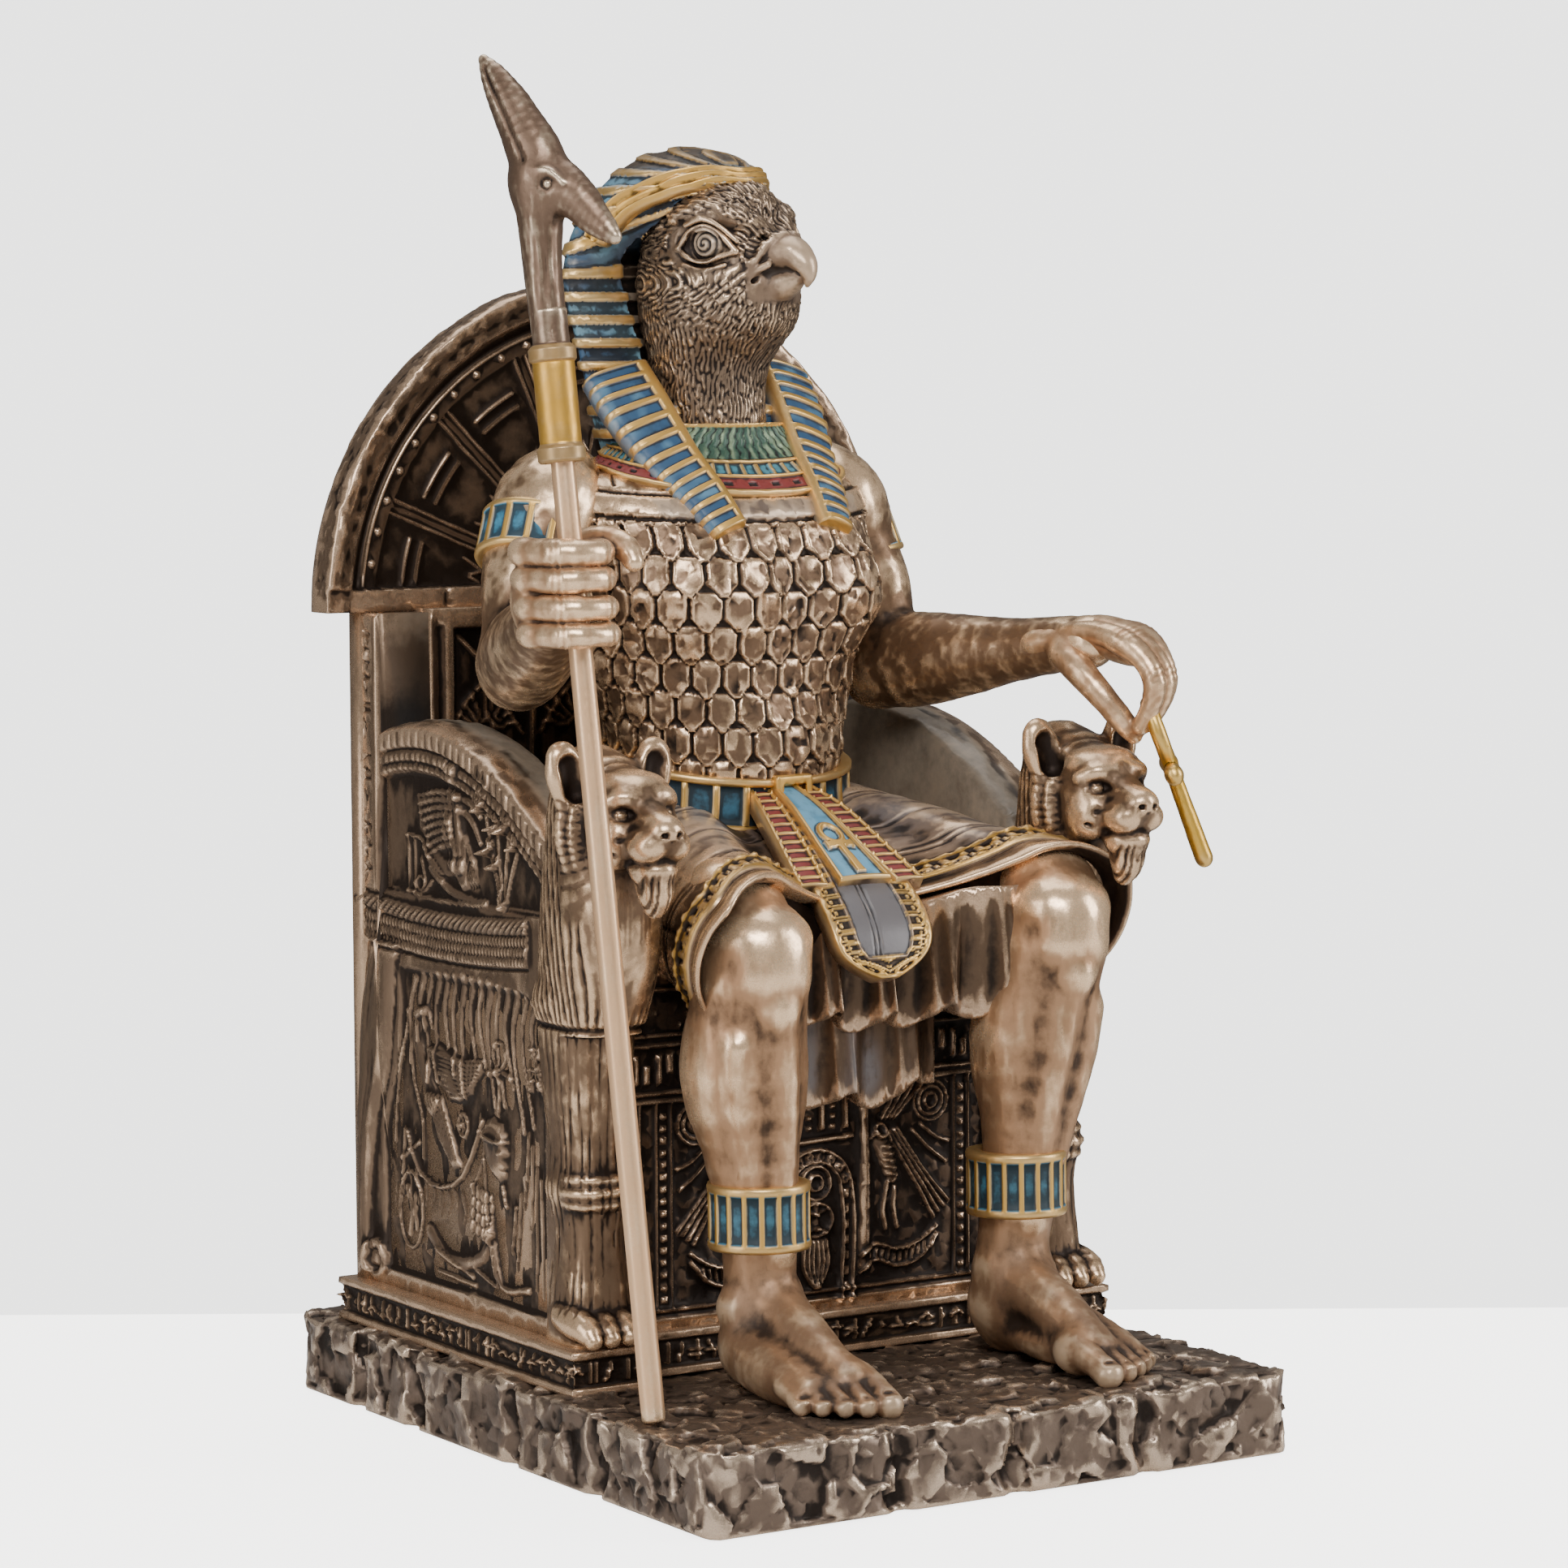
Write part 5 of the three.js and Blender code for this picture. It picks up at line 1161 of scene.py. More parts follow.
def build_arms():
    for side, joints in ARMS.items():
        shoulder, band, elbow, wrist = (at(*joints[k]) for k in ("shoulder", "band", "elbow",
            "wrist"))
        s = -1 if side == "right" else 1
        low = np.minimum(np.minimum(shoulder, elbow), wrist) - 14
        high = np.maximum(np.maximum(shoulder, elbow), wrist) + 14
        clay = Clay(low, high, 0.5)
        inward = mix(shoulder, band, -0.5)
        upper = [(*inward, 8.4), (*mix(shoulder, band, 0.15), 10.4), (*mix(band, elbow, 0.3), 9.3),
            (*mix(band, elbow, 0.75), 8.2), (*elbow, 8.0)]
        fore = [(*mix(elbow, wrist, -0.02), 7.8), (*mix(elbow, wrist, 0.16), 9.0),
            (*mix(elbow, wrist, 0.42), 8.2), (*mix(elbow, wrist, 0.74), 6.2),
            (*mix(elbow, wrist, 1.0), 5.5), (*mix(elbow, wrist, 1.12), 5.4)]
        clay.join(tube(upper, 12), 0)
        clay.join(tube(fore, 14), 3.5)
        run, reach = unit(elbow - band), unit(wrist - elbow)
        outer = unit(np.cross(run, reach)) * (1 if s > 0 else -1)
        ahead = unit(reach - run * (run @ reach))
        clay.join(ellipsoid(shoulder + (s * 1.0, -1.5, -0.5), (9.6, 10.6, 10)), 4)
        clay.join(ellipsoid(mix(band, elbow, 0.45) + ahead * 4.0, (6.0, 6.2, 9.0)), 4)
        clay.join(ellipsoid(mix(band, elbow, 0.4) - ahead * 4.0, (6.0, 6.0, 9.6)), 4)
        clay.join(ellipsoid(elbow - ahead * 4.6 - run * -2.0, (4.6, 4.6, 4.6)), 4)
        clay.join(tube([(*(mix(elbow, wrist, 0.05) - run * 4.0), 5.0),
            (*(mix(elbow, wrist, 0.3) - run * 3.4), 5.0), (*(mix(elbow, wrist, 0.6) - run * 2.0),
            3.2)], 8), 4)
        clay.join(tube([(*(mix(elbow, wrist, 0.1) + run * 3.2), 4.6),
            (*(mix(elbow, wrist, 0.4) + run * 2.6), 4.0), (*(mix(elbow, wrist, 0.75) + run * 1.0),
            2.6)], 8), 3)
        for k in (-1, 1):
            cord = tube([(*(mix(elbow, wrist, 0.45) - run * 5.2 + outer * k * 2), 1.5),
                (*(mix(elbow, wrist, 1.04) - run * 3.6 + outer * k * 1.4), 1.2)], 6)
            clay.join(cord, 2.0)
        skin = clay.skin().relax(8)
        skin.push(0.15 * rough(skin.p, 3.2, 3, 61) + 0.07 * rough(skin.p, 1.3, 2, 63))
        make(side + "_arm", skin, "Arm Bronze", faces=18000, gain=0.65, rub_and_form_shade=0.5)
        up = -unit(elbow - shoulder)
        ring, gilt = ring_band(mix(band, elbow, 0.03), (0, -1, 0), up, 10.0, 10.0, 5.0, 14,
            thick=1.0, steps=260)
        band_piece(side + "_armband", ring, gilt, pot(70, 140, 172))


# The falcon's head, modelled facing -Y in a frame of its own and then turned.
SKULL = [(177, 0.8, 13.0, 12.4), (184, 0.2, 12.0, 11.8), (195, -1.0, 12.2, 11.6),
    (204, -3.4, 14.2, 16.4), (211, -3.6, 14.6, 17.4), (218, -3.4, 13.0, 16.6),
    (223.5, -2.6, 12.2, 14.8), (229, -1.5, 10.6, 12.4), (234, 0, 6.0, 7.0)]


def strands(along, across, length, width, seed):
    """Overlapping wavy strokes like small feathers: height from 0 to 1."""
    total = np.zeros(along.shape)
    spot = joined(along, across)
    for k in range(2):
        a = along / length + 0.5 * k + 0.35 * ripple(spot, length * 0.9, seed + 5 + k)
        w = across / width + 0.5 * k + 0.75 * ripple(spot, (length * 1.1, width * 4), seed + 7 + k)
        w = w + 0.3 * ripple(spot, (length * 0.45, width * 3), seed + 9 + k)
        column = np.floor(w)
        t = a + rand([column, column * 0 + k], seed + k)
        row, t = np.floor(t), part(t)
        v = (w - column - 0.5) * 2
        v = v + (rand([row, column], seed + 2) - 0.5) * (t - 0.5) * 1.2
        ridge = np.clip(1 - v**2, 0, 1) ** 1.4 * smooth(t, 0.0, 0.3) * (1 - smooth(t, 0.76, 1.0))
        ridge = ridge * (0.45 + 0.55 * rand([row, column], seed + 3))
        total = np.maximum(total, ridge * (1 - 0.2 * k))
    return total


def settle(skin):
    """Turns a piece of the head about the upright and sets it in its place."""
    c, s = math.cos(math.radians(HEAD_TURN)), math.sin(math.radians(HEAD_TURN))
    x, y = skin.p[:, 0].copy(), skin.p[:, 1].copy()
    skin.p[:, 0] = HEAD_X + x * c - y * s
    skin.p[:, 1] = HEAD_Y + y * c + x * s


BEAK_EDGE = [(205, 15.0), (208.9, 15.7), (213.9, 18.3), (215.7, 19.4), (219.3, 21.1), (221, 22.3),
    (222, 23.0)]


def on_beak(aside, ahead, z):
    """1 on the bare beak in front of its edge, 0 on the feathers."""
    edge = np.interp(z, *np.transpose(BEAK_EDGE))
    low = 207.0 + 0.4 * np.abs(ahead - 20.5)
    return (smooth(ahead - edge, -0.3, 0.7) * smooth(z, low - 0.5, low + 0.4) * (z < 222)
        * (np.abs(aside) < 8.2))


# The eye's middle, ahead of the head's axis and above the slab, and where the face's side begins.
EYE_AHEAD, EYE_HEIGHT, FACE_SIDE = 10.6, 219.0, 8.4


def eye_at(x, ahead, z):
    """How far points lie from the eye's middle, the ridges of the iris's spiral, and which points
    are on the face's sides."""
    along, rise = (ahead - EYE_AHEAD) * 0.86, z - EYE_HEIGHT
    far = np.sqrt(along**2 + rise**2)
    ridge = np.cos(2 * math.pi * (far / 1.25) - np.arctan2(rise, along * np.sign(x)))
    return far, ridge, np.abs(x) > FACE_SIDE


def build_head():
    up = SLAB_TOP
    box = (vec(-18, -30, up + 176), vec(18, 20, up + 236))
    clay = Clay(box[0] - 1, box[1] + 1, 0.27)
    straight = lambda x, y, z: (x, -y)
    skull = [(z + up, -ahead, a, b) for z, ahead, a, b in SKULL]
    clay.join(column(skull, straight, 2.1, box))
    at_head = lambda aside, ahead, z: vec(aside, -ahead, z + up)

    def rod(points, count=12, share=1.0):
        flat = None if share == 1.0 else (0, 0, 1)
        return tube([(*at_head(a, b, c), r) for a, b, c, r in points], count, flat, share)

    clay.lump(at_head, (0, 8.0, 224.5), (9, 8.2, 7.5), 3.0)
    # Upper beak: broad at the face, arched, and hooked down at its tip; the lower one is shallow.
    clay.join(rod([(0, 13.5, 215.6, 7.4), (0, 17.5, 216.8, 6.2), (0, 21, 217.2, 5.0),
        (0, 24.6, 216.5, 3.6), (0, 27.0, 214.6, 2.5), (0, 27.8, 212.6, 1.5), (0, 27.4, 210.9, 0.7)],
        24, 0.82), 1.2)
    clay.join(rod([(0, 13, 210, 6.2), (0, 18, 210.3, 4.9), (0, 22, 211.3, 3.4),
        (0, 25, 212.2, 1.8)], 14, 0.8), 1.0)
    for s in (-1, 1):
        clay.lump(at_head, (s * 13.4, 10.8, 218.8), (3.4, 6.2, 4.6), 1.6, joining=False)
        clay.lump(at_head, (s * 8.4, 10.6, 219), (3.7, 4.7, 4.0), 0.2)
        lids = (([(9.6, 17.0, 217.4), (11.0, 14.0, 220.8), (11.9, 10.6, 222.3), (12.4, 7.0, 221.2),
            (12.4, 4.2, 218.0)], 0.6), ([(9.6, 17.0, 217.4), (11.4, 14.0, 216.4),
            (12.1, 10.6, 215.5), (12.6, 7.0, 216.3), (12.4, 4.2, 218.0)], 0.55),
            ([(9.4, 17.2, 219.4), (11.4, 14.0, 222.5), (12.3, 10.6, 223.8), (12.8, 6.4, 222.6)],
            0.45), ([(11.0, 15.4, 214.8), (12.6, 10.6, 213.7), (13.2, 6.4, 214.8)], 0.4))
        for points, r in lids:
            clay.join(rod([(s * a, b, c, r) for a, b, c in points], 16), 0.4)
        clay.join(rod([(s * 2.5, 18.8, 221.2, 2.0), (s * 5.0, 16.8, 222.8, 2.2),
            (s * 8.4, 13.0, 224.8, 2.4), (s * 11.0, 7.8, 225.6, 2.0), (s * 12.2, 3, 224.4, 1.4)],
            14), 1.6)
        clay.cut(rod([(s * 7.8, 14.8, 208.4, 0.6), (s * 6.7, 18.3, 211.4, 0.65),
            (s * 5.0, 22, 213.1, 0.65), (s * 3.3, 24.6, 213.5, 0.55), (s * 1.5, 26.3, 212.9, 0.45)],
            18), 0.3)
        clay.join(rod([(s * 8.2, 14.8, 209.8, 0.8), (s * 7.0, 18, 212.8, 0.8),
            (s * 5.4, 21.8, 214.8, 0.7)], 12), 0.9)
        clay.join(rod([(s * 1.2, 22.8, 221.0, 0.6), (s * 4.3, 21.4, 219.6, 0.7),
            (s * 6.5, 19.6, 215.9, 0.7), (s * 7.4, 17.8, 213.2, 0.6)], 14), 0.8)
        clay.lump(at_head, (s * 4.6, 20.0, 219.9), (1.2, 1.3, 0.9), 0.5, joining=False)
    clay.lump(at_head, (0, 20.4, 224.6), (1.2, 4.6, 2.0), 2.5, joining=False)
    skin = clay.skin()
    p = skin.p
    x, ahead, z = p[:, 0], -p[:, 1], p[:, 2] - up
    base = vec(0, 16.5, 215.0)
    rho = np.sqrt(x**2 + (ahead - base[1]) ** 2 + (z - base[2]) ** 2)
    theta = np.arctan2(np.abs(x), z - base[2]) - 0.035 * rho * smooth(z, 219, 210)
    radius = np.clip(0.85 * np.round(rho / 3.2) * 3.2, 3, 14)
    head_strokes = strands(rho, theta * radius + 40 * (x > 0), 3.0, 0.82, 71)
    neck_turn = np.arctan2(x, ahead)
    neck_strokes = strands(214 - z + 1.5 * np.cos(neck_turn), neck_turn * 12.5, 3.8, 0.95, 75)
    low = smooth(z + 0.35 * ahead, 208, 203)
    strokes = head_strokes * (1 - low) + neck_strokes * low * 0.8
    far, coil, side = eye_at(x, ahead, z)
    rise = np.abs(z - EYE_HEIGHT)
    corner = np.clip(1 - ((ahead - 11) / 9.5) ** 2, 0, 1)
    bare = np.maximum(on_beak(x, ahead, z),
        side * (1 - smooth(rise, 3.6 * corner + 1.2, 5.2 * corner + 1.8)) * (corner > 0))
    height = (1 - bare) * (0.6 * strokes - 0.14) + 0.04 * rough(p, 1.2, 2, 77)
    # The iris is a drawn spiral.
    iris = (far < 2.95) & side
    height = np.where(iris, 0.24 * coil, height)
    height = height - 0.3 * bump(far, 3.25, 0.4) * side
    skin.push(height)

    def paint(q, m):
        qx, qa = HEAD(*q.T)
        qz = q[:, 2] - up
        colours = np.tile(pot(150, 124, 102, 0), (len(q), 1))
        colours[:, 3] = 0.5 * on_beak(qx, qa, qz)
        far, ridge, side = eye_at(qx, qa, qz)
        eye = (far < 3.05) & side
        colours[eye & (ridge > 0)] = pot(190, 166, 142, 0.8)
        colours[eye & (ridge <= 0)] = pot(44, 38, 34, 0.9)
        return colours

    settle(skin)
    make("falcon_head", skin, "Feather Bronze", faces=75000, paint=paint)


CLOTH = [(178, -4, 22, 11), (188, -3, 25.6, 13), (194, -2, 27, 17), (203, -4, 28, 18.5),
    (210, -5, 28.4, 20.5), (217, -4.4, 27.2, 21.6), (224, -5.6, 23.4, 19.0),
    (228, -5.2, 20.6, 17.6), (231.5, -4.8, 17.2, 15.8), (235, -4.6, 12.8, 11.8),
    (237.4, -4.6, 7.8, 7.2), (238.6, -4.6, 2.8, 2.8)]


def stripe(g, gold_share):
    """A raised gold stripe in each whole step of g: 1 on gold, 0 on the sunk colour between."""
    f = np.abs(g - np.round(g))
    return 1 - smooth(f, gold_share / 2 - 0.03, gold_share / 2 + 0.03)


def both(a, b, soft):
    """Where two forms overlap, with the edge between them rounded."""
    h = np.clip(0.5 - 0.5 * (b - a) / soft, 0, 1)
    return b + (a - b) * h + soft * h * (1 - h)


def build_cloth():
    up = SLAB_TOP
    table = [(z + up, *row) for z, *row in CLOTH]
    clay = Clay((-30, -16, up + 177), (30, 28, up + 241), 0.46)
    edge_table = [(178, 6.0), (187, 4.3), (192.6, -2.7), (201, -6.2), (208, -8.4), (217.9, -8.4),
        (222.6, -1.2), (229.4, 8.3), (231.1, 13.0), (233, 16.0), (241, 18.0)]

    def place(x, y, z):
        turn = np.radians(mix(TRUNK_TURN - HEAD_TURN, 0, smooth(z - up, 182, 206)))
        return x * np.cos(turn) + y * np.sin(turn), -(y * np.cos(turn) - x * np.sin(turn))

    box = (vec(-30, -16, up + 177), vec(30, 28, up + 241))
    clay.join(column(table, place, 2.2, box))
    x, y, z = clay.axes()
    aside, ahead = place(x, y, z)
    reach = eased(edge_table, z - up)[0]
    # Above the temples the front edge slants back so that the band lies on it.
    slant = smooth(z - up, 215, 222)
    width = eased([(178, 10), (190, 11.5), (204, 13.2), (214, 13.6), (222, 12.6), (228, 10.5),
        (232, 4), (241, 2)], z - up)[0]
    beside = np.maximum(np.abs(aside) - width, 0)
    front = ((ahead - reach + 0.032 * beside**2 * (1 - slant) + 1.15 * beside * slant) * mix(0.85,
        0.66, slant))
    clay.field = both(clay.field, front.astype(np.float32), 2.2).astype(np.float32)
    hole = np.maximum(np.maximum(np.abs(aside) - width, z - up - 230.5), reach - 3.2 - ahead)
    clay.field = np.maximum(clay.field, -hole).astype(np.float32)
    skin = clay.skin().relax(1)

    def pattern(q):
        aside, ahead = place(q[:, 0], q[:, 1], q[:, 2])
        h = q[:, 2] - up
        far = np.maximum(np.sqrt(aside**2 + (14.0 - ahead) ** 2), 7.0)
        climb = np.arctan2(h - 231.5, far)
        fan = 214 / 4.55 + (climb + 0.44) * 34 / 4.55
        g = mix(h / 4.55, fan, smooth(h, 212, 222))
        gold = stripe(g + 0.12, 0.4)
        return g, gold, smooth(h - 0.1 * ahead, 232.5, 235.5)

    _, gold, top = pattern(skin.p)
    height = (gold * 0.8 - 0.3) * (1 - 0.35 * top) + 0.08 * rough(skin.p, 1.6, 2, 81)
    skin.push(height)

    def paint(q, m):
        aside, ahead = HEAD(*q.T)
        local = joined(aside, -ahead, q[:, 2])
        g, gilt, crown = pattern(local)
        aside, ahead = place(local[:, 0], local[:, 1], local[:, 2])
        wash = smooth(ripple(local * (1, 1, 0.6), 6.0, 83), -0.2, 0.7)[:, None]
        blue = mix(pot(58, 88, 118), pot(112, 154, 172), wash)
        blue = mix(blue, pot(58, 60, 66), smooth(rand([np.floor(g + 0.62), np.floor(g) * 0], 87),
            0.55, 0.9)[:, None] * 0.7)
        colours = mix(blue, GOLD, smooth(gilt, 0.35, 0.65)[:, None])
        colours = mix(colours, mix(pot(66, 54, 42), pot(150, 116, 64),
            smooth(gilt, 0.35, 0.65)[:, None]), crown[:, None])
        # Painted shade on the cloth's inner walls, which face the head, and behind its front edge.
        limit = eased(edge_table, local[:, 2] - up)[0]
        inside = (np.abs(aside) < 14.2) & (ahead > limit - 3.6) & (local[:, 2] - up < 231)
        inward = ((m @ vec(math.cos(math.radians(HEAD_TURN)), math.sin(math.radians(HEAD_TURN)), 0))
            * -np.sign(aside))
        colours[inside & ((inward > 0.5) | (ahead < limit - 2.6))] = pot(36, 28, 24, 0.7)
        return colours

    settle(skin)
    make("head_cloth", skin, "Cast Bronze", paint=paint, faces=55000)
    build_lappets()
    build_browband(clay)


def build_browband(clay):
    """The ridged band over the brow, laid on the cloth from temple to temple."""
    half = [(14.8, -8.6, 216.4), (14.4, -4.5, 220.6), (13.6, -0.6, 223.8), (12.0, 4.0, 227.2),
        (9.0, 8.4, 230.0), (5.0, 11.6, 231.7)]
    points = ([(-a, b, c) for a, b, c in half] + [(0, 13.2, 232.3)]
        + [(a, b, c) for a, b, c in half[::-1]])
    count, across = 120, 31
    path = curve([(a, -b, c + SLAB_TOP) for a, b, c in points], count)
    run = unit_rows(np.gradient(path, axis=0))
    out = path - vec(0, 3.0, SLAB_TOP + 214)
    out = unit_rows(out - run * (out * run).sum(1, keepdims=True))
    wide = unit_rows(np.cross(out, run))
    wide = wide * np.where(wide[:, 1:2] + 0.3 * wide[:, 2:] < 0, -1, 1)
    w = np.linspace(-1, 1, across)
    # How far out the cloth reaches under five lines along the band.
    lines = np.linspace(-1, 1, 5)
    steps = np.arange(-5.0, 8.0, 0.25)
    lift = np.zeros((5, count))
    for k, share in enumerate(lines):
        spots = (path + wide * 2.3 * (1 + share))[:, None] + out[:, None] * steps[None, :, None]
        cell = np.clip(((spots - clay.low) / clay.step).round().astype(int), 0,
            np.array(clay.field.shape) - 1)
        solid = clay.field[cell[..., 0], cell[..., 1], cell[..., 2]] < 0
        last = np.where(solid.any(1), steps[solid.shape[1] - 1 - solid[:, ::-1].argmax(1)], np.nan)
        known = ~np.isnan(last)
        lift[k] = (np.interp(np.arange(count), np.nonzero(known)[0], last[known]) if known.any()
            else 0)
    for _ in range(6):
        lift[:, 1:-1] = (lift[:, :-2] + 2 * lift[:, 1:-1] + lift[:, 2:]) / 4
    lift = np.maximum(lift, lift.max(0) - 1.8)
    ridges = 0.9 + 0.34 * np.cos(w * math.pi * 3) - 1.1 * np.abs(w) ** 10
    top_lift = (np.stack([np.interp(w, lines, lift[:, i]) for i in range(count)], 1)
        + ridges[:, None])
    under_w = np.linspace(1, -1, 7)[1:-1]
    under_lift = np.stack([np.interp(under_w, lines, lift[:, i]) for i in range(count)], 1) - 2.4
    ends = np.minimum(1, np.minimum(np.arange(count), count - 1 - np.arange(count)) / 4 + 0.5)
    share = np.concatenate([w * 2.3, under_w * 2.1])[:, None] * ends[None] + 2.3
    rise = np.concatenate([top_lift, under_lift])
    rows = path[None] + share[..., None] * wide[None] + rise[..., None] * out[None]
    skin = capped(sheet(rows, closed_along=True), rows, along=True)
    settle(skin)
    make("browband", skin, "Cast Bronze", paint=lambda p, n: np.tile(GOLD, (len(p), 1)))


def capped(skin, rows, along):
    """Closes the two open ends of a swept section with fans about their middles."""
    n, m = rows.shape[:2]
    index = np.arange(n * m).reshape(n, m)
    for end, flip in ((index[:, 0], True), (index[:, -1], False)) if along else ((index[0], True),
            (index[-1], False)):
        middle = len(skin.p)
        skin.p = np.concatenate([skin.p, skin.p[end].mean(0, keepdims=True)])
        a, b = end, np.roll(end, -1)
        c = np.full(len(a), middle)
        faces = np.stack([a, b, c, c] if not flip else [b, a, c, c], -1)
        skin.f = np.concatenate([skin.f, faces])
    return skin


def build_lappets():
    """The two striped falls of cloth from beside the neck to the chest."""
    table = np.array([(0, 21.6, -5.5, 194, 7.4), (0.25, 20.6, 0.6, 186.5, 7.4),
        (0.5, 18.2, 8.2, 176.8, 6.2), (0.75, 15.8, 15.2, 169.6, 5.0), (1, 13.6, 20.8, 162.6, 4.0)])
    for s in (-1, 1):
        count, across = 200, 41
        t = np.linspace(0, 1, count)
        aside, ahead, z, half = eased(table, t)
        path = joined(s * aside, ahead, z + SLAB_TOP)
        run = unit_rows(np.gradient(path, axis=0))
        wide = unit_rows(np.cross(run, joined(s * 0.25 + 0 * t, 0.85 + 0 * t, 0.5 + 0 * t)))
        out = unit_rows(np.cross(wide, run))
        w = np.linspace(-1, 1, across)
        g = t * 12.4
        gold = stripe(g, 0.36)
        last = smooth(t, 0.962, 0.972)
        inner = smooth(w * -s, 0.5 if s < 0 else 0.8, 0.58 if s < 0 else 0.86)
        border = np.maximum(inner[None, :], last[:, None])
        raised = np.maximum(gold[:, None] * (1 + 0 * w[None]), border)
        dome = 1.5 - 0.7 * w**2 - 1.6 * np.abs(w) ** 10
        height = dome[None] + 0.6 * raised - 0.9 * (t > 0.994)[:, None]
        top = (path[:, None] + (w[None] * half[:, None])[..., None] * wide[:, None]
            + height[..., None] * out[:, None])
        under_w = np.linspace(1, -1, 9)
        under = (path[:, None] + (under_w[None] * half[:, None] * 0.96)[..., None] * wide[:, None]
            - 3.0 * out[:, None])
        rows = np.concatenate([top, under], 1)
        rows[-1] = rows[-2] + (rows[-1].mean(0) - rows[-2]) * 0.04
        world = on_trunk(rows[..., 0], rows[..., 1], rows[..., 2])
        skin = closed(world)
        share = np.concatenate([raised, np.ones((count, 9)) * 0.3], 1).reshape(-1)
        share = np.concatenate([share, [1, 1]])
        blue = mix(pot(46, 80, 112), pot(92, 136, 164), np.clip(ripple(skin.p, 3.0, 85), 0, 1)[:,
            None])

        def paint(p, n, share=share, blue=blue):
            return mix(blue, GOLD, smooth(share, 0.35, 0.65)[:, None])

        make("right_lappet" if s < 0 else "left_lappet", skin, "Cast Bronze", paint=paint)


# The staff leans back from its foot on the slab to the middle of the right fist.
FIST = at(-68, -38, 153.5)
STAFF_FOOT = vec(-62, -54, 16.7)
STAFF_RUN = unit(FIST - STAFF_FOOT)


def build_hands():
    def p(x, y, z):
        return FIST + vec(x, y, 0) + STAFF_RUN * z

    clay = Clay(FIST - 15, FIST + 15 + (2, 4, 0), 0.36)
    clay.lump(p, (-3.4, 6.6, -0.4), (5.6, 6.2, 9.6), 1.5)
    wrist = at(*ARMS["right"]["wrist"])
    clay.join(tube([(*p(-1.0, 9.4, -2.5), 5.6), (*mix(FIST, wrist, 0.9), 5.4)], 4), 3)
    joints = []
    for i in range(4):
        z = mix(7.7, -7.5, i / 3)
        r = 2.5 - 0.08 * i
        path = [(-6.8, 6.5), (-6.0, -0.5), (-4.0, -5.0), (0.4, -6.0), (3.6, -4.6), (5.3, -0.8),
            (4.8, 3.0)]
        dz = 0.5 * math.sin(i * 2.1)
        clay.join(tube([(*p(x, y, z + dz * 0.3), r * k) for (x, y),
            k in zip(path, (1.05, 1.05, 1.1, 0.95, 1.0, 0.92, 0.8))], 18), 0.35)
        clay.lump(p, (-7.3, 4.8, z), (2.6, 3.0, 2.5), 1.2)
        joints += [(p(-5.2, -4.2, z), r), (p(3.6, -5.4, z), r)]
    thumb = [(*p(1.5, 9.0, 5.0), 3.2), (*p(5.4, 5.4, 8.6), 3.0), (*p(8.4, 0.4, 9.6), 2.7),
        (*p(9.8, -3.8, 8.0), 2.4), (*p(9.9, -5.6, 5.8), 1.9)]
    clay.join(tube(thumb, 12), 0.8)
    clay.cut(bone(p(0, 0, -20), p(0, 0, 20), 2.75, 2.75), 0)
    skin = clay.skin()
    q = skin.p
    crease = 0
    for place, r in joints:
        d = np.linalg.norm(q - place, axis=1)
        crease = (crease + np.clip(1 - d / 3.4, 0, 1) * np.cos((q - place) @ vec(0.92, -0.36, 0)
            * 5.2))
    skin.push(0.14 * crease + 0.08 * rough(q, 2.0, 3, 91))
    make("right_hand", skin, "Rubbed Bronze Skin", faces=17000, gain=0.7)

    w = ARMS["left"]["wrist"]

    def h(ahead, aside, up):
        return at(w[0] + 0.42 * ahead + 0.84 * aside, w[1] - 0.9 * ahead + 0.54 * aside, w[2] + up)

    low, high = h(8, 0, -6) - (20, 22, 18), h(8, 0, -6) + (20, 22, 14)
    clay = Clay(low, high, 0.36)
    flat = (0, 0, 1)
    clay.rod(h, [(-5, 0, 0.2, 5.6), (0, 0, 0.8, 5.8), (7, 0.8, 1.8, 6.4), (14, 1.2, 0.4, 6.6)], 10,
        1.0, flat=flat, share=0.66)
    joints = []
    for i in range(4):
        a = mix(-5.8, 6.4, i / 3)
        length = (0.4, 1.2, 0.6, -1.0)[i]
        path = [(*h(2, a * 0.55, 2.6), 2.2), (*h(9, a * 0.85, 2.9), 2.2), (*h(15.2, a, 1.0), 2.75),
            (*h(19.6 + length, a * 1.02, -2.4), 2.3), (*h(21.8 + length - 0.4 * i, a * 1.0, -6.4),
            2.35), (*h(20.8 + length - 0.5 * i, a * 0.9, -11.2), 2.05),
            (*h(18.6 - 0.5 * i, a * 0.75, -15.4), 1.8)]
        clay.join(tube(path, 22), 0.5)
        joints += [(h(15.4, a, 2.4), 1), (h(22.2 + length, a, -5.2), 1),
            (h(21.6 + length - 0.4 * i, a * 0.9, -10.4), 0.7)]
    thumb = [(*h(1, -4.4, -1.5), 3.2), (*h(6.5, -6.6, -5.6), 3.0), (*h(11.5, -6.2, -10.6), 2.6),
        (*h(15.0, -4.0, -15.4), 2.3), (*h(16.4, -2.8, -17.6), 1.7)]
    clay.join(tube(thumb, 14), 1.2)
    skin = clay.skin()
    q = skin.p
    crease = 0
    for place, share in joints:
        d = np.linalg.norm(q - place, axis=1)
        crease = (crease + share * np.clip(1 - d / 3.2, 0, 1)
            * np.cos((q - place) @ unit((0.35, -0.6, -0.7)) * 5.0))
    skin.push(0.14 * crease + 0.08 * rough(q, 2.0, 3, 95))
    make("left_hand", skin, "Rubbed Bronze Skin", faces=17000, gain=0.7)


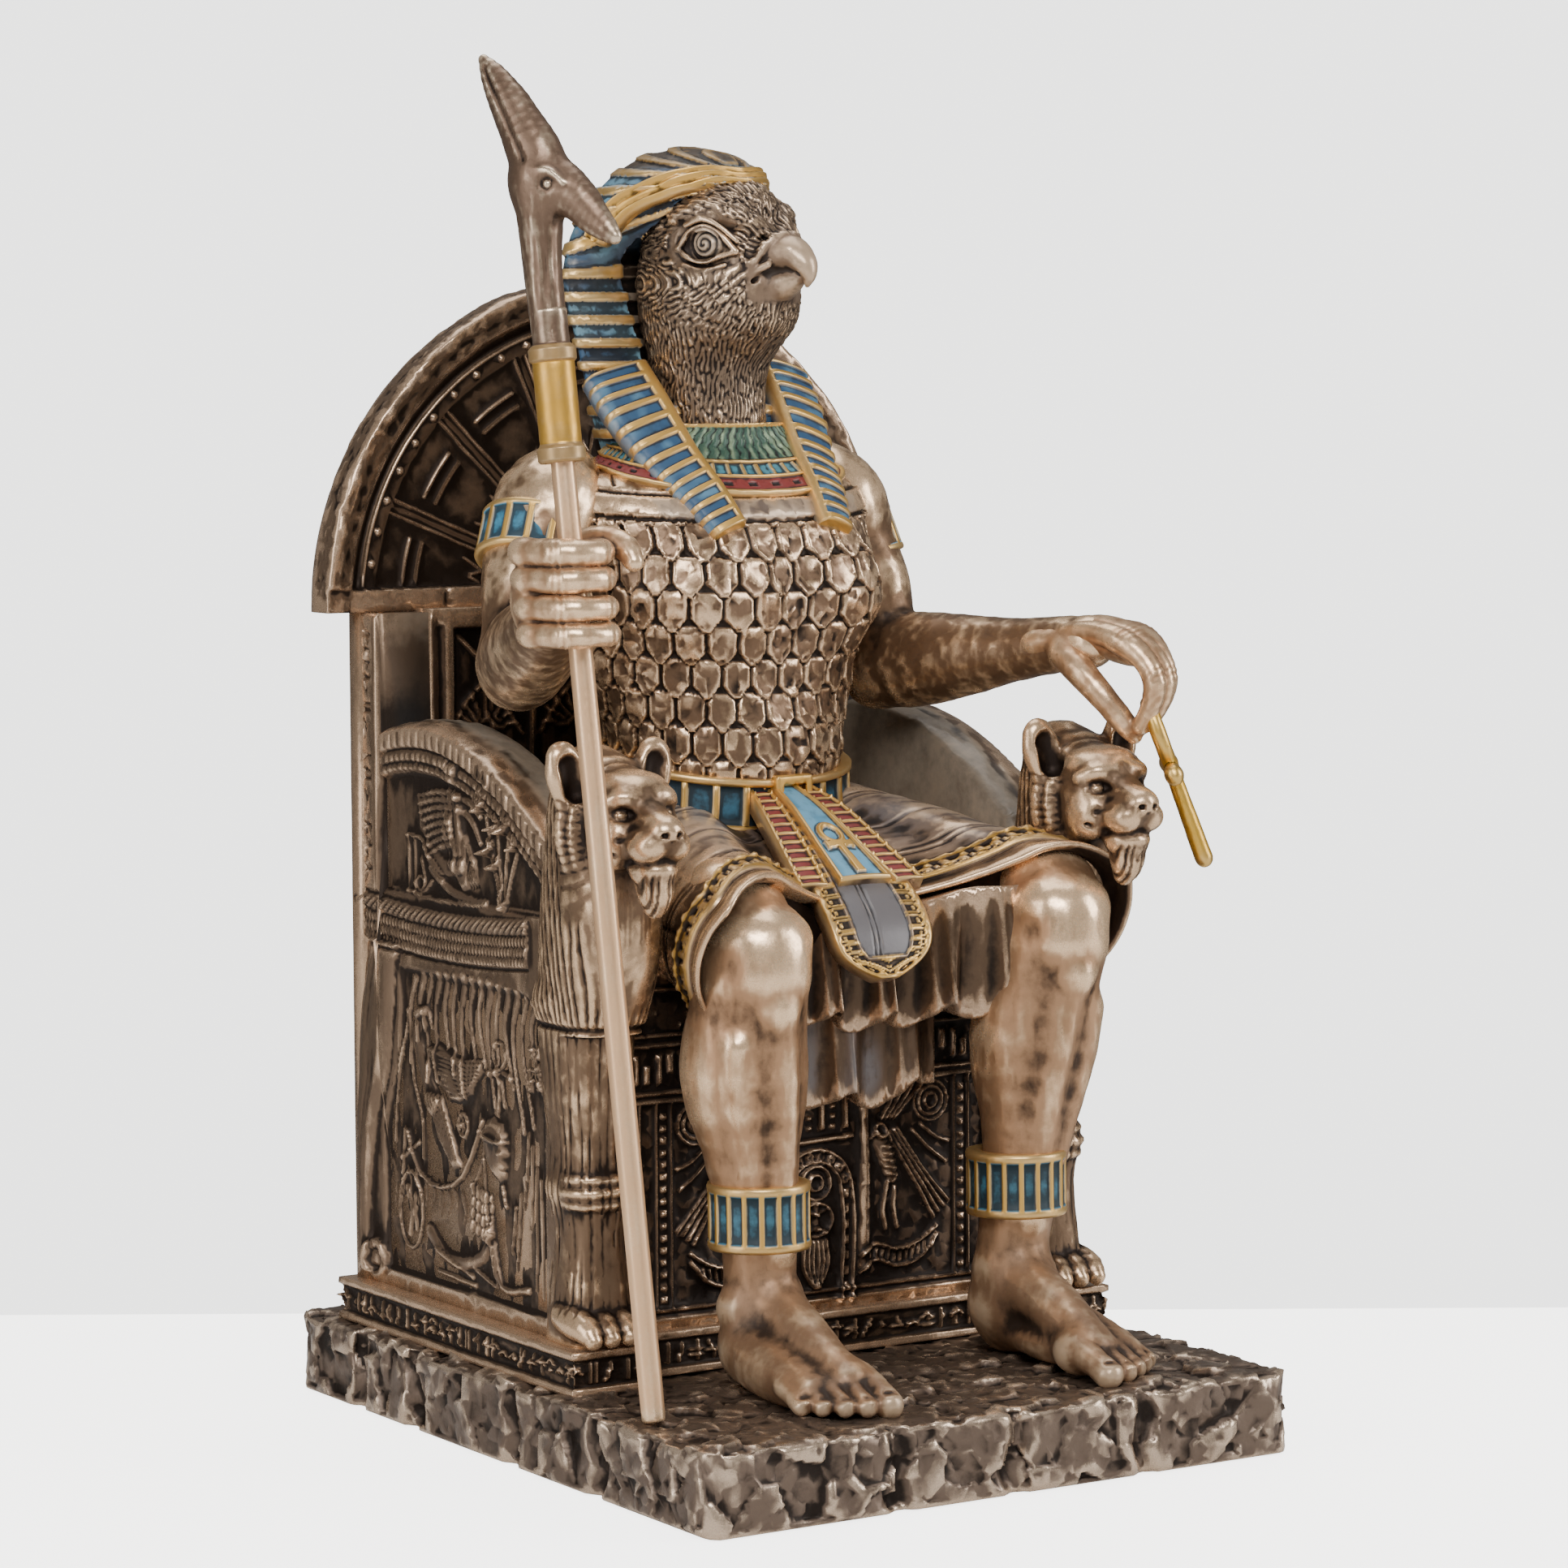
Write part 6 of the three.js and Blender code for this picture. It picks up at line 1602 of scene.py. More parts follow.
class Relief:
    """Heights over a wall, drawn with strokes and shapes: u across and v up, in millimetres."""

    def __init__(self, u, v):
        self.u, self.v = u, v
        self.h = np.zeros(u.shape)

    def near(self, points, pad):
        low, high = np.min(points, 0) - pad, np.max(points, 0) + pad
        inside = (self.u > low[0]) & (self.u < high[0]) & (self.v > low[1]) & (self.v < high[1])
        return np.nonzero(inside)

    def line(self, points, width, height, end=None, count=10):
        """A round stroke along a soft path, raised or, below 0, sunk; it tapers to end."""
        end = width if end is None else end
        points = np.asarray(points, float)
        steps = len(points)
        wide = mix(width, end, np.linspace(0, 1, steps))
        rows = np.column_stack([points, np.zeros(steps), wide / 2])
        path = curve(rows, count) if steps > 2 else rows
        where = self.near(path[:, :2], max(width, end))
        x, y = self.u[where], self.v[where]
        best = np.full(x.shape, 9.0)
        for a, b in zip(path[:-1], path[1:]):
            run = b[:2] - a[:2]
            t = np.clip(((x - a[0]) * run[0] + (y - a[1]) * run[1]) / max(run @ run, 1e-9), 0, 1)
            far = np.hypot(x - a[0] - t * run[0], y - a[1] - t * run[1])
            best = np.minimum(best, far / (a[3] + (b[3] - a[3]) * t))
        self.h[where] += height * np.sqrt(np.clip(1 - best**2, 0, 1))
        return self

    def shape(self, outline, height, edge=1.0):
        """A raised or sunk shape with a rounded edge."""
        outline = np.asarray(outline, float)
        where = self.near(outline, 0.1)
        x, y = self.u[where], self.v[where]
        inside = np.zeros(x.shape, bool)
        far = np.full(x.shape, 1e9)
        for (ax, ay), (bx, by) in zip(outline, np.roll(outline, -1, 0)):
            inside ^= ((ay > y) != (by > y)) & (x < (bx - ax) * (y - ay) / (by - ay + 1e-12) + ax)
            t = np.clip(((x - ax) * (bx - ax) + (y - ay) * (by - ay))
                / ((bx - ax) ** 2 + (by - ay) ** 2), 0, 1)
            far = np.minimum(far, np.hypot(x - ax - t * (bx - ax), y - ay - t * (by - ay)))
        self.h[where] += height * smooth(np.where(inside, far, 0), 0, edge)
        return self

    def box(self, u0, v0, u1, v1, height, edge=0.6):
        return self.shape([(u0, v0), (u1, v0), (u1, v1), (u0, v1)], height, edge)

    def ring(self, u, v, ru, rv, width, height, turn=0.0, count=24):
        a = np.linspace(0, 2 * math.pi, count)
        c, s = math.cos(turn), math.sin(turn)
        x, y = ru * np.cos(a), rv * np.sin(a)
        return self.line(joined(u + x * c - y * s, v + x * s + y * c), width, height, count=count)

    def marks(self, u0, v0, u1, v1, columns, rows, height, seed, width=0.55):
        """Rows of shallow strokes that stand in for an inscription and spell nothing."""
        draw = np.random.default_rng(seed)
        du, dv = (u1 - u0) / columns, (v1 - v0) / rows
        for i in range(columns):
            for j in range(rows):
                u, v = u0 + (i + 0.5) * du, v0 + (j + 0.5) * dv
                a, b = du * 0.36, dv * 0.36
                for _ in range(draw.integers(2, 4)):
                    kind = draw.integers(0, 5)
                    s, t = draw.uniform(-0.7, 0.7, 2)
                    if kind == 0:
                        self.line([(u + s * a, v - b), (u + s * a, v + b)], width, height)
                    elif kind == 1:
                        self.line([(u - a, v + t * b), (u + a, v + t * b)], width, height)
                    elif kind == 2:
                        self.line([(u - a * s, v - b), (u + a * s, v + b * 0.8)], width, height)
                    elif kind == 3:
                        self.line([(u - a, v + t * b), (u, v + t * b + 0.5 * b),
                            (u + a, v + t * b)], width, height)
                    else:
                        self.line([(u + s * a, v + t * b), (u + s * a + 0.01, v + t * b)],
                            width * 1.6, height)
        return self


def closed(rows):
    """A skin of closed sections with its two ends shut."""
    return capped(sheet(rows, closed_across=True), rows, along=False)


def plate(face, base, into, back_points=5):
    """A closed plate: a grid of face points and, behind its flat base, a plain back."""
    columns = np.linspace(face.shape[1] - 1, 0, back_points).round().astype(int)
    back = base[:, columns] + np.asarray(into, float)
    return closed(np.concatenate([face, back], 1))


# The throne: its side walls carry the arms, between them stand the seat and the back.
THRONE = dict(half=60.0, arm=13.5, front=-15.0, back=66.5, seat=72.0, top=136.8)


def arm_top(y):
    t = np.clip((y + 12) / 69.5, 0, 1)
    return 116 - 21 * (1 - t) ** 2.2 + 1.5 * np.sin(math.pi * t) - 3.5 * t**4


def side_relief(y, z):
    """The throne's side wall: heights over y and z above the plinth."""
    r = Relief(y, z)
    top = arm_top(y)
    drop = top - z
    r.h -= 0.9 * smooth(drop, 9.0, 9.8) * (1 - smooth(y, 55.8, 56.6)) * smooth(z, 80.6, 81.6)
    # An outer row of ribs and an inner row of short lapped feathers follow the arch.
    on_arch = (y < 56) & (z > 80.5)
    length = (56 - y) * 1.08 + 6 * smooth(-y, -30, 12)
    ribs = length / 3.1
    turn = part(ribs)
    rib = arched(turn) * (0.6 + 0.4 * bump(drop, 2.2, 3.4))
    outer = smooth(drop, -0.5, 0.3) * (1 - smooth(drop, 3.8, 4.5))
    r.h += on_arch * outer * (0.55 + 0.75 * rib)
    lap = length / 2.4 + 0.5 * np.floor((drop - 4.4) / 2.3)
    short = part(lap)
    inner = smooth(drop, 4.4, 4.9) * (1 - smooth(drop, 8.4, 9.2))
    tip = part((drop - 4.4) / 2.3)
    r.h += on_arch * inner * (0.35 + 0.6 * arched(short) * smooth(tip, 0, 0.7))
    # The post behind the arch: a framed strip of strokes.
    post = smooth(y, 56.4, 57.0) * smooth(z, 80.2, 81.0)
    r.h += 0.5 * post
    r.line([(56.3, 81), (56.3, 136)], 1.3, -1.4)
    r.line([(66.0, 81), (66.0, 136)], 0.8, 0.3)
    r.line([(57.6, 81), (57.6, 136)], 0.7, 0.35)
    r.line([(58.5, 81), (58.5, 136)], 0.5, -0.35)
    r.line([(65.0, 81), (65.0, 136)], 0.5, -0.35)
    r.marks(59.3, 82, 64.3, 135, 1, 11, -0.7, 301, 0.8)
    # The kneeling winged figure on a low seat, with flowers before it.
    figure = 0.9
    r.shape([(26.5, 104), (23, 103.5), (22.4, 96), (18, 90), (17, 85), (24, 83), (29, 88), (31, 95),
        (29, 102)], figure, 1.6)
    r.shape([(28, 104), (36, 103.4), (42.6, 100.6), (41.8, 94.4), (37, 90.5), (31, 89.6), (27, 94)],
        0.7, 1.8)
    for k in range(8):
        t = k / 7
        r.line([(27 - 0.5 * t, mix(102.6, 92.6, t)), (mix(34, 32, t), mix(102.4, 91.6, t)),
            (mix(42, 36, t), mix(101, 90, t))], 1.5, 0.42, 0.7)
    r.line([(37.4, 90.4), (30, 87.6), (22.8, 88.6)], 4.4, 0.8, 3.2)
    r.line([(36, 86.6), (28, 83.0), (19, 81.8), (14, 82)], 2.6, 0.8, 1.6)
    r.line([(36.6, 88.4), (31.5, 85.2)], 3.2, 0.5, 2.6)
    r.line([(27.4, 97.0), (25.4, 91.6), (24.6, 87.8)], 2.2, 0.7, 1.7)
    r.line([(25.6, 103.4), (24.6, 97), (23.8, 91)], 2.3, 0.4)
    r.line([(24.6, 102), (20.4, 101), (16.4, 98.6)], 1.9, 0.8, 1.4)
    r.line([(23.6, 99.5), (19.4, 97), (16.4, 93.4)], 1.8, 0.7, 1.3)
    r.shape([(26.8, 104.2), (23.8, 104.0), (22.6, 106.6), (23.4, 109.2), (26.6, 109.4),
        (28.4, 106.8)], 1.1, 1.4)
    r.line([(28.0, 109), (28.6, 105.4), (28.0, 102)], 1.6, 0.5)
    for k in range(4):
        r.line([(21.5 - 0.8 * k, 92 - 1.2 * k), (20.6 - 1.0 * k, 84.6)], 0.7, -0.4)
    for u, v, w in ((46.0, 93.0, 81.8), (43.4, 92.6, 81.8)):
        r.line([(u, v), (u - 0.4, w)], 1.0, 0.6)
    r.line([(46.2, 93), (40.8, 92.4), (36.0, 89.2)], 0.9, 0.6)
    r.line([(45.8, 82), (40, 81.8), (36.6, 84.4)], 0.9, 0.5)
    r.line([(41.0, 88.6), (39.2, 84.2)], 0.8, 0.45)
    r.ring(41.2, 83.6, 1.6, 1.3, 0.7, 0.5)
    for u0, v0, u1, v1 in ((6.8, 81.4, 14.6, 100.6), (7.0, 81.6, 9.6, 97.0), (6.6, 81.4, 5.0, 96.6),
            (6.4, 81.6, 1.6, 93.4), (7.2, 82.2, 12.4, 92.0)):
        r.line([(u0, v0), (mix(u0, u1, 0.5) + 0.5, mix(v0, v1, 0.5)), (u1, v1)], 1.1, 0.6, 0.9)
    for u, v, size in ((14.4, 102.0, 2.0), (9.4, 98.4, 1.7), (4.6, 98.2, 1.7), (1.4, 95.0, 1.5),
            (12.4, 93.4, 1.5), (9.8, 90.4, 1.2)):
        for k in range(-2, 3):
            a = math.pi / 2 + 0.42 * k
            r.line([(u, v - size), (u + size * 1.3 * math.cos(a),
                v - size + size * 2.0 * math.sin(a))], 0.85, 0.7, 0.5)
    r.line([(15.4, 106.5), (12.2, 105.8), (9.4, 103.4)], 0.8, 0.4)
    r.line([(-8, 82), (8, 81.6), (30, 81.0), (53, 81.8)], 1.0, 0.35)
    # The rope and the band of upright strokes, which dip a little at the middle.
    dip = 1.9 * bump(y, 32, 36)
    level = z + dip
    band = (y > -3) & (y < 66.6)
    rope = bump(level, 79.0, 1.7)
    twist = np.sin((y * 1.15 + (level - 79) * 1.6) * 2.4)
    r.h += band * (0.95 * np.sqrt(rope) + 0.32 * rope * twist)
    rows = (level - 71.0) / 2.05
    row = part(rows)
    inside = smooth(level, 70.9, 71.4) * (1 - smooth(level, 77.0, 77.4)) * band
    pitch = y / 1.25 + 0.5 * (np.floor(rows) % 2) + 0.25 * ripple(joined(y, level), (5.0, 2.2), 303)
    stroke = np.sqrt(np.clip(1 - (2 * part(pitch) - 1) ** 2 * 1.5, 0, 1))
    r.h += inside * (0.35 + 0.5 * stroke * arched(row))
    r.h -= 0.5 * bump(level, 70.6, 0.5) * band
    # The lower panel sinks inside a soft frame; the hind leg stands up its back edge.
    edge_u = mix(50.6, 58.0, smooth(z, 52, 30))
    sunk = (smooth(edge_u - y, 0.4, 2.2) * smooth(y, -9.5, -7.5)
        * smooth(66.6 - 5.5 * np.clip((2 - y) / 11, 0, 1) ** 2 - z, 0, 1.8) * smooth(z, 3.4, 4.4))
    r.h -= 0.9 * sunk
    leg_front = eased([(0, 60), (9, 62), (20, 61.4), (32, 59.2), (45, 53.6), (57, 51.6), (68, 49.4),
        (72, 47)], z)[0]
    leg_back = eased([(0, 68.4), (34, 67.9), (60, 65.6), (67, 62.5), (72, 61)], z)[0]
    u = (y - leg_front) / (leg_back - leg_front)
    on = (z < 70.6) * (z > 2)
    r.h += on * 1.5 * arched(u) * (u > 0) * (u < 1.0)
    grain = ripple(joined(u * 7, z / 22), 1.0, 305) + 0.6 * ripple(joined(u * 15, z / 14), 1.0, 306)
    r.h += on * 0.22 * grain * (u > 0) * (u < 1)
    r.ring(59.8, 4.9, 3.3, 3.4, 2.4, 1.2)
    r.shape([(57.5, 3), (62, 2.4), (62.8, 6.5), (60, 8.4), (57, 6.6)], 1.0, 1.6)
    # Long soft folds hang over the panel's upper half.
    for k in range(15):
        u0 = mix(46.5, -5.5, (k + 0.5) / 15)
        lean = mix(1.0, -3.5, k / 14)
        low = 47 + 5 * math.sin(k * 1.9) - (5 if k > 9 else 0)
        r.line([(u0 - 1.0, 66.5 - 0.05 * (k - 7) ** 2), (u0 + 0.9, 60), (u0 + lean, low)],
            2.1 + 0.5 * math.sin(k * 2.3), 0.55, 1.0)
    # The winged bird: head, body, wings and tail.
    r.line([(40.2, 56.6), (42.6, 53), (40.6, 46.5), (36.0, 40)], 4.6, 0.9, 5.0)
    r.line([(41.6, 57.6), (38.6, 58.2), (36.4, 54.8)], 2.4, 0.9, 1.0)
    r.shape([(39.6, 50.6), (34, 52.6), (24, 50.4), (16.4, 51.2), (15.2, 48.4), (20.5, 43.6),
        (26, 40.6), (30.6, 40.8), (36, 44)], 0.65, 1.5)
    for k in range(9):
        t = k / 8
        r.line([(mix(38, 29, t), mix(50.5, 42, t)), (mix(27, 24, t), mix(49.6, 42.4, t)),
            (mix(16, 20.6, t), mix(50.6, 43.8, t))], 1.0, 0.4, 0.7)
    r.shape([(39.6, 42), (35.5, 32.5), (28.6, 27.2), (24.8, 28.2), (28, 34.6), (33, 42)], 0.7, 1.4)
    for k in range(6):
        r.line([(mix(39, 33.4, k / 5), 41.6), (mix(28.8, 25.6, k / 5), mix(27.6, 28.6, k / 5))],
            0.8, 0.35)
    r.line([(46.4, 57.8), (49, 50), (51.6, 42), (53.2, 30)], 0.8, 0.5)
    r.line([(45, 55), (45.2, 44), (41.6, 36), (41.4, 28)], 0.8, 0.5)
    r.ring(24.6, 36.8, 1.9, 2.3, 0.8, 0.6)
    for k in range(5):
        a = k * 1.256
        r.line([(24.6, 36.8), (24.6 + 1.6 * math.cos(a), 36.8 + 1.9 * math.sin(a))], 0.6, 0.5)
    # A looped sign, a small framed sign and upright reeds.
    r.line([(9.6, 49.4), (12.4, 52.6), (9.6, 55.2), (6.8, 52.6), (9.6, 49.4)], 0.9, 0.7)
    r.line([(14.6, 48.3), (9.5, 49.2), (4.4, 48.5)], 1.6, 0.7, 1.4)
    r.line([(9.6, 48.6), (9.8, 44), (10.4, 40.6)], 1.5, 0.7, 0.7)
    r.marks(-8, 46.5, -1.2, 56.5, 2, 3, 0.5, 307, 0.7)
    for points in ([(-1.6, 38.4), (-0.6, 30), (0.6, 23.6)], [(-2.8, 36), (-2.6, 26), (-2.2, 20)],
            [(3.8, 23.4), (4.6, 18), (5.3, 14)], [(1.8, 26), (2.6, 17), (3.6, 11)],
            [(-4.6, 32), (-4.6, 20), (-4.2, 8)], [(-6.2, 30), (-6.6, 18), (-6.6, 7)]):
        r.line(points, 0.9, 0.55, 0.6)
    # The bust, its face plain: a cap, a long lappet behind, and a collared shoulder.
    r.shape([(16.8, 36.4), (15.6, 39.2), (12.4, 40.6), (8.4, 39.6), (6.4, 37.2), (6.2, 34.6),
        (5.6, 33.2), (6.6, 32.0), (6.3, 30.6), (7.4, 28.2), (10.2, 27.0), (13.4, 28.4), (15.6, 31)],
        1.3, 2.2)
    r.line([(17.6, 36.6), (14.2, 35.8), (10, 35.4), (6.6, 35.8)], 0.8, 0.45)
    r.line([(9.2, 33.2), (7.9, 33.4)], 0.8, 0.35)
    r.line([(8.6, 30.1), (7.1, 30.2)], 0.6, -0.3)
    r.line([(8.8, 26.8), (8.2, 24.8), (7.4, 22.8)], 1.0, 0.7, 0.7)
    r.line([(16.6, 38.6), (20.6, 31.6), (26.4, 25.4), (33.4, 23.2), (40, 23.8), (44.6, 27),
        (47.6, 33)], 1.5, 0.9, 0.8)
    r.line([(15.0, 37), (18, 29), (22, 24)], 0.9, 0.5, 0.6)
    for k in range(5):
        r.line([(mix(20.6, 13.6, k / 4), 25.6 - 0.4 * k),
            (mix(21.4, 12.6, k / 4), 15.4 + 0.6 * abs(k - 2))], 1.2, 0.7, 1.5)
    for k in range(4):
        r.line([(21.4, 16.4 + 2.4 * k), (17.2, 15.2 + 2.4 * k), (12.6, 16.4 + 2.2 * k)], 0.6, -0.35)
    r.line([(38.6, 13.6), (32.6, 9.8), (24, 9.4), (16.4, 12), (13, 17)], 3.6, 0.9, 2.6)
    r.line([(13.4, 18), (11.8, 12), (9.6, 7.2), (-0.8, 7.6)], 2.6, 0.8, 1.8)
    r.line([(16.4, 31), (15.4, 22), (12.6, 14), (11.2, 6.6)], 0.8, 0.5)
    r.ring(46.7, 16.8, 4.8, 7.8, 0.8, 0.6)
    r.line([(48, 21), (46, 17), (47.4, 12)], 2.0, 0.7)
    r.line([(45.2, 20), (44.6, 13)], 1.0, 0.5)
    for u0, v0, u1, v1 in ((35.2, 10.6, 21.4, 6.9), (35.4, 6.0, 20.4, 5.4), (20.0, 8.6, 12, 6.4),
            (50, 27, 43, 31), (49, 33, 50, 24)):
        r.line([(u0, v0), (u1, v1)], 1.1, 0.5)
    for k in range(10):
        u0 = 54.5 - 3.2 * k
        r.line([(u0, 26 - 0.3 * k), (u0 - 1.4, 22.6 - 0.2 * k), (u0 - 0.6, 17 + (k % 3))], 0.7, 0.3,
            0.4)
    r.h += 0.09 * rough(joined(y, z), (3.0, 9.0), 3, 309)
    return r.h


def build_throne_sides():
    high = 262
    y = np.concatenate([np.linspace(-14, 56.2, 166), np.linspace(56.6, 66.45, 24)])
    top = np.where(y < 56.5, arm_top(y), THRONE["top"])
    rows = np.linspace(0, 1, high)
    uu = y[:, None] + 0 * rows[None]
    vv = -0.4 + (top[:, None] + 0.4) * rows[None]
    height = side_relief(uu, vv)
    height = height * smooth(top[:, None] - vv, -0.1, 1.0)
    for s, name in ((-1, "right"), (1, "left")):
        face = joined(s * (THRONE["half"] - 1.1 + height), uu, vv + PLINTH_TOP)
        # The arm's rounded top and its plain inner wall close the plate.
        inner = THRONE["half"] - THRONE["arm"]
        bend = np.linspace(0, 1, 12)[1:]
        over_x = THRONE["half"] - 1.1 - bend * (THRONE["arm"] - 1.1)
        crown = 1.2 * np.sin(bend * math.pi) ** 0.6
        arch = (y < 56.5)[:, None]
        over = joined(s * over_x[None] + 0 * uu[:, :11], np.tile(y[:, None], (1, 11)),
            PLINTH_TOP + top[:, None] + crown[None] * arch - 0.2)
        over[..., 2] += 0.3 * arch * ripple(joined(over[..., 0] * 2, over[..., 1] / 3), 1.2, 311)
        down = np.linspace(1, 0, 22)[1:]
        wall = joined(s * inner + 0 * down[None] + 0 * y[:, None], np.tile(y[:, None], (1, 21)),
            PLINTH_TOP - 0.4 + (top[:, None] + 0.2) * down[None])
        rows3 = np.concatenate([face, over, wall], 1)
        skin = closed(rows3)

        def paint(p, n):
            """Painted shade: darker on the arm's inner face and top."""
            colours = np.tile(pot(34, 27, 22, 0), (len(p), 1))
            colours[:, 3] = (0.88 * smooth(THRONE["half"] - np.abs(p[:, 0]), 3.5, 7)
                * (p[:, 2] > SLAB_TOP + 60))
            return colours

        make(f"throne_side_{name}", skin, "Panel Bronze", faces=36000, gain=0.7, paint=paint)


def back_front_relief(x, z):
    """Between the arms behind the figure: a frame, leaning struts and fans of rays."""
    r = Relief(x, z)
    r.h -= 2.4 * smooth(42 - np.abs(x), 0, 0.8) * smooth(z, 71.5, 72.2) * smooth(133.5 - z, 0, 0.8)
    r.h += 0.25 * rough(joined(x, z), (2.0, 12.0), 3, 313)
    for s in (-1, 1):
        for u, v in ((s * 34, 112), (s * 12, 112), (s * 34, 90)):
            for k in range(9):
                a = math.pi * (k + 0.5) / 9
                r.line([(u + 2 * math.cos(a), v + 2 * math.sin(a)),
                    (u + 8 * math.cos(a), v + 8 * math.sin(a))], 0.8, 0.6)
            r.line([(u - 9, v - 1), (u, v + 9.4), (u + 9, v - 1)], 0.9, 0.6)
        r.line([(s * 41, 132), (s * 24, 118)], 1.4, 0.7)
        r.line([(s * 22, 132), (s * 23, 100)], 1.2, 0.7)
        r.line([(s * 45, 74), (s * 45, 134)], 0.9, -0.5)
    return r.h


def back_rear_relief(x, z):
    """The throne seen from behind: two framed fields with tall leaves, arches and rosettes."""
    r = Relief(x, z)
    frame_in = np.minimum(55 - np.abs(x), np.minimum(z - 5, 60 - z))
    upper_in = np.minimum(55 - np.abs(x), np.minimum(z - 64, 132 - z))
    r.h -= 1.3 * (smooth(frame_in, 0, 0.9) + smooth(upper_in, 0, 0.9))
    for i in range(-3, 4):
        r.line([(i * 6, 6), (i * 11, 34), (i * 15.5, 56 - 3.4 * abs(i))], 6.4, 1.3, 4.2)
        r.line([(i * 6, 8), (i * 11, 34), (i * 15.5, 54 - 3.4 * abs(i))], 0.8, -0.6)
    for side in (-1, 1):
        for k in range(3):
            r.line([(side * (8 + 14 * k), 62), (side * (8 + 14 * k), 62.2)], 3.4, 0.9)
        r.ring(side * 28, 98, 15, 22, 1.8, 1.1)
        r.ring(side * 28, 98, 11.5, 18, 1.0, 0.8)
        r.line([(side * 28, 82), (side * 28, 113)], 2.4, 1.0)
        for k in range(5):
            r.line([(side * 28, 86 + 5 * k), (side * 34, 91 + 5 * k)], 1.5, 0.8, 0.9)
            r.line([(side * 28, 86 + 5 * k), (side * 22, 91 + 5 * k)], 1.5, 0.8, 0.9)
        r.marks(side * 50 - 3, 67, side * 50 + 3, 130, 1, 12, -0.6, 317 + side, 0.8)
    for k in range(12):
        a = k * math.pi / 6
        r.line([(2.5 * math.cos(a), 98 + 2.5 * math.sin(a)),
            (6.6 * math.cos(a), 98 + 6.6 * math.sin(a))], 2.2, 0.9, 1.2)
    r.ring(0, 98, 8.4, 8.4, 1.0, 0.8)
    r.h += 0.1 * rough(joined(x, z), (4.0, 7.0), 3, 315)
    return r.h


def build_throne_back():
    half, y = THRONE["half"], THRONE["back"]
    x, z = grid(np.linspace(-half + 0.2, half - 0.2, 150), np.linspace(-0.4, THRONE["top"] + 0.5,
        172))
    depth = back_rear_relief(x, z)
    face = joined(x, y + 1.2 + depth, z + PLINTH_TOP)
    base = joined(x, y + 0 * x, z + PLINTH_TOP)
    skin = plate(face, base, (0, -3.5, 0))
    make("throne_rear", skin, "Dark Bronze", faces=17000)
    inner = half - THRONE["arm"] + 1.0
    x, z = grid(np.linspace(-inner, inner, 132), np.linspace(71.0, THRONE["top"] + 0.5, 92))
    depth = back_front_relief(x, z)
    face = joined(x, 55.8 - depth, z + PLINTH_TOP)
    base = joined(x, 60.0 + 0 * x, z + PLINTH_TOP)
    skin = plate(face, base, (0, 5, 0))
    make("throne_inner_back", skin, "Dark Bronze", faces=9000)


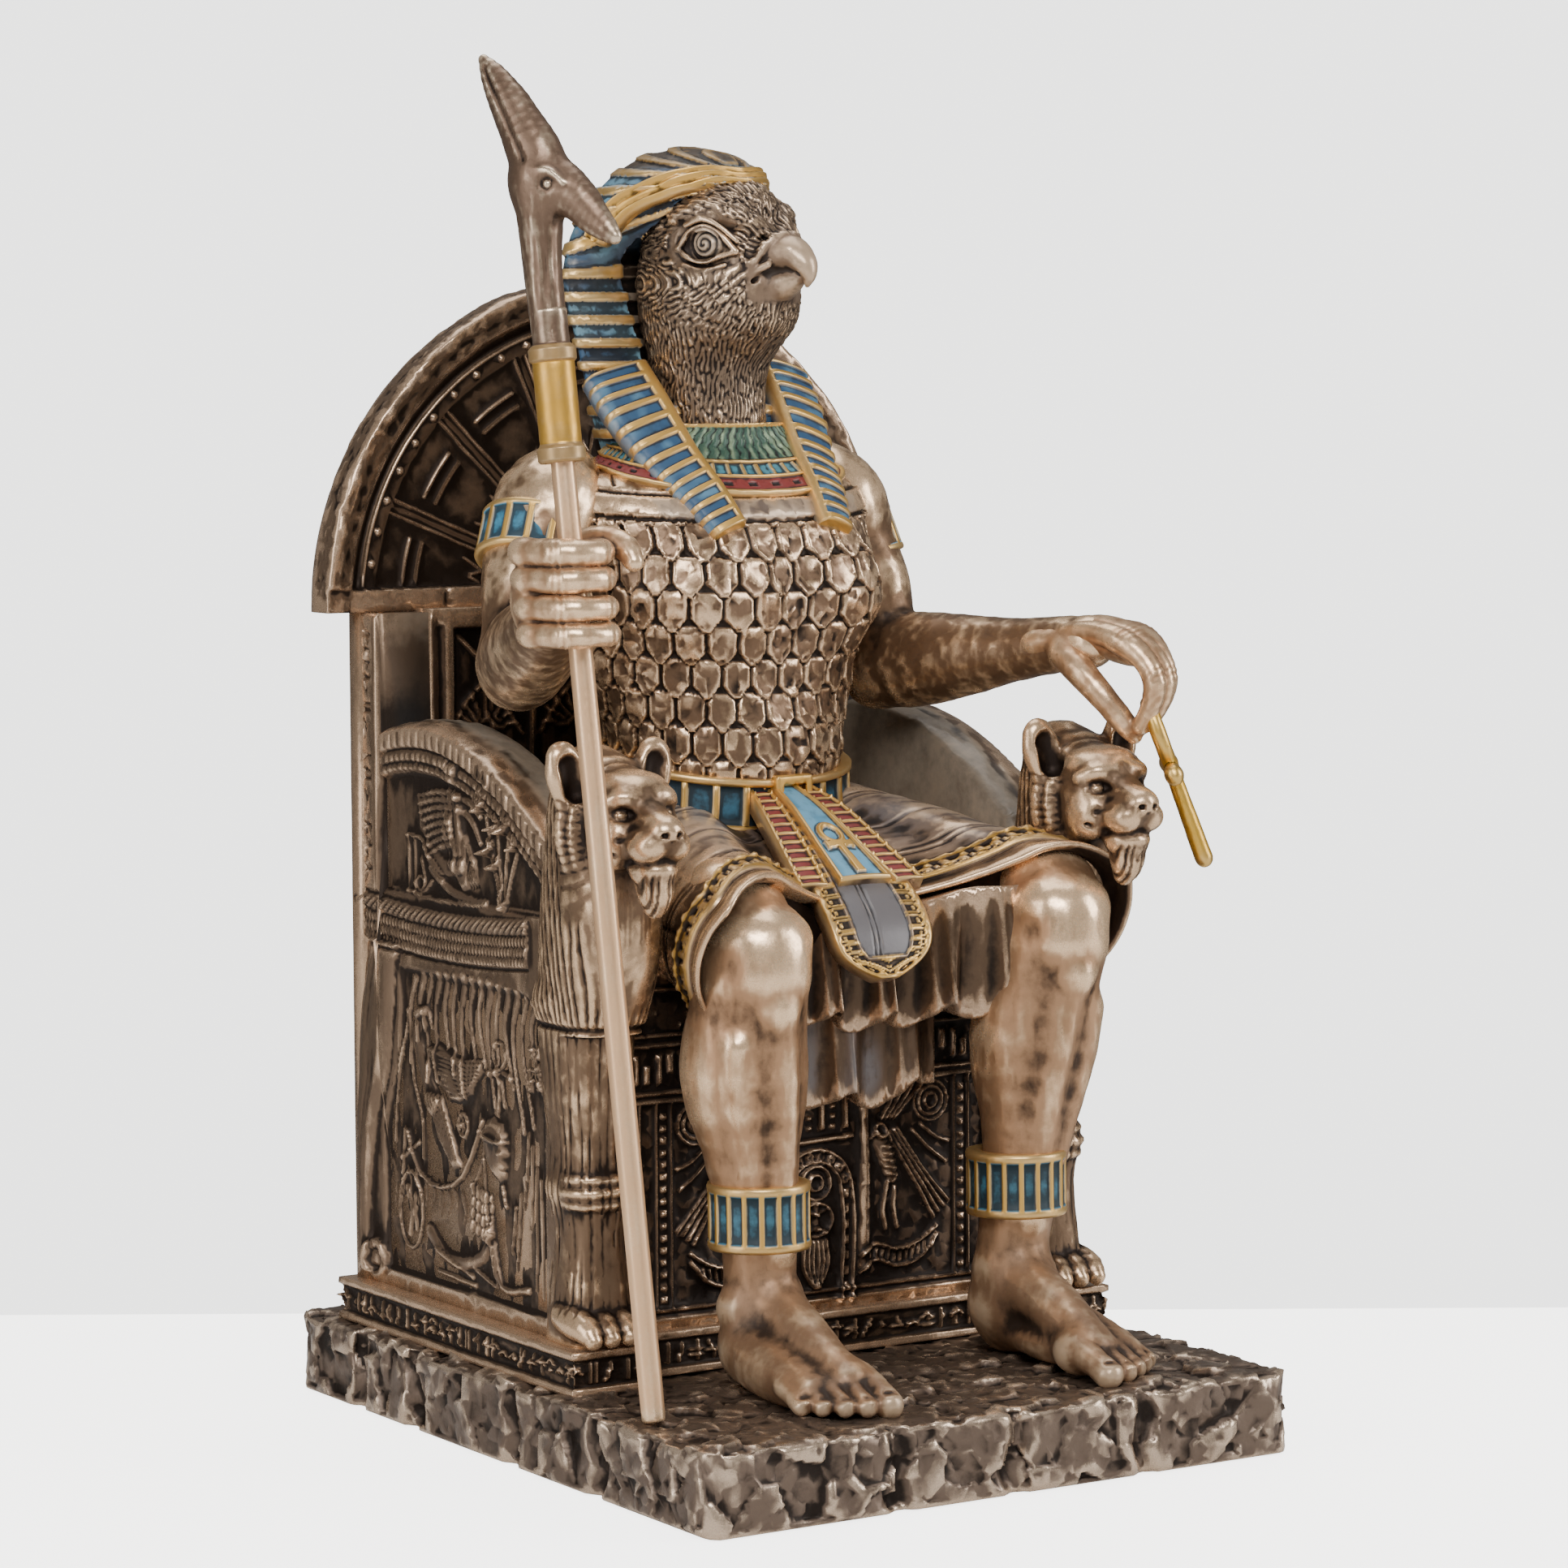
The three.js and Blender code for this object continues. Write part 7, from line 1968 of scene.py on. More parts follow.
def front_relief(x, z):
    """The seat's front: an arched frame over a disc and a mask, a bird and a boat at each side."""
    r = Relief(x, z)
    for v in (1.9, 3.8, 44.6, 46.4, 55.6, 57.6, 66.4):
        r.line([(-46, v), (46, v)], 1.0, 0.75)
    for k in range(17):
        u = -43 + k * 5.3
        r.box(u, 48, u + 1.6, 54, 0.7)
        r.box(u + 2.4, 48 + 2.0 * (k % 2), u + 4.2, 54 - 2.0 * ((k + 1) % 2), 0.6)
    # The arched frame of small blocks.
    for reach, top, width in ((8.6, 32.0, 0.8), (6.0, 29.6, 0.7)):
        a = np.linspace(0, math.pi, 9)
        arch = ([(-1.2 + reach, 1)] + [(-1.2 + reach * math.cos(t),
            top - reach + reach * math.sin(t)) for t in a] + [(-1.2 - reach, 1)])
        r.line(arch, width, 1.0, count=40)
    for side in (-1, 1):
        for k in range(7):
            r.box(-1.2 + side * 7.3 - 0.8, 3 + k * 3.1, -1.2 + side * 7.3 + 0.8, 5.2 + k * 3.1, 0.8)
        for k in range(4):
            t = math.pi * (0.1 + k * 0.115)
            u, v = -1.2 + side * 7.3 * math.cos(t), 23.4 + 7.3 * math.sin(t)
            r.ring(u, v, 0.6, 0.6, 0.9, 0.7)
    r.ring(-1.2, 25.4, 3.3, 3.3, 0.9, 1.1).ring(-1.2, 25.4, 1.5, 1.5, 0.8, 1.0)
    r.ring(-1.2, 18.0, 3.9, 3.3, 0.8, 0.9).line([(-1.2, 20.4), (-1.2, 16.2)], 1.5, 0.9)
    for side in (-1, 1):
        r.line([(-1.2, 19), (-1.2 + side * 2.6, 20)], 0.7,
            0.6).line([(-1.2, 16.4), (-1.2 + side * 2.0, 15.6)], 1.0, 0.8)
        for k in range(3):
            r.line([(-1.2 + side * (0.5 + k), 13.6), (-1.2 + side * (0.7 + k * 1.1), 9),
                (-1.2 + side * 0.4 * k, 4.6)], 0.8, 0.9)
    r.line([(-9.6, 33.6), (7.2, 34.2)], 1.3, 1.2)
    for k, u in enumerate((-8.2, -5.4, -2.6, 0.2, 3.0, 5.8)):
        if k % 2:
            r.box(u - 0.9, 35.6, u + 0.9, 43.6, 1.2)
        else:
            for j in range(4):
                r.box(u - 0.8, 35.8 + j * 2.0, u + 0.8, 37.0 + j * 2.0, 0.8)
    for side in (-1, 1):
        c = -1.2 + side * 1.2

        def at_side(*points):
            return [(c + side * u, v) for u, v in points]

        for u in (32.0, 35.4, 39.2, 43.4):
            r.line(at_side((u, 4), (u, 44)), 0.7, 0.7)
        for k in range(16):
            for near, far, top, height in ((32.9, 34.5, 6.5, 0.7), (40.0, 42.6, 6.2, 0.6)):
                u0, u1 = sorted((c + side * near, c + side * far))
                r.box(u0, 5 + k * 2.4, u1, top + k * 2.4, height)
        r.line(at_side((10.2, 8), (10.6, 24), (10.2, 43)), 3.0, 0.9, 2.4)
        # The bird: head, breast, folded wing, long tail, legs, and a raised wing.
        r.ring(c + side * 14.2, 34.6, 1.2, 1.2, 0.9, 0.9).line(at_side((12.8, 34.2), (11.8, 33.2)),
            0.9, 0.8)
        r.line(at_side((14.4, 33), (15.4, 29.5), (17, 25)), 4.6, 0.9, 3.0)
        for k in range(5):
            r.line(at_side((14.4 + 0.2 * k, 31.5 - 1.4 * k), (17.4 + 0.2 * k, 31 - 1.4 * k)), 0.6,
                0.5)
        for k in range(4):
            r.line(at_side((15.6 + k * 0.9, 34 + k * 0.2), (21 + k * 1.3, 26 - k * 0.2),
                (27 + k * 1.2, 16 + k)), 0.8, 0.8)
        for k in range(4):
            r.line(at_side((14.6 + k, 37.0), (17.0 + k * 1.6, 41), (18.0 + k * 2.2, 44)), 0.8, 0.8)
        r.line(at_side((15.8, 24), (14.8, 18), (15.4, 14.8)), 1.0,
            0.9).line(at_side((17.6, 23), (17.4, 18), (18.2, 14.8)), 1.0, 0.9)
        for far in (1.4, 2.8, 4.0):
            r.ring(c + side * 26.4, 39.6, far, far, 0.6, 0.6)
        r.line(at_side((22, 34), (26, 30), (30, 27)), 0.8, 0.6).line(at_side((24, 35), (28, 32),
            (30.6, 31)), 0.8, 0.6)
        # The boat of reeds below.
        for lift in (0, 3.4):
            r.line(at_side((9.4, 6.6 + lift), (12.5, 8.8 + lift * 0.9), (18, 7.0 + lift),
                (24, 8.4 + lift), (27.6, 12.4 + lift * 0.5)), 0.9, 0.9)
        for k in range(11):
            u = 11.6 + k * 1.45
            r.line(at_side((u, 8.0 + 0.03 * (u - 18) ** 2), (u + 0.3, 10.2 + 0.02 * (u - 18) ** 2)),
                0.6, 0.6)
    r.h += (0.12 * rough(joined(x, z), (3.0, 6.0), 3, 333)
        + 0.1 * facets(joined(x, 0 * x, z).reshape(-1, 3), 2.2, 335).reshape(x.shape))
    return r.h


def build_seat():
    x, z = grid(np.linspace(-58, 58, 340), np.linspace(-0.4, THRONE["seat"], 210))
    depth = front_relief(x, z)
    face = joined(x, THRONE["front"] - depth, z + PLINTH_TOP)
    # The seat's top runs back from the front wall to the throne's back.
    over = np.linspace(0, 1, 26)[1:]
    y = THRONE["front"] + over * (57.5 - THRONE["front"])
    lift = 0.3 * ripple(joined(*grid(x[:, 0] / 5, y / 5)), 1.0, 335)
    top = joined(np.tile(x[:, :1], (1, 25)), np.tile(y, (len(x), 1)), PLINTH_TOP + THRONE["seat"]
        + lift)
    under = joined(np.tile(x[:, :1], (1, 3)), np.tile([57.5, 20, -13], (len(x), 1)),
        np.full((len(x), 3), PLINTH_TOP - 0.4))
    rows = np.concatenate([face, top, under], 1)
    skin = closed(rows)
    make("throne_seat", skin, "Dark Bronze", faces=30000)


def build_plinth():
    """The plinth: a sunk frieze of strokes between two lips; its front steps back at the middle."""
    half, front, back, step, inner = 62.9, -25.7, 70.1, 44.5, -17.7
    outline = [(-half, front), (-step, front), (-step, inner), (step, inner), (step, front),
        (half, front), (half, back), (-half, back)]
    gap = 0.62
    points, normals = [], []
    for (x0, y0), (x1, y1) in zip(outline, outline[1:] + outline[:1]):
        run = np.hypot(x1 - x0, y1 - y0)
        count = max(int(run / gap), 2)
        t = (np.arange(count) / count)[:, None]
        points.append(vec(x0, y0) + t * vec(x1 - x0, y1 - y0))
        normals.append(np.tile(vec(y1 - y0, x0 - x1) / run, (count, 1)))
    p, n = np.concatenate(points), np.concatenate(normals)
    n = n + np.roll(n, 1, 0)
    n /= np.maximum(np.abs(n).max(1, keepdims=True), 1e-6)
    length = np.cumsum(np.linalg.norm(np.diff(p, axis=0, append=p[:1]), axis=1))
    z = np.concatenate([[0.0], np.linspace(0.15, 8.55, 30), [8.7]])
    profile = (-0.95 * smooth(z, 1.3, 1.9) * (1 - smooth(z, 6.8, 7.4)) - 0.4 * (z < 0.1)
        - 0.4 * (z > 8.6))
    r = Relief(length[:, None] + 0 * z[None], z[None] + 0 * length[:, None])
    r.h += profile[None]
    total = length[-1]
    r.marks(0, 2.0, total, 6.7, int(total / 3.6), 1, 0.55, 341, 0.7)
    r.line([(0, 1.1), (total, 1.1)], 0.5, -0.15)
    r.h += 0.14 * rough(joined(r.u, r.v), (4.0, 1.2), 3, 343)
    xy = p[:, None] + n[:, None] * r.h[..., None]
    rows = np.concatenate([xy, (SLAB_TOP + r.v)[..., None]], -1)
    # The plinth's top is a shallow tray inside the lip, closed by its middle.
    centre = vec(0, 22)
    tops = []
    for share in (0.985, 0.9, 0.7, 0.35):
        ring = centre + (p - centre) * share
        ring[:, 1] = np.maximum(ring[:, 1],
            np.where(np.abs(ring[:, 0]) < step, inner + 1.2 * (1 - share) * 10, front))
        tops.append(np.column_stack([ring, np.full(len(ring), PLINTH_TOP + 0.05)]))
    rows = np.concatenate([rows, np.stack(tops, 1)], 1)
    skin = closed(np.moveaxis(rows, 0, 1))
    make("throne_plinth", skin, "Cast Bronze", faces=20000)


BOARD = dict(radius=67.7, rim=6.2, back=70.0, front=61.8, field=64.6, foot=4.6)


def board_relief(x, z):
    """The half-round board's front: heights in front of its sunk field."""
    r = Relief(x, z)
    far = np.hypot(x, z)
    turn = np.arctan2(z, x)
    radius, rim = BOARD["radius"], BOARD["rim"]
    slope = smooth(far, radius - rim - 1.4, radius - rim + 1.2)
    r.h += 2.8 * slope
    r.h += 0.5 * bump(far, radius - 1.8, 2.0) * smooth(far, radius - 4, radius - 2)
    r.h -= 0.5 * bump(far, radius - rim - 1.9, 0.7)
    r.h += 0.3 * bump(far, radius - rim - 2.9, 0.45)
    r.h += (0.35 * smooth(far, radius - 12.4, radius - 12.0)
        * (1 - smooth(far, radius - 9.0, radius - 8.6)))
    for k in range(27):
        a = math.pi * (k + 0.45) / 26.9
        u, v = (radius - 10.6) * math.cos(a), (radius - 10.6) * math.sin(a)
        r.line([(u, v), (u + 0.01, v)], 1.7, 0.8)
    for i in range(1, 8):
        a = math.pi * i / 8
        c, s = math.cos(a), math.sin(a)
        for off in (-1.4, 0, 1.4):
            r.line([(6 * c - off * s, 6 * s + off * c), (55.2 * c - off * s, 55.2 * s + off * c)],
                0.8 if off else 1.2, 0.55 if off else 0.25)
    for i in range(8):
        a0, a1 = math.pi * (i + 0.24) / 8, math.pi * (i + 0.76) / 8
        for far0, w in ((49.5, 0.9), (46.6, 0.8)):
            arc = [(far0 * math.cos(a), far0 * math.sin(a)) for a in np.linspace(a0, a1, 5)]
            r.line(arc, w, 0.55)
        mid = (a0 + a1) / 2
        for far0, spread in ((36, 0.09), (29, 0.10)):
            bend = [((far0 - d) * math.cos(mid + t), (far0 - d) * math.sin(mid + t)) for t,
                d in ((-spread, 0), (-spread * 0.4, 4), (0, 1.5), (spread * 0.4, 4), (spread, 0))]
            r.line(bend, 0.8, 0.45, count=14)
    bar = 1 - smooth(z, BOARD["foot"] - 0.3, BOARD["foot"] + 0.3)
    r.h = mix(r.h, 2.4, bar)
    for u in (-40, -14, 12, 33):
        r.line([(u, 0), (u, 4.4)], 0.8, -0.7)
    q = joined(x, z)
    rough_rim = smooth(far, radius - rim - 0.5, radius - rim + 1.5)
    r.h += (rough_rim * (0.5 * rough(joined(far / 2.2, turn * 12), 1.0, 3, 351)
        - 0.3 * np.abs(ripple(joined(far, turn * 40), (3.0, 2.2), 353))))
    r.h += 0.07 * rough(q, (4.0, 4.0), 2, 355)
    return r.h


def build_board():
    radius = BOARD["radius"]
    turns, far = np.linspace(0, math.pi, 420), np.concatenate([np.linspace(0.05, 48, 70),
        np.linspace(48.6, radius - 0.3, 50)])
    tt, ff = grid(turns, far)
    x, z = ff * np.cos(tt), ff * np.sin(tt)
    depth = board_relief(x, z)
    front = joined(x, BOARD["field"] - depth, z + BOARD_FOOT)
    chip = (0.6 * rough(joined(turns * 30, 0 * turns), 2.4, 3, 357)
        - 0.5 * np.abs(ripple(joined(turns * 60, 0 * turns), 3.1, 359)))
    bend = np.linspace(0.1, 0.9, 9)
    depths = BOARD["front"] + 0.4 + bend * (BOARD["back"] - BOARD["front"] - 0.8)
    out = (radius + 0.1 * np.sin(bend * math.pi)[None] + 0.4 * chip[:, None]
        + 0.35 * rough(joined(turns[:, None] * 60 + 0 * bend[None], bend[None] * 8
        + 0 * turns[:, None]), (2.6, 1.6), 3, 361))
    edge = joined(out * np.cos(turns)[:, None], np.tile(depths, (len(turns), 1)),
        out * np.sin(turns)[:, None] + BOARD_FOOT)
    rear_far = np.linspace(radius - 0.5, 0.05, 56)
    rt, rf = grid(turns, rear_far)
    rear = Relief(rf * np.cos(rt), rf * np.sin(rt))
    rear.h += (0.7 * smooth(rf, radius - 7.4, radius - 6.8)
        * (1 - smooth(rf, radius - 3.2, radius - 2.6)))
    for i in range(1, 8):
        a = math.pi * i / 8
        rear.line([(10 * math.cos(a), 10 * math.sin(a)), (58 * math.cos(a), 58 * math.sin(a))], 1.6,
            0.6)
    for k in range(9):
        a = math.pi * (k + 0.5) / 9
        rear.line([(0, 3), (14 * math.cos(a), 3 + 14 * math.sin(a))], 2.0, 0.5, 3.0)
    rear.h += 0.2 * rough(joined(rear.u, rear.v), 5.0, 3, 363)
    back = joined(rear.u, BOARD["back"] + rear.h, rear.v + BOARD_FOOT)
    rows = np.concatenate([front, edge, back], 1)
    for end in (0, -1):
        rows[end, :, 2] = BOARD_FOOT
    skin = closed(rows)
    make("back_board", skin, "Panel Bronze", faces=42000)


# The two lions at the arms' ends: height above the plinth, ahead, half width and half depth.
MANE = [(60, 17, 8.2, 10.6), (64, 17.8, 8.6, 11.6), (75, 20, 9.6, 13), (88, 21.4, 9.9, 12.2),
    (97, 21.6, 9.6, 10.8), (106, 20.6, 8.6, 8.8), (113, 18.6, 5.4, 5.6), (115, 18, 2.0, 2.2)]
FORELEG = [(-0.4, 15.5, 7.4, 8.8), (8, 15.4, 6.9, 8.2), (26, 15.2, 6.5, 8), (29, 15.4, 7.2, 8.7),
    (33, 15.2, 6.7, 8.1), (50, 15, 7.6, 8.8), (66, 15, 8.2, 9.4), (69, 15, 8.0, 9.2)]


def build_lions():
    for side, name in ((-1, "right"), (1, "left")):
        cx, push = side * 53.0, (0.0 if side < 0 else 5.0)

        def shift(z):
            return push * smooth(z, PLINTH_TOP + 70, PLINTH_TOP + 95)

        def place(x, y, z):
            return (x - cx) * side, -(y + shift(z))

        def p(x, y, z):
            return vec(cx + side * x, y - push * float(smooth(z, 70, 95)), PLINTH_TOP + z)

        low, high = vec(cx - 15, -54 - push, PLINTH_TOP - 0.4), vec(cx + 15, 2, PLINTH_TOP + 118)
        clay = Clay(low, high, 0.5)
        box = (low, high)
        table = [(z + PLINTH_TOP, *row) for z, *row in MANE]
        clay.join(column(table, place, 2.6, box))
        table = [(z + PLINTH_TOP, *row) for z, *row in FORELEG]
        clay.join(column(table, place, 2.8, box))
        # Shoulder, then the head: ruff, skull, muzzle, jaw and beard, modelled forwards.
        clay.lump(p, (0.5, -13.5, 66), (8.6, 9.4, 6.0), 2.0)
        clay.lump(p, (0, -24.6, 99.6), (12.0, 4.0, 13.6), 1.2)
        clay.lump(p, (0, -27.2, 99.4), (10.9, 2.9, 12.5), 0.8)
        clay.lump(p, (0, -31.0, 102.6), (8.6, 7.4, 7.6), 1.6)
        clay.lump(p, (0, -32.0, 107.2), (7.6, 6.6, 3.8), 2.4)
        for s in (-1, 1):
            clay.lump(p, (s * 4.7, -34.2, 98.0), (4.4, 5.4, 5.4), 3.0)
            clay.rod(p, [(s * 2.0, -37.6, 106.0, 1.9), (s * 5.0, -37.0, 106.3, 1.7),
                (s * 7.6, -34.4, 105.0, 1.2)], 8, 1.2)
        clay.rod(p, [(0, -36.0, 104.2, 3.9), (0, -40.6, 101.8, 3.7), (0, -44.6, 100.6, 3.5)], 8,
            1.6, flat=(0, 0, 1), share=0.85)
        for s in (-1, 1):
            clay.lump(p, (s * 2.6, -42.0, 97.6), (3.5, 4.6, 3.3), 1.6)
            clay.lump(p, (s * 1.5, -46.2, 100.6), (1.5, 1.2, 1.1), 0.5)
        clay.lump(p, (0, -45.4, 100.9), (2.9, 1.9, 1.7), 0.7)
        clay.lump(p, (0, -40.0, 93.0), (4.6, 5.0, 2.5), 1.0)
        clay.rod(p, [(0, -40.4, 91.8, 3.6), (0, -41.0, 88.4, 3.1), (0, -40.8, 85.8, 1.9)], 8, 1.2)
        for s in (-1, 1):
            clay.rod(p, [(0, -47.0, 94.6, 0.55), (s * 3.2, -45.0, 93.9, 0.6),
                (s * 6.4, -40.0, 94.6, 0.55), (s * 7.6, -36.6, 96.4, 0.4)], 14, 0.5, joining=False)
            clay.lump(p, (s * 5.2, -38.4, 103.2), (2.3, 2.4, 1.2), 0.8, joining=False)
            clay.lump(p, (s * 4.8, -36.6, 103.0), (1.5, 1.2, 0.9), 0.2)
            clay.lump(p, (s * 1.5, -47.2, 99.9), (0.75, 0.9, 0.6), 0.3, joining=False)
            clay.rod(p, [(s * 5.6, -41.6, 99.8, 0.5), (s * 6.6, -38.6, 98.6, 0.5)], 4, 0.6,
                joining=False)
            ear = tube([(*p(s * 8.2, -24.4, 106.6), 4.0), (*p(s * 9.4, -24.2, 110.2), 4.2),
                (*p(s * 10.0, -24.0, 113.0), 3.4)], 8, (0, 1, 0), 0.62)
            clay.join(ear, 0.9)
            clay.rod(p, [(s * 8.6, -27.0, 107.0, 2.4), (s * 9.6, -27.0, 111.8, 2.6)], 6, 0.5,
                joining=False)
        clay.cut(bone(p(0, -47.4, 98.6), p(0, -47.0, 95.2), 0.45, 0.45), 0.4)
        # The paw's four toes, with a claw at each.
        for i in range(4):
            x = mix(-5.9, 5.9, i / 3)
            clay.rod(p, [(x * 0.9, -16, 5.2, 3.2), (x, -20.5, 4.6, 3.2),
                (x * 1.02, -25.0, 3.6, 2.6), (x * 1.02, -27.0, 2.2, 1.8)], 8, 0.45)
        skin = clay.skin()
        q = skin.p
        x, ahead, z = (q[:, 0] - cx) * side, -(q[:, 1] + shift(q[:, 2])), q[:, 2] - PLINTH_TOP
        bearing = np.arctan2(x, ahead - 17)
        mane = smooth(z, 60.5, 62.5) * (1 - smooth(z, 104, 110)) * smooth(24.6 - ahead, -6, -3)
        fan = bearing * 9.5 + (0.10 * (86 - z)) * np.sin(bearing)
        fan = fan + 0.5 * ripple(joined(bearing * 5, z / 14), 1.0, 371)
        strand = saw(fan / 1.75)
        ruff = (smooth(ahead, 22.2, 23.4) * (1 - smooth(ahead, 29.6, 30.6))
            * smooth(np.hypot(x, z - 100), 8.6, 9.6))
        ruff = ruff * smooth(z, 84, 88) * (1 - smooth(z, 105, 107))
        mane = mane * (1 - ruff) * (1 - smooth(ahead, 22.0, 23.0) * smooth(z, 80, 84))
        height = mane * (0.52 * (1 - smooth(strand, 0.35, 1.0)) - 0.30)
        spin = np.arctan2(x, z - 100) * 10.5
        hair = saw(spin / 1.5)
        height += ruff * (0.2 - 0.5 * smooth(hair, 0.5, 1.0)) * 0.36
        foreleg = smooth(z, 5.5, 8) * (1 - smooth(z, 60, 61.8)) * (ahead < 25)
        line = bearing * 8.6 + 0.8 * ripple(joined(bearing * 4, z / 18), 1.0, 373)
        groove = saw(line / 2.5)
        height += (foreleg * (-0.32 * smooth(groove, 0.62, 1.0)
            * (0.4 + 0.6 * smooth(ripple(joined(bearing * 3, z / 9), 1.0, 375), -0.4, 0.5))))
        height += (0.55 * foreleg * sum(bump(z, k, 0.95) for k in (27.0, 29.6, 32.2))
            * smooth(ahead, 15, 20))
        height -= 0.8 * bump(z, 61.2, 0.9) * (ahead < 30)
        beard = smooth(92.6 - z, 0, 1.5) * smooth(ahead, 33, 35)
        hairs = saw(x * 0.9)
        height += beard * (0.22 - 0.4 * smooth(hairs, 0.4, 1))
        height += 0.1 * rough(q, 2.0, 3, 377)
        skin.push(height)
        make(f"lion_{name}", skin, "Lion Bronze", faces=30000, gain=0.65)


# The lap's line between the thighs: y and height, from the belt to the flap's end.
LAP = [(1.5, 109), (-7, 105), (-17, 98.5), (-26, 92.5), (-33.5, 85.5), (-36.5, 76.5)]


def kilt_ring(t, count):
    """One section of the kilt over both thighs: points and the share of each thigh's arc."""
    right, left = (mix(-15, -28, t), mix(95, 84, t)), (mix(16, 42, t), mix(95, 86, t))
    radius, reach, middle = mix(18.5, 14, t), mix(26, -45, t), mix(1, 5, t)
    valley = mix(111, 90, 1.1 * float(smooth(t, 0.2, 1.15)))
    points = []
    for i in range(9):
        a = mix(1.25, 0.3, i / 8) * math.pi
        points.append((right[0] + radius * math.cos(a), right[1] + radius * math.sin(a),
            reach + 2.3 * t * abs(i - 4)))
    points += [(middle - 3, valley, reach + 21 * t), (middle + 3, valley, reach + 21 * t)]
    for i in range(9):
        a = mix(0.7, -0.25, i / 8) * math.pi
        points.append((left[0] + radius * math.cos(a), left[1] + radius * math.sin(a),
            reach + 2.3 * t * abs(i - 4)))
    points.append((middle, valley - 16, reach + 22 * t))
    ring = np.array(points)
    ring = np.concatenate([ring[-3:], ring, ring[:3]])
    keys = np.concatenate([[0], np.cumsum(np.linalg.norm(np.diff(ring[:, :2], axis=0), axis=1))])
    at_keys = np.linspace(keys[3], keys[-3], count, endpoint=False)
    x, z, y = eased(np.column_stack([keys, ring]), at_keys)
    return joined(x, y, z + SLAB_TOP), at_keys - keys[3]


def scallops(along, across, size):
    """A row of U-shaped loops with a dot in each; across runs from -1 at their foot to 1."""
    u = (part(along / size) - 0.5) * size
    v = across * size * 0.55
    far = np.hypot(u, np.minimum(v + size * 0.06, 0))
    loop = bump(np.where(v < -size * 0.06, far, np.abs(u)), size * 0.38, size * 0.13)
    dot = np.clip(1 - (np.hypot(u, v) / (size * 0.17)) ** 2, 0, 1)
    return np.maximum(np.sqrt(np.clip(loop, 0, 1)), np.sqrt(dot))


def build_kilt():
    count, steps = 300, 150
    t = np.concatenate([np.linspace(0, 0.8, 90, endpoint=False), np.linspace(0.8, 1.0, steps - 90)])
    rings = [kilt_ring(float(k), count) for k in t]
    rows = np.stack([r[0] for r in rings])
    s = np.stack([r[1] for r in rings])
    tt = t[:, None] + 0 * s
    n = sheet(rows, closed_across=True).normals().reshape(rows.shape)
    if (n[60, 60] @ (rows[60, 60] - rows[60].mean(0))) < 0:
        n = -n
    z = rows[..., 2] - SLAB_TOP
    mid = joined(s / 9, tt * 6)
    height = (0.45 * ripple(mid, 1.0, 401) * (tt < 0.84) + 0.16 * rough(joined(s, tt * 57),
        (7, 2.2), 3, 403))
    for k, level in enumerate((0.12, 0.16, 0.34, 0.37, 0.55, 0.72, 0.75)):
        wander = level + 0.02 * ripple(joined(s / 14, tt * 0 + k), 1.0, 405 + k)
        height -= 0.28 * bump(tt, wander, 0.008)
    for k in range(26):
        centre = k * 8.3 + 3 * math.sin(k * 2.4) + tt * 4 * math.sin(k * 1.7)
        height -= (0.25 * bump(s, centre, 0.5) * smooth(tt, 0.05, 0.1)
            * (1 - smooth(tt, 0.5 + 0.25 * math.sin(k), 0.6 + 0.25 * math.sin(k))))
    band = smooth(tt, 0.838, 0.843) * (1 - smooth(tt, 0.905, 0.91))
    border = bump(tt, 0.842, 0.008) + bump(tt, 0.912, 0.011)
    cuff = smooth(tt, 0.92, 0.93)
    dots = scallops(s, -(tt - 0.875) / 0.03, 3.3)
    height = (height * (1 - np.maximum(band, cuff)) + 0.5 * band + 0.6 * dots * band
        + 1.1 * np.sqrt(np.clip(border, 0, 1)))
    height += cuff * (0.5 + 0.9 * smooth(tt, 0.93, 0.985) + 0.08 * rough(rows, 3.0, 2, 409))
    rows = rows + n * height[..., None]
    # The cuff's rim turns in towards the knees.
    last = rows[-1]
    centre = np.where((last[:, :1] < mix(-28, 42, 0.47)), vec(-28, -39, 84 + SLAB_TOP)[None],
        vec(42, -39, 86 + SLAB_TOP)[None])
    rims = []
    for inward, back in ((0.03, -0.3), (0.09, 0.6), (0.14, 3.0), (0.17, 9.0)):
        ring = last + (centre - last) * inward
        ring[:, 1] = last[:, 1] + back
        rims.append(ring)
    rows = np.concatenate([rows, np.stack(rims)])
    skin = closed(rows)
    gilt = np.concatenate([(np.maximum(border, band * dots) > 0.3).ravel(), np.zeros(4 * count),
        [0, 0]])
    wash = smooth(z, 96, 108) * (0.65 + 0.35 * ripple(rows[: len(t)], 6.0, 411)) * (tt < 0.83)
    wash = np.concatenate([wash.ravel(), np.zeros(4 * count), [0, 0]])

    def paint(p, normal):
        colours = np.zeros((len(p), 4))
        colours[:] = pot(104, 108, 116, 0)
        nearest = nearest_rows(skin.p, p)
        colours[:, 3] = np.clip(wash[nearest], 0, 1) * 0.75
        on = gilt[nearest] > 0.5
        colours[on] = pot(190, 146, 70, 0.85)
        return colours

    make("kilt", skin, "Lion Bronze", paint=paint, faces=38000)


def nearest_rows(known, wanted):
    """For each wanted point the index of the nearest known one."""
    tree = kdtree.KDTree(len(known))
    for i, p in enumerate(known):
        tree.insert(p, i)
    tree.balance()
    return np.array([tree.find(p)[1] for p in wanted])


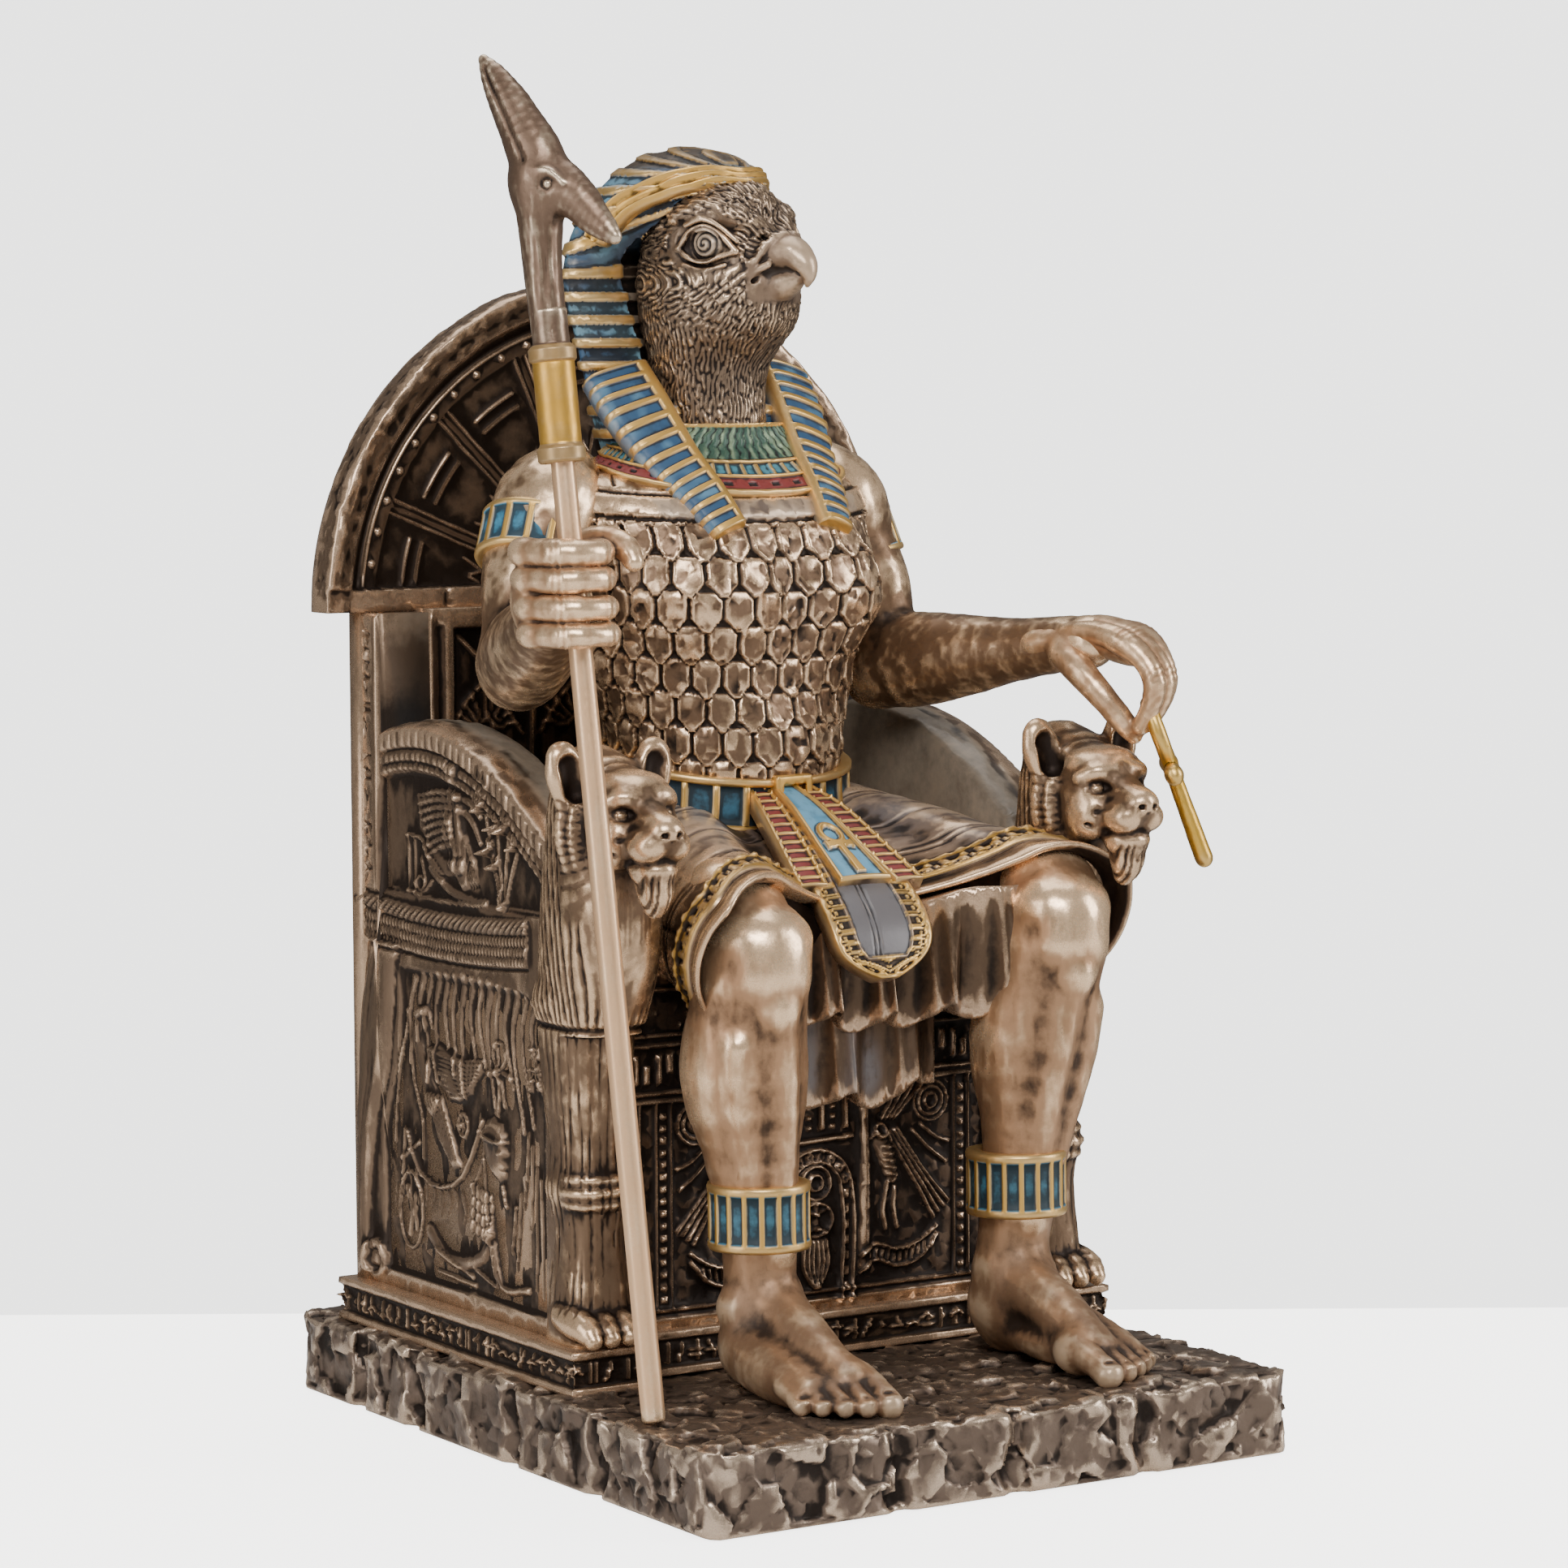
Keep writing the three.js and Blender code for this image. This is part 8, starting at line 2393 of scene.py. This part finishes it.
def strap_piece(name, widths, shifts, proud, relief, colours, count=120, across=41, thick=3.0,
        bow=0.6, half_fix=None):
    """A strap down the lap: relief and colours take the share along, the share across from -1 to 1,
    millimetres along and across, half its width and its length."""
    keys = np.linspace(0, 1, len(widths))
    s, w = np.linspace(0, 1, count), np.linspace(-1, 1, across)
    y, z, half, shift = eased(np.column_stack([keys, np.array(LAP[:len(widths)], float), widths,
        shifts]), s)
    run = unit_rows(joined(np.gradient(y), np.gradient(z)))
    out = joined(0 * s, run[:, 1], -run[:, 0])
    middle = joined(shift, y, z + SLAB_TOP) + out * proud
    wide = vec(1, 0, 0)
    if half_fix is not None:
        half = half_fix(s, half)
    ss, ww = grid(s, w)
    length = np.concatenate([[0], np.cumsum(np.linalg.norm(np.diff(middle, axis=0), axis=1))])
    mm_along, mm_across = length[:, None] + 0 * ww, ww * half[:, None]
    height = relief(ss, ww, mm_along, mm_across, half[:, None], length[-1])
    lift = bow * (1 - ww**2) + height
    top = middle[:, None] + mm_across[..., None] * wide + lift[..., None] * out[:, None]
    under = np.linspace(1, -1, 5)
    below = (middle[:, None] + (under[None] * half[:, None] * 0.97)[..., None] * wide
        - thick * out[:, None])
    rows = np.concatenate([top, below], 1)
    skin = closed(rows)
    coat = np.concatenate([colours(ss, ww, mm_along, mm_across, half[:, None], length[-1]),
        np.tile(pot(60, 50, 40, 0.3), (count, 5, 1))], 1).reshape(-1, 4)
    coat = np.concatenate([coat, coat[:1], coat[-1:]])
    make(name, skin, "Cast Bronze", paint=lambda p, n: coat)


def build_apron():
    """The round-ended flap with its looped border, the blue strap with its sign, two red ones."""
    def flap_half(s, half):
        return half * np.sqrt(np.clip(1 - smooth(s, 0.78, 1.02) ** 2.2, 0.02, 1))

    def edge_far(a, c, half, total):
        """How far each place lies in from a strap's edge."""
        return np.minimum(half - np.abs(c), np.minimum(total - a, a + 3))

    def rim_far(mm_along, mm_across, half, total):
        side = half - np.abs(mm_across)
        return np.minimum(side, (total - mm_along) * 1.1 + 0.2)

    def flap_relief(s, w, a, c, half, total):
        far = rim_far(a, c, half, total)
        walk = a + np.abs(c) * 0.7 * smooth(s, 0.8, 1.0)
        loops = scallops(walk, (far - 2.5) / 1.6, 2.9)
        band = smooth(far, 1.0, 1.2) * (1 - smooth(far, 4.1, 4.4))
        edge = bump(far, 0.5, 0.8)
        line = bump(far, 4.7, 0.5)
        inner = smooth(far, 5.0, 5.6)
        folds = -0.25 * inner * (bump(c, 1.2 - 3 * s, 0.5) + bump(c, 0.2 - 3 * s, 0.4))
        return 0.8 * np.sqrt(np.clip(edge, 0, 1)) + 0.55 * loops * band + 0.4 * line + folds + 0.05

    def flap_colours(s, w, a, c, half, total):
        far = rim_far(a, c, half, total)
        inner = smooth(far, 4.9, 5.3)
        walk = a + np.abs(c) * 0.7 * smooth(s, 0.8, 1.0)
        loops = scallops(walk, (far - 2.5) / 1.6, 2.9)
        gilt = np.maximum(1 - smooth(far, 1.0, 1.3), loops)
        base = mix(pot(70, 56, 40, 0.4), pot(118, 120, 126, 0.65), inner[..., None])
        return mix(base, GOLD, (smooth(gilt, 0.3, 0.6) * (1 - inner))[..., None])

    strap_piece("apron_flap", [6, 8, 9.8, 11.2, 11.4, 10.2], [1, 1.6, 2.2, 2.2, 1.6, 1.2], 1.2,
        flap_relief, flap_colours, count=150, across=61, thick=3.2, bow=0.9, half_fix=flap_half)

    def framed(edge):
        def relief(s, w, a, c, half, total):
            far = edge_far(a, c, half, total)
            return 0.8 * (1 - smooth(far, edge - 0.15, edge + 0.2)) * smooth(far, -0.2, 0.3)
        return relief

    def ankh_sign(a, c, total):
        """The raised sign's share at each place: a loop, two arms and a stem."""
        v = (total - a) - 1.8
        stem = ((1 - smooth(np.abs(c), 0.55 + 0.05 * (8 - v), 0.8 + 0.05 * (8 - v))) * smooth(v,
            -0.2, 0.2) * (1 - smooth(v, 8.6, 9.0)))
        arms = ((1 - smooth(np.abs(v - 8.8), 0.5 + 0.18 * np.abs(c), 0.75 + 0.18 * np.abs(c)))
            * (1 - smooth(np.abs(c), 3.0, 3.2)))
        far = np.hypot(c / 2.5, (v - 12.2) / 3.2)
        loop = bump(far, 0.86, 0.26)
        return np.clip(np.maximum(np.maximum(stem, arms), np.sqrt(np.clip(loop, 0, 1))), 0, 1)

    blue_frame = framed(0.9)

    def blue_relief(s, w, a, c, half, total):
        return blue_frame(s, w, a, c, half, total) + 0.85 * ankh_sign(a, c, total)

    def blue_colours(s, w, a, c, half, total):
        far = edge_far(a, c, half, total)
        gilt = np.maximum(1 - smooth(far, 0.95, 1.15), smooth(ankh_sign(a, c, total), 0.2, 0.5))
        blue = mix(pot(104, 160, 190), pot(70, 130, 160), np.clip(ripple(joined(a, c), 2.2, 421), 0,
            1)[..., None])
        return mix(blue, GOLD, gilt[..., None])

    strap_piece("apron_middle_strap", [2.8, 3.8, 5.0, 6.0], [1, 1.6, 2.2, 2.8], 3.0, blue_relief,
        blue_colours, count=130, across=61, thick=3.4, bow=0.4)

    def red_relief(s, w, a, c, half, total):
        far = edge_far(a, c, half, total)
        bars = bump((total - a) / 2.75 - np.round((total - a) / 2.75), 0, 0.14) * (far > 0.4)
        return 0.65 * (1 - smooth(far, 0.65, 0.95)) + 0.5 * np.sqrt(np.clip(bars, 0, 1))

    def red_colours(s, w, a, c, half, total):
        far = edge_far(a, c, half, total)
        bars = bump((total - a) / 2.75 - np.round((total - a) / 2.75), 0, 0.16)
        gilt = np.maximum(1 - smooth(far, 0.75, 1.0), smooth(bars, 0.1, 0.4))
        return mix(RED + 0 * a[..., None], GOLD, gilt[..., None])

    strap_piece("apron_right_strap", [2.4, 2.8, 3.1, 3.2], [-4, -5.8, -7.4, -9.0], 2.2, red_relief,
        red_colours, across=31, thick=3.2, bow=0.3)
    strap_piece("apron_left_strap", [2.4, 2.8, 3.1, 3.2], [6, 8.6, 11.0, 13.4], 2.2, red_relief,
        red_colours, across=31, thick=3.2, bow=0.3)


def build_skirts():
    """Two layers of pleats that hang between the knees."""
    layers = (("short_skirt", dict(left=-19, right=34, top=89.5, bottom=71, front=-27, pleats=4.4,
        depth=2.8, swing=0.4)), ("long_skirt", dict(left=-16, right=24, top=80, bottom=55,
        front=-23, pleats=2.6, depth=2.4, swing=1.0)))
    for k, (name, v) in enumerate(layers):
        s, t = grid(np.linspace(0, 1, 190), np.linspace(0, 1, 80))
        turn = s * v["pleats"] * 2 * math.pi + v["swing"]
        wave = np.sin(turn)
        lean = 0.5 * np.sin(turn + 0.9 * t)
        sharp = np.sign(wave) * np.abs(wave) ** 0.8 + 0.35 * lean
        hang = v["bottom"] - 4 * np.sin(s * math.pi) + 2.2 * wave
        y = (v["front"] + 4 * np.abs(s - 0.5) - 10 * smooth(s, 0.6, 0.92) * (1 - k)
            - v["depth"] * (0.25 + 0.75 * t) * sharp * 0.85 - 1.5 * t)
        fine = np.sin(turn * 3 + 2.0 * np.sin(turn) + 1.5 * t)
        y = (y - 0.35 * fine * (0.3 + 0.7 * t) - 0.18 * rough(joined(s * 48, t * 20), (2.0, 8.0), 3,
            431 + k))
        x = mix(v["left"], v["right"], s) + 1.2 * t * np.sin(turn + 1.2)
        z = mix(v["top"] + 3.5 * smooth(s, 0.62, 0.85) * (1 - k), hang, t) + SLAB_TOP
        face = joined(x, y, z)
        edge = face[:, -1:] + joined(0 * s[:, :1], 1.4 + 0 * s[:, :1], -0.1 + 0 * s[:, :1])
        back_z = np.concatenate([(hang + 1 + SLAB_TOP)[:, :1],
            np.full((190, 1), (v["top"] + v["bottom"]) / 2 + SLAB_TOP),
            np.full((190, 1), v["top"] + SLAB_TOP)], 1)
        back = joined(np.repeat(x[:, :1], 3, 1), np.full((190, 3), -14.0), back_z)
        skin = closed(np.concatenate([face, edge, back], 1))

        def paint(p, n, seed=433 + k):
            colours = np.tile(pot(120, 124, 132, 0), (len(p), 1))
            colours[:, 3] = 0.45 * smooth(ripple(p, (7.0, 7.0, 12.0), seed), 0.1, 0.7)
            return colours

        make(name, skin, "Cast Bronze", paint=paint, keep=0.31)


def build_staff():
    """The pale shaft, and the head with its gilt sleeve, its forked crest and its snout."""
    look = vec(0.42, -0.91, 0)
    look = unit(look - STAFF_RUN * (look @ STAFF_RUN))
    across = np.cross(STAFF_RUN, look)
    foot = 178.0

    def p(ahead, high):
        return STAFF_FOOT + STAFF_RUN * (foot + high) + look * ahead

    turns = np.linspace(0, 2 * math.pi, 48, endpoint=False)
    z = np.concatenate([[0.0, 0.25], np.linspace(0.6, 185.4, 150), [185.8, 186.0]])
    r = np.concatenate([[1.7, 2.1], np.full(150, 2.25), [2.1, 1.7]])
    wobble = 0.05 * ripple(joined(z / 9, 0 * z), 1.0, 441)
    ring = (r + wobble)[:, None] * (1 + 0.012 * np.cos(turns * 8)[None])
    rows = (STAFF_FOOT + z[:, None, None] * STAFF_RUN + (ring * np.cos(turns))[..., None] * look
        + (ring * np.sin(turns))[..., None] * across)
    skin = closed(rows)
    make("shaft", skin, "Pale Bronze Rod", replaces=("staff_shaft",))

    profile = [(0, 2.6), (0.0, 4.1), (0.5, 4.5), (2.6, 4.5), (3.2, 4.0), (3.7, 3.85), (4.4, 3.9),
        (18.0, 3.95), (18.4, 3.9), (18.9, 4.45), (20.9, 4.5), (21.4, 4.1), (21.9, 3.5), (24, 3.4),
        (28, 3.4), (30, 2.0)]
    keys = np.linspace(0, 1, len(profile))
    dense = np.linspace(0, 1, 150)
    heights, radii = (np.interp(dense, keys, [q[k] for q in profile]) for k in (0, 1))
    radii = radii[:, None] + 0.05 * ripple(joined(*grid(heights / 2, turns * 2)), 1.0, 443)
    base = STAFF_FOOT + (foot + heights)[:, None, None] * STAFF_RUN
    rows = (base + (radii * np.cos(turns))[..., None] * look + (radii * np.sin(turns))[..., None]
        * across)
    skin = closed(rows)
    ends = np.concatenate([np.repeat(heights, 48), [0, 30]])

    def sleeve_paint(q, n):
        colours = np.tile(pot(150, 140, 122, 0.0), (len(q), 1))
        rings = (ends < 3.5) | ((ends > 18.5) & (ends < 21.7))
        colours[ends < 21.7] = pot(214, 164, 72, 0.95)
        colours[rings] = pot(178, 142, 88, 0.75)
        return colours

    make("staff_sleeve", skin, "Brushed Grey Bronze", paint=sleeve_paint,
        replaces=("staff_head",))

    corners = np.array([p(a, h) + s * 7 * across for a in (-14, 20) for h in (20, 80)
        for s in (-1, 1)])
    clay = Clay(corners.min(0) - 1, corners.max(0) + 1, 0.42)

    neck = [(0, 22, 3.4), (-0.3, 30, 3.45), (-0.3, 37, 3.6), (0.2, 46, 4.4), (0.6, 52, 5.0)]
    clay.rod(p, neck, 14, 0.5, flat=across)
    # The crest rises and leans back as a blade; the snout comes forward and down.
    crest = [(1.8, 50, 5.4), (0.6, 56, 5.5), (-2.2, 62.5, 4.6), (-5.2, 68.5, 3.6),
        (-7.6, 72.8, 2.4), (-9.2, 75.6, 1.1)]
    clay.rod(p, crest, 16, 1.6, flat=across, share=0.8)
    snout = [(0.2, 51.5, 5.4), (4.6, 50.6, 5.0), (8.6, 47.6, 4.2), (12.0, 43.8, 3.3),
        (14.8, 41.0, 2.3), (16.2, 39.6, 1.5)]
    clay.rod(p, snout, 16, 1.6, flat=across, share=0.82)
    for s in (-1, 1):
        eye = p(5.2, 50.6) + s * across * 4.0
        clay.cut(ellipsoid(eye + s * across * 0.9, (1.35, 1.35, 1.35)), 0.8)
        clay.join(ellipsoid(eye - s * across * 0.1, (0.8, 0.8, 0.8)), 0.3)
        clay.join(tube([(*(p(2.4, 53.4) + s * across * 3.9), 0.6),
            (*(p(5.6, 53.0) + s * across * 3.8), 0.7), (*(p(8.4, 50.4) + s * across * 3.3), 0.5)],
            8), 0.7)
        clay.cut(tube([(*(p(15.2, 39.4) + s * across * 1.9), 0.35),
            (*(p(10.4, 43.2) + s * across * 3.0), 0.4)], 5), 0.3)
        clay.cut(tube([(*(p(-8.4, 74.2) + s * across * 1.5), 0.3),
            (*(p(-3.4, 64) + s * across * 3.6), 0.45), (*(p(0.6, 55.6) + s * across * 4.5), 0.35)],
            10), 0.7)
    skin = clay.skin()
    q = skin.p - STAFF_FOOT
    h, a, c = q @ STAFF_RUN - foot, q @ look, q @ across
    grain = (ripple(joined(h / 9, np.arctan2(c, a - 0.2) * 3.4), 1.0, 445)
        + 0.6 * ripple(joined(h / 4, np.arctan2(c, a) * 6), 1.0, 447))
    skin.push(0.12 * grain * (h < 50) + 0.09 * rough(q, 2.6, 3, 449))
    make("staff_crest", skin, "Brushed Grey Bronze", replaces=("staff_head",))


def build_ankh():
    """The looped sign that hangs edge-on from the left hand."""
    centre = at(65.5, -43, 114.8)
    down, across = unit((0.36, -0.12, -1)), unit((0.54, 0.84, 0.09))
    wire = 1.9

    def p(along, aside, out=0.0):
        return centre + down * along + across * aside + np.cross(across, down) * out

    clay = Clay(centre - (14, 14, 26), centre + (16, 16, 20), 0.3)
    front = np.cross(across, down)
    clay.join([bone(p(-1, 0), p(19, 0), wire * 0.92, wire * 1.15, front, 0.85)], 0.4)
    clay.join([bone(p(0, -7.0), p(0, 7.0), wire * 0.98, wire * 0.98, front, 0.85)], 0.7)
    for s in (-1, 1):
        clay.join(bone(p(0, s * 5.6), p(0, s * 6.9), wire * 1.1, wire * 1.2, front, 0.85), 0.5)
    loop = [(*p(-6.5 - 0.76 + 6.5 * math.cos(a), 4.25 * math.sin(a)), wire * 0.92)
        for a in np.linspace(0, 2 * math.pi, 17)]
    clay.join(tube(loop, 40, front, 0.9), 0.3)
    clay.join(bone(p(-0.9, -1.6), p(0.9, -1.6), 0.8, 0.8), 0.5)
    skin = clay.skin()
    skin.push(0.06 * rough(skin.p, 1.6, 3, 451))
    make("ankh_sign", skin, "Cast Bronze", paint=lambda q, n: np.tile(pot(224, 178, 78),
        (len(q), 1)), faces=7000, replaces=("ankh",))


class FalconSettings(bpy.types.PropertyGroup):
    """Colours and light strengths of the stage that a user would change."""
    floor_colour: bpy.props.FloatVectorProperty(name="Floor",
        description="Colour of the pale floor", subtype="COLOR", size=4,
        default=(0.83, 0.825, 0.81, 1))
    wall_colour: bpy.props.FloatVectorProperty(name="Backdrop",
        description="Colour seen behind the figure", subtype="COLOR", size=4,
        default=(0.82, 0.82, 0.81, 1))
    wall_light: bpy.props.FloatProperty(name="Backdrop light",
        description="Brightness of the backdrop", default=3.55)
    floor_light: bpy.props.FloatProperty(name="Floor light",
        description="Brightness added to the floor in view", default=3.7)
    room_light: bpy.props.FloatProperty(name="Room light",
        description="Strength of the room's even light", default=0.16)
    key_light: bpy.props.FloatProperty(
        name="Key light", description="Power of the main softbox", default=13.5, unit="POWER")


class FALCON_OT_slab(bpy.types.Operator):
    """Model the rough-hewn slab"""
    bl_idname = "falcon.slab"
    bl_label = "Stone Slab"

    def execute(self, context):
        build_slab()
        return {"FINISHED"}


class FALCON_OT_legs(bpy.types.Operator):
    """Model the legs, feet and anklets"""
    bl_idname = "falcon.legs"
    bl_label = "Legs"

    def execute(self, context):
        build_legs()
        return {"FINISHED"}


class FALCON_OT_torso(bpy.types.Operator):
    """Model the cuirass, collar and belt"""
    bl_idname = "falcon.torso"
    bl_label = "Cuirass, Collar and Belt"

    def execute(self, context):
        build_torso()
        return {"FINISHED"}


class FALCON_OT_arms(bpy.types.Operator):
    """Model the arms and their bands"""
    bl_idname = "falcon.arms"
    bl_label = "Arms"

    def execute(self, context):
        build_arms()
        return {"FINISHED"}


class FALCON_OT_head(bpy.types.Operator):
    """Model the falcon head"""
    bl_idname = "falcon.head"
    bl_label = "Falcon Head"

    def execute(self, context):
        build_head()
        return {"FINISHED"}


class FALCON_OT_cloth(bpy.types.Operator):
    """Model the striped head cloth"""
    bl_idname = "falcon.cloth"
    bl_label = "Head Cloth"

    def execute(self, context):
        build_cloth()
        return {"FINISHED"}


class FALCON_OT_hands(bpy.types.Operator):
    """Model the two hands"""
    bl_idname = "falcon.hands"
    bl_label = "Hands"

    def execute(self, context):
        build_hands()
        return {"FINISHED"}


class FALCON_OT_throne_sides(bpy.types.Operator):
    """Model the two side walls with their arms"""
    bl_idname = "falcon.throne_sides"
    bl_label = "Throne Sides"

    def execute(self, context):
        build_throne_sides()
        return {"FINISHED"}


class FALCON_OT_throne_back(bpy.types.Operator):
    """Model the back wall from both sides"""
    bl_idname = "falcon.throne_back"
    bl_label = "Throne Back"

    def execute(self, context):
        build_throne_back()
        return {"FINISHED"}


class FALCON_OT_seat(bpy.types.Operator):
    """Model the seat and its front"""
    bl_idname = "falcon.seat"
    bl_label = "Throne Seat"

    def execute(self, context):
        build_seat()
        return {"FINISHED"}


class FALCON_OT_plinth(bpy.types.Operator):
    """Model the plinth with its frieze"""
    bl_idname = "falcon.plinth"
    bl_label = "Plinth"

    def execute(self, context):
        build_plinth()
        return {"FINISHED"}


class FALCON_OT_board(bpy.types.Operator):
    """Model the half-round back board"""
    bl_idname = "falcon.board"
    bl_label = "Back Board"

    def execute(self, context):
        build_board()
        return {"FINISHED"}


class FALCON_OT_lions(bpy.types.Operator):
    """Model the two lions at the arms"""
    bl_idname = "falcon.lions"
    bl_label = "Lions"

    def execute(self, context):
        build_lions()
        return {"FINISHED"}


class FALCON_OT_kilt(bpy.types.Operator):
    """Model the kilt over both thighs"""
    bl_idname = "falcon.kilt"
    bl_label = "Kilt"

    def execute(self, context):
        build_kilt()
        return {"FINISHED"}


class FALCON_OT_apron(bpy.types.Operator):
    """Model the apron flap and its three straps"""
    bl_idname = "falcon.apron"
    bl_label = "Apron"

    def execute(self, context):
        build_apron()
        return {"FINISHED"}


class FALCON_OT_skirts(bpy.types.Operator):
    """Model the two pleated skirts"""
    bl_idname = "falcon.skirts"
    bl_label = "Pleated Skirts"

    def execute(self, context):
        build_skirts()
        return {"FINISHED"}


class FALCON_OT_staff(bpy.types.Operator):
    """Model the staff with its head and sleeve"""
    bl_idname = "falcon.staff"
    bl_label = "Staff"

    def execute(self, context):
        build_staff()
        return {"FINISHED"}


class FALCON_OT_ankh(bpy.types.Operator):
    """Model the looped sign in the left hand"""
    bl_idname = "falcon.ankh"
    bl_label = "Ankh"

    def execute(self, context):
        build_ankh()
        return {"FINISHED"}


class FALCON_OT_stage(bpy.types.Operator):
    """Set the camera, floor and lights"""
    bl_idname = "falcon.stage"
    bl_label = "Stage"

    def execute(self, context):
        build_stage(context.scene.falcon)
        return {"FINISHED"}


STEPS = (FALCON_OT_stage, FALCON_OT_slab, FALCON_OT_legs, FALCON_OT_torso, FALCON_OT_arms,
    FALCON_OT_head, FALCON_OT_cloth, FALCON_OT_hands, FALCON_OT_throne_sides, FALCON_OT_throne_back,
    FALCON_OT_seat, FALCON_OT_plinth, FALCON_OT_board, FALCON_OT_lions, FALCON_OT_kilt,
    FALCON_OT_apron, FALCON_OT_skirts, FALCON_OT_staff, FALCON_OT_ankh)


class FALCON_PT_panel(bpy.types.Panel):
    """Lists the figure's settings and pieces"""
    bl_idname = "FALCON_PT_panel"
    bl_label = "Falcon Figure"
    bl_space_type = "VIEW_3D"
    bl_region_type = "UI"
    bl_category = "Falcon Figure"

    def draw(self, context):
        for name in FalconSettings.__annotations__:
            self.layout.prop(context.scene.falcon, name)
        for step in STEPS:
            self.layout.operator(step.bl_idname)


CLASSES = (FalconSettings, *STEPS, FALCON_PT_panel)


def register():
    for each in CLASSES:
        bpy.utils.register_class(each)
    bpy.types.Scene.falcon = bpy.props.PointerProperty(type=FalconSettings)


def unregister():
    del bpy.types.Scene.falcon
    for each in reversed(CLASSES):
        bpy.utils.unregister_class(each)


def main():
    register()
    for step in STEPS:
        group, name = step.bl_idname.split(".")
        getattr(getattr(bpy.ops, group), name)()


if __name__ == "__main__":
    main()
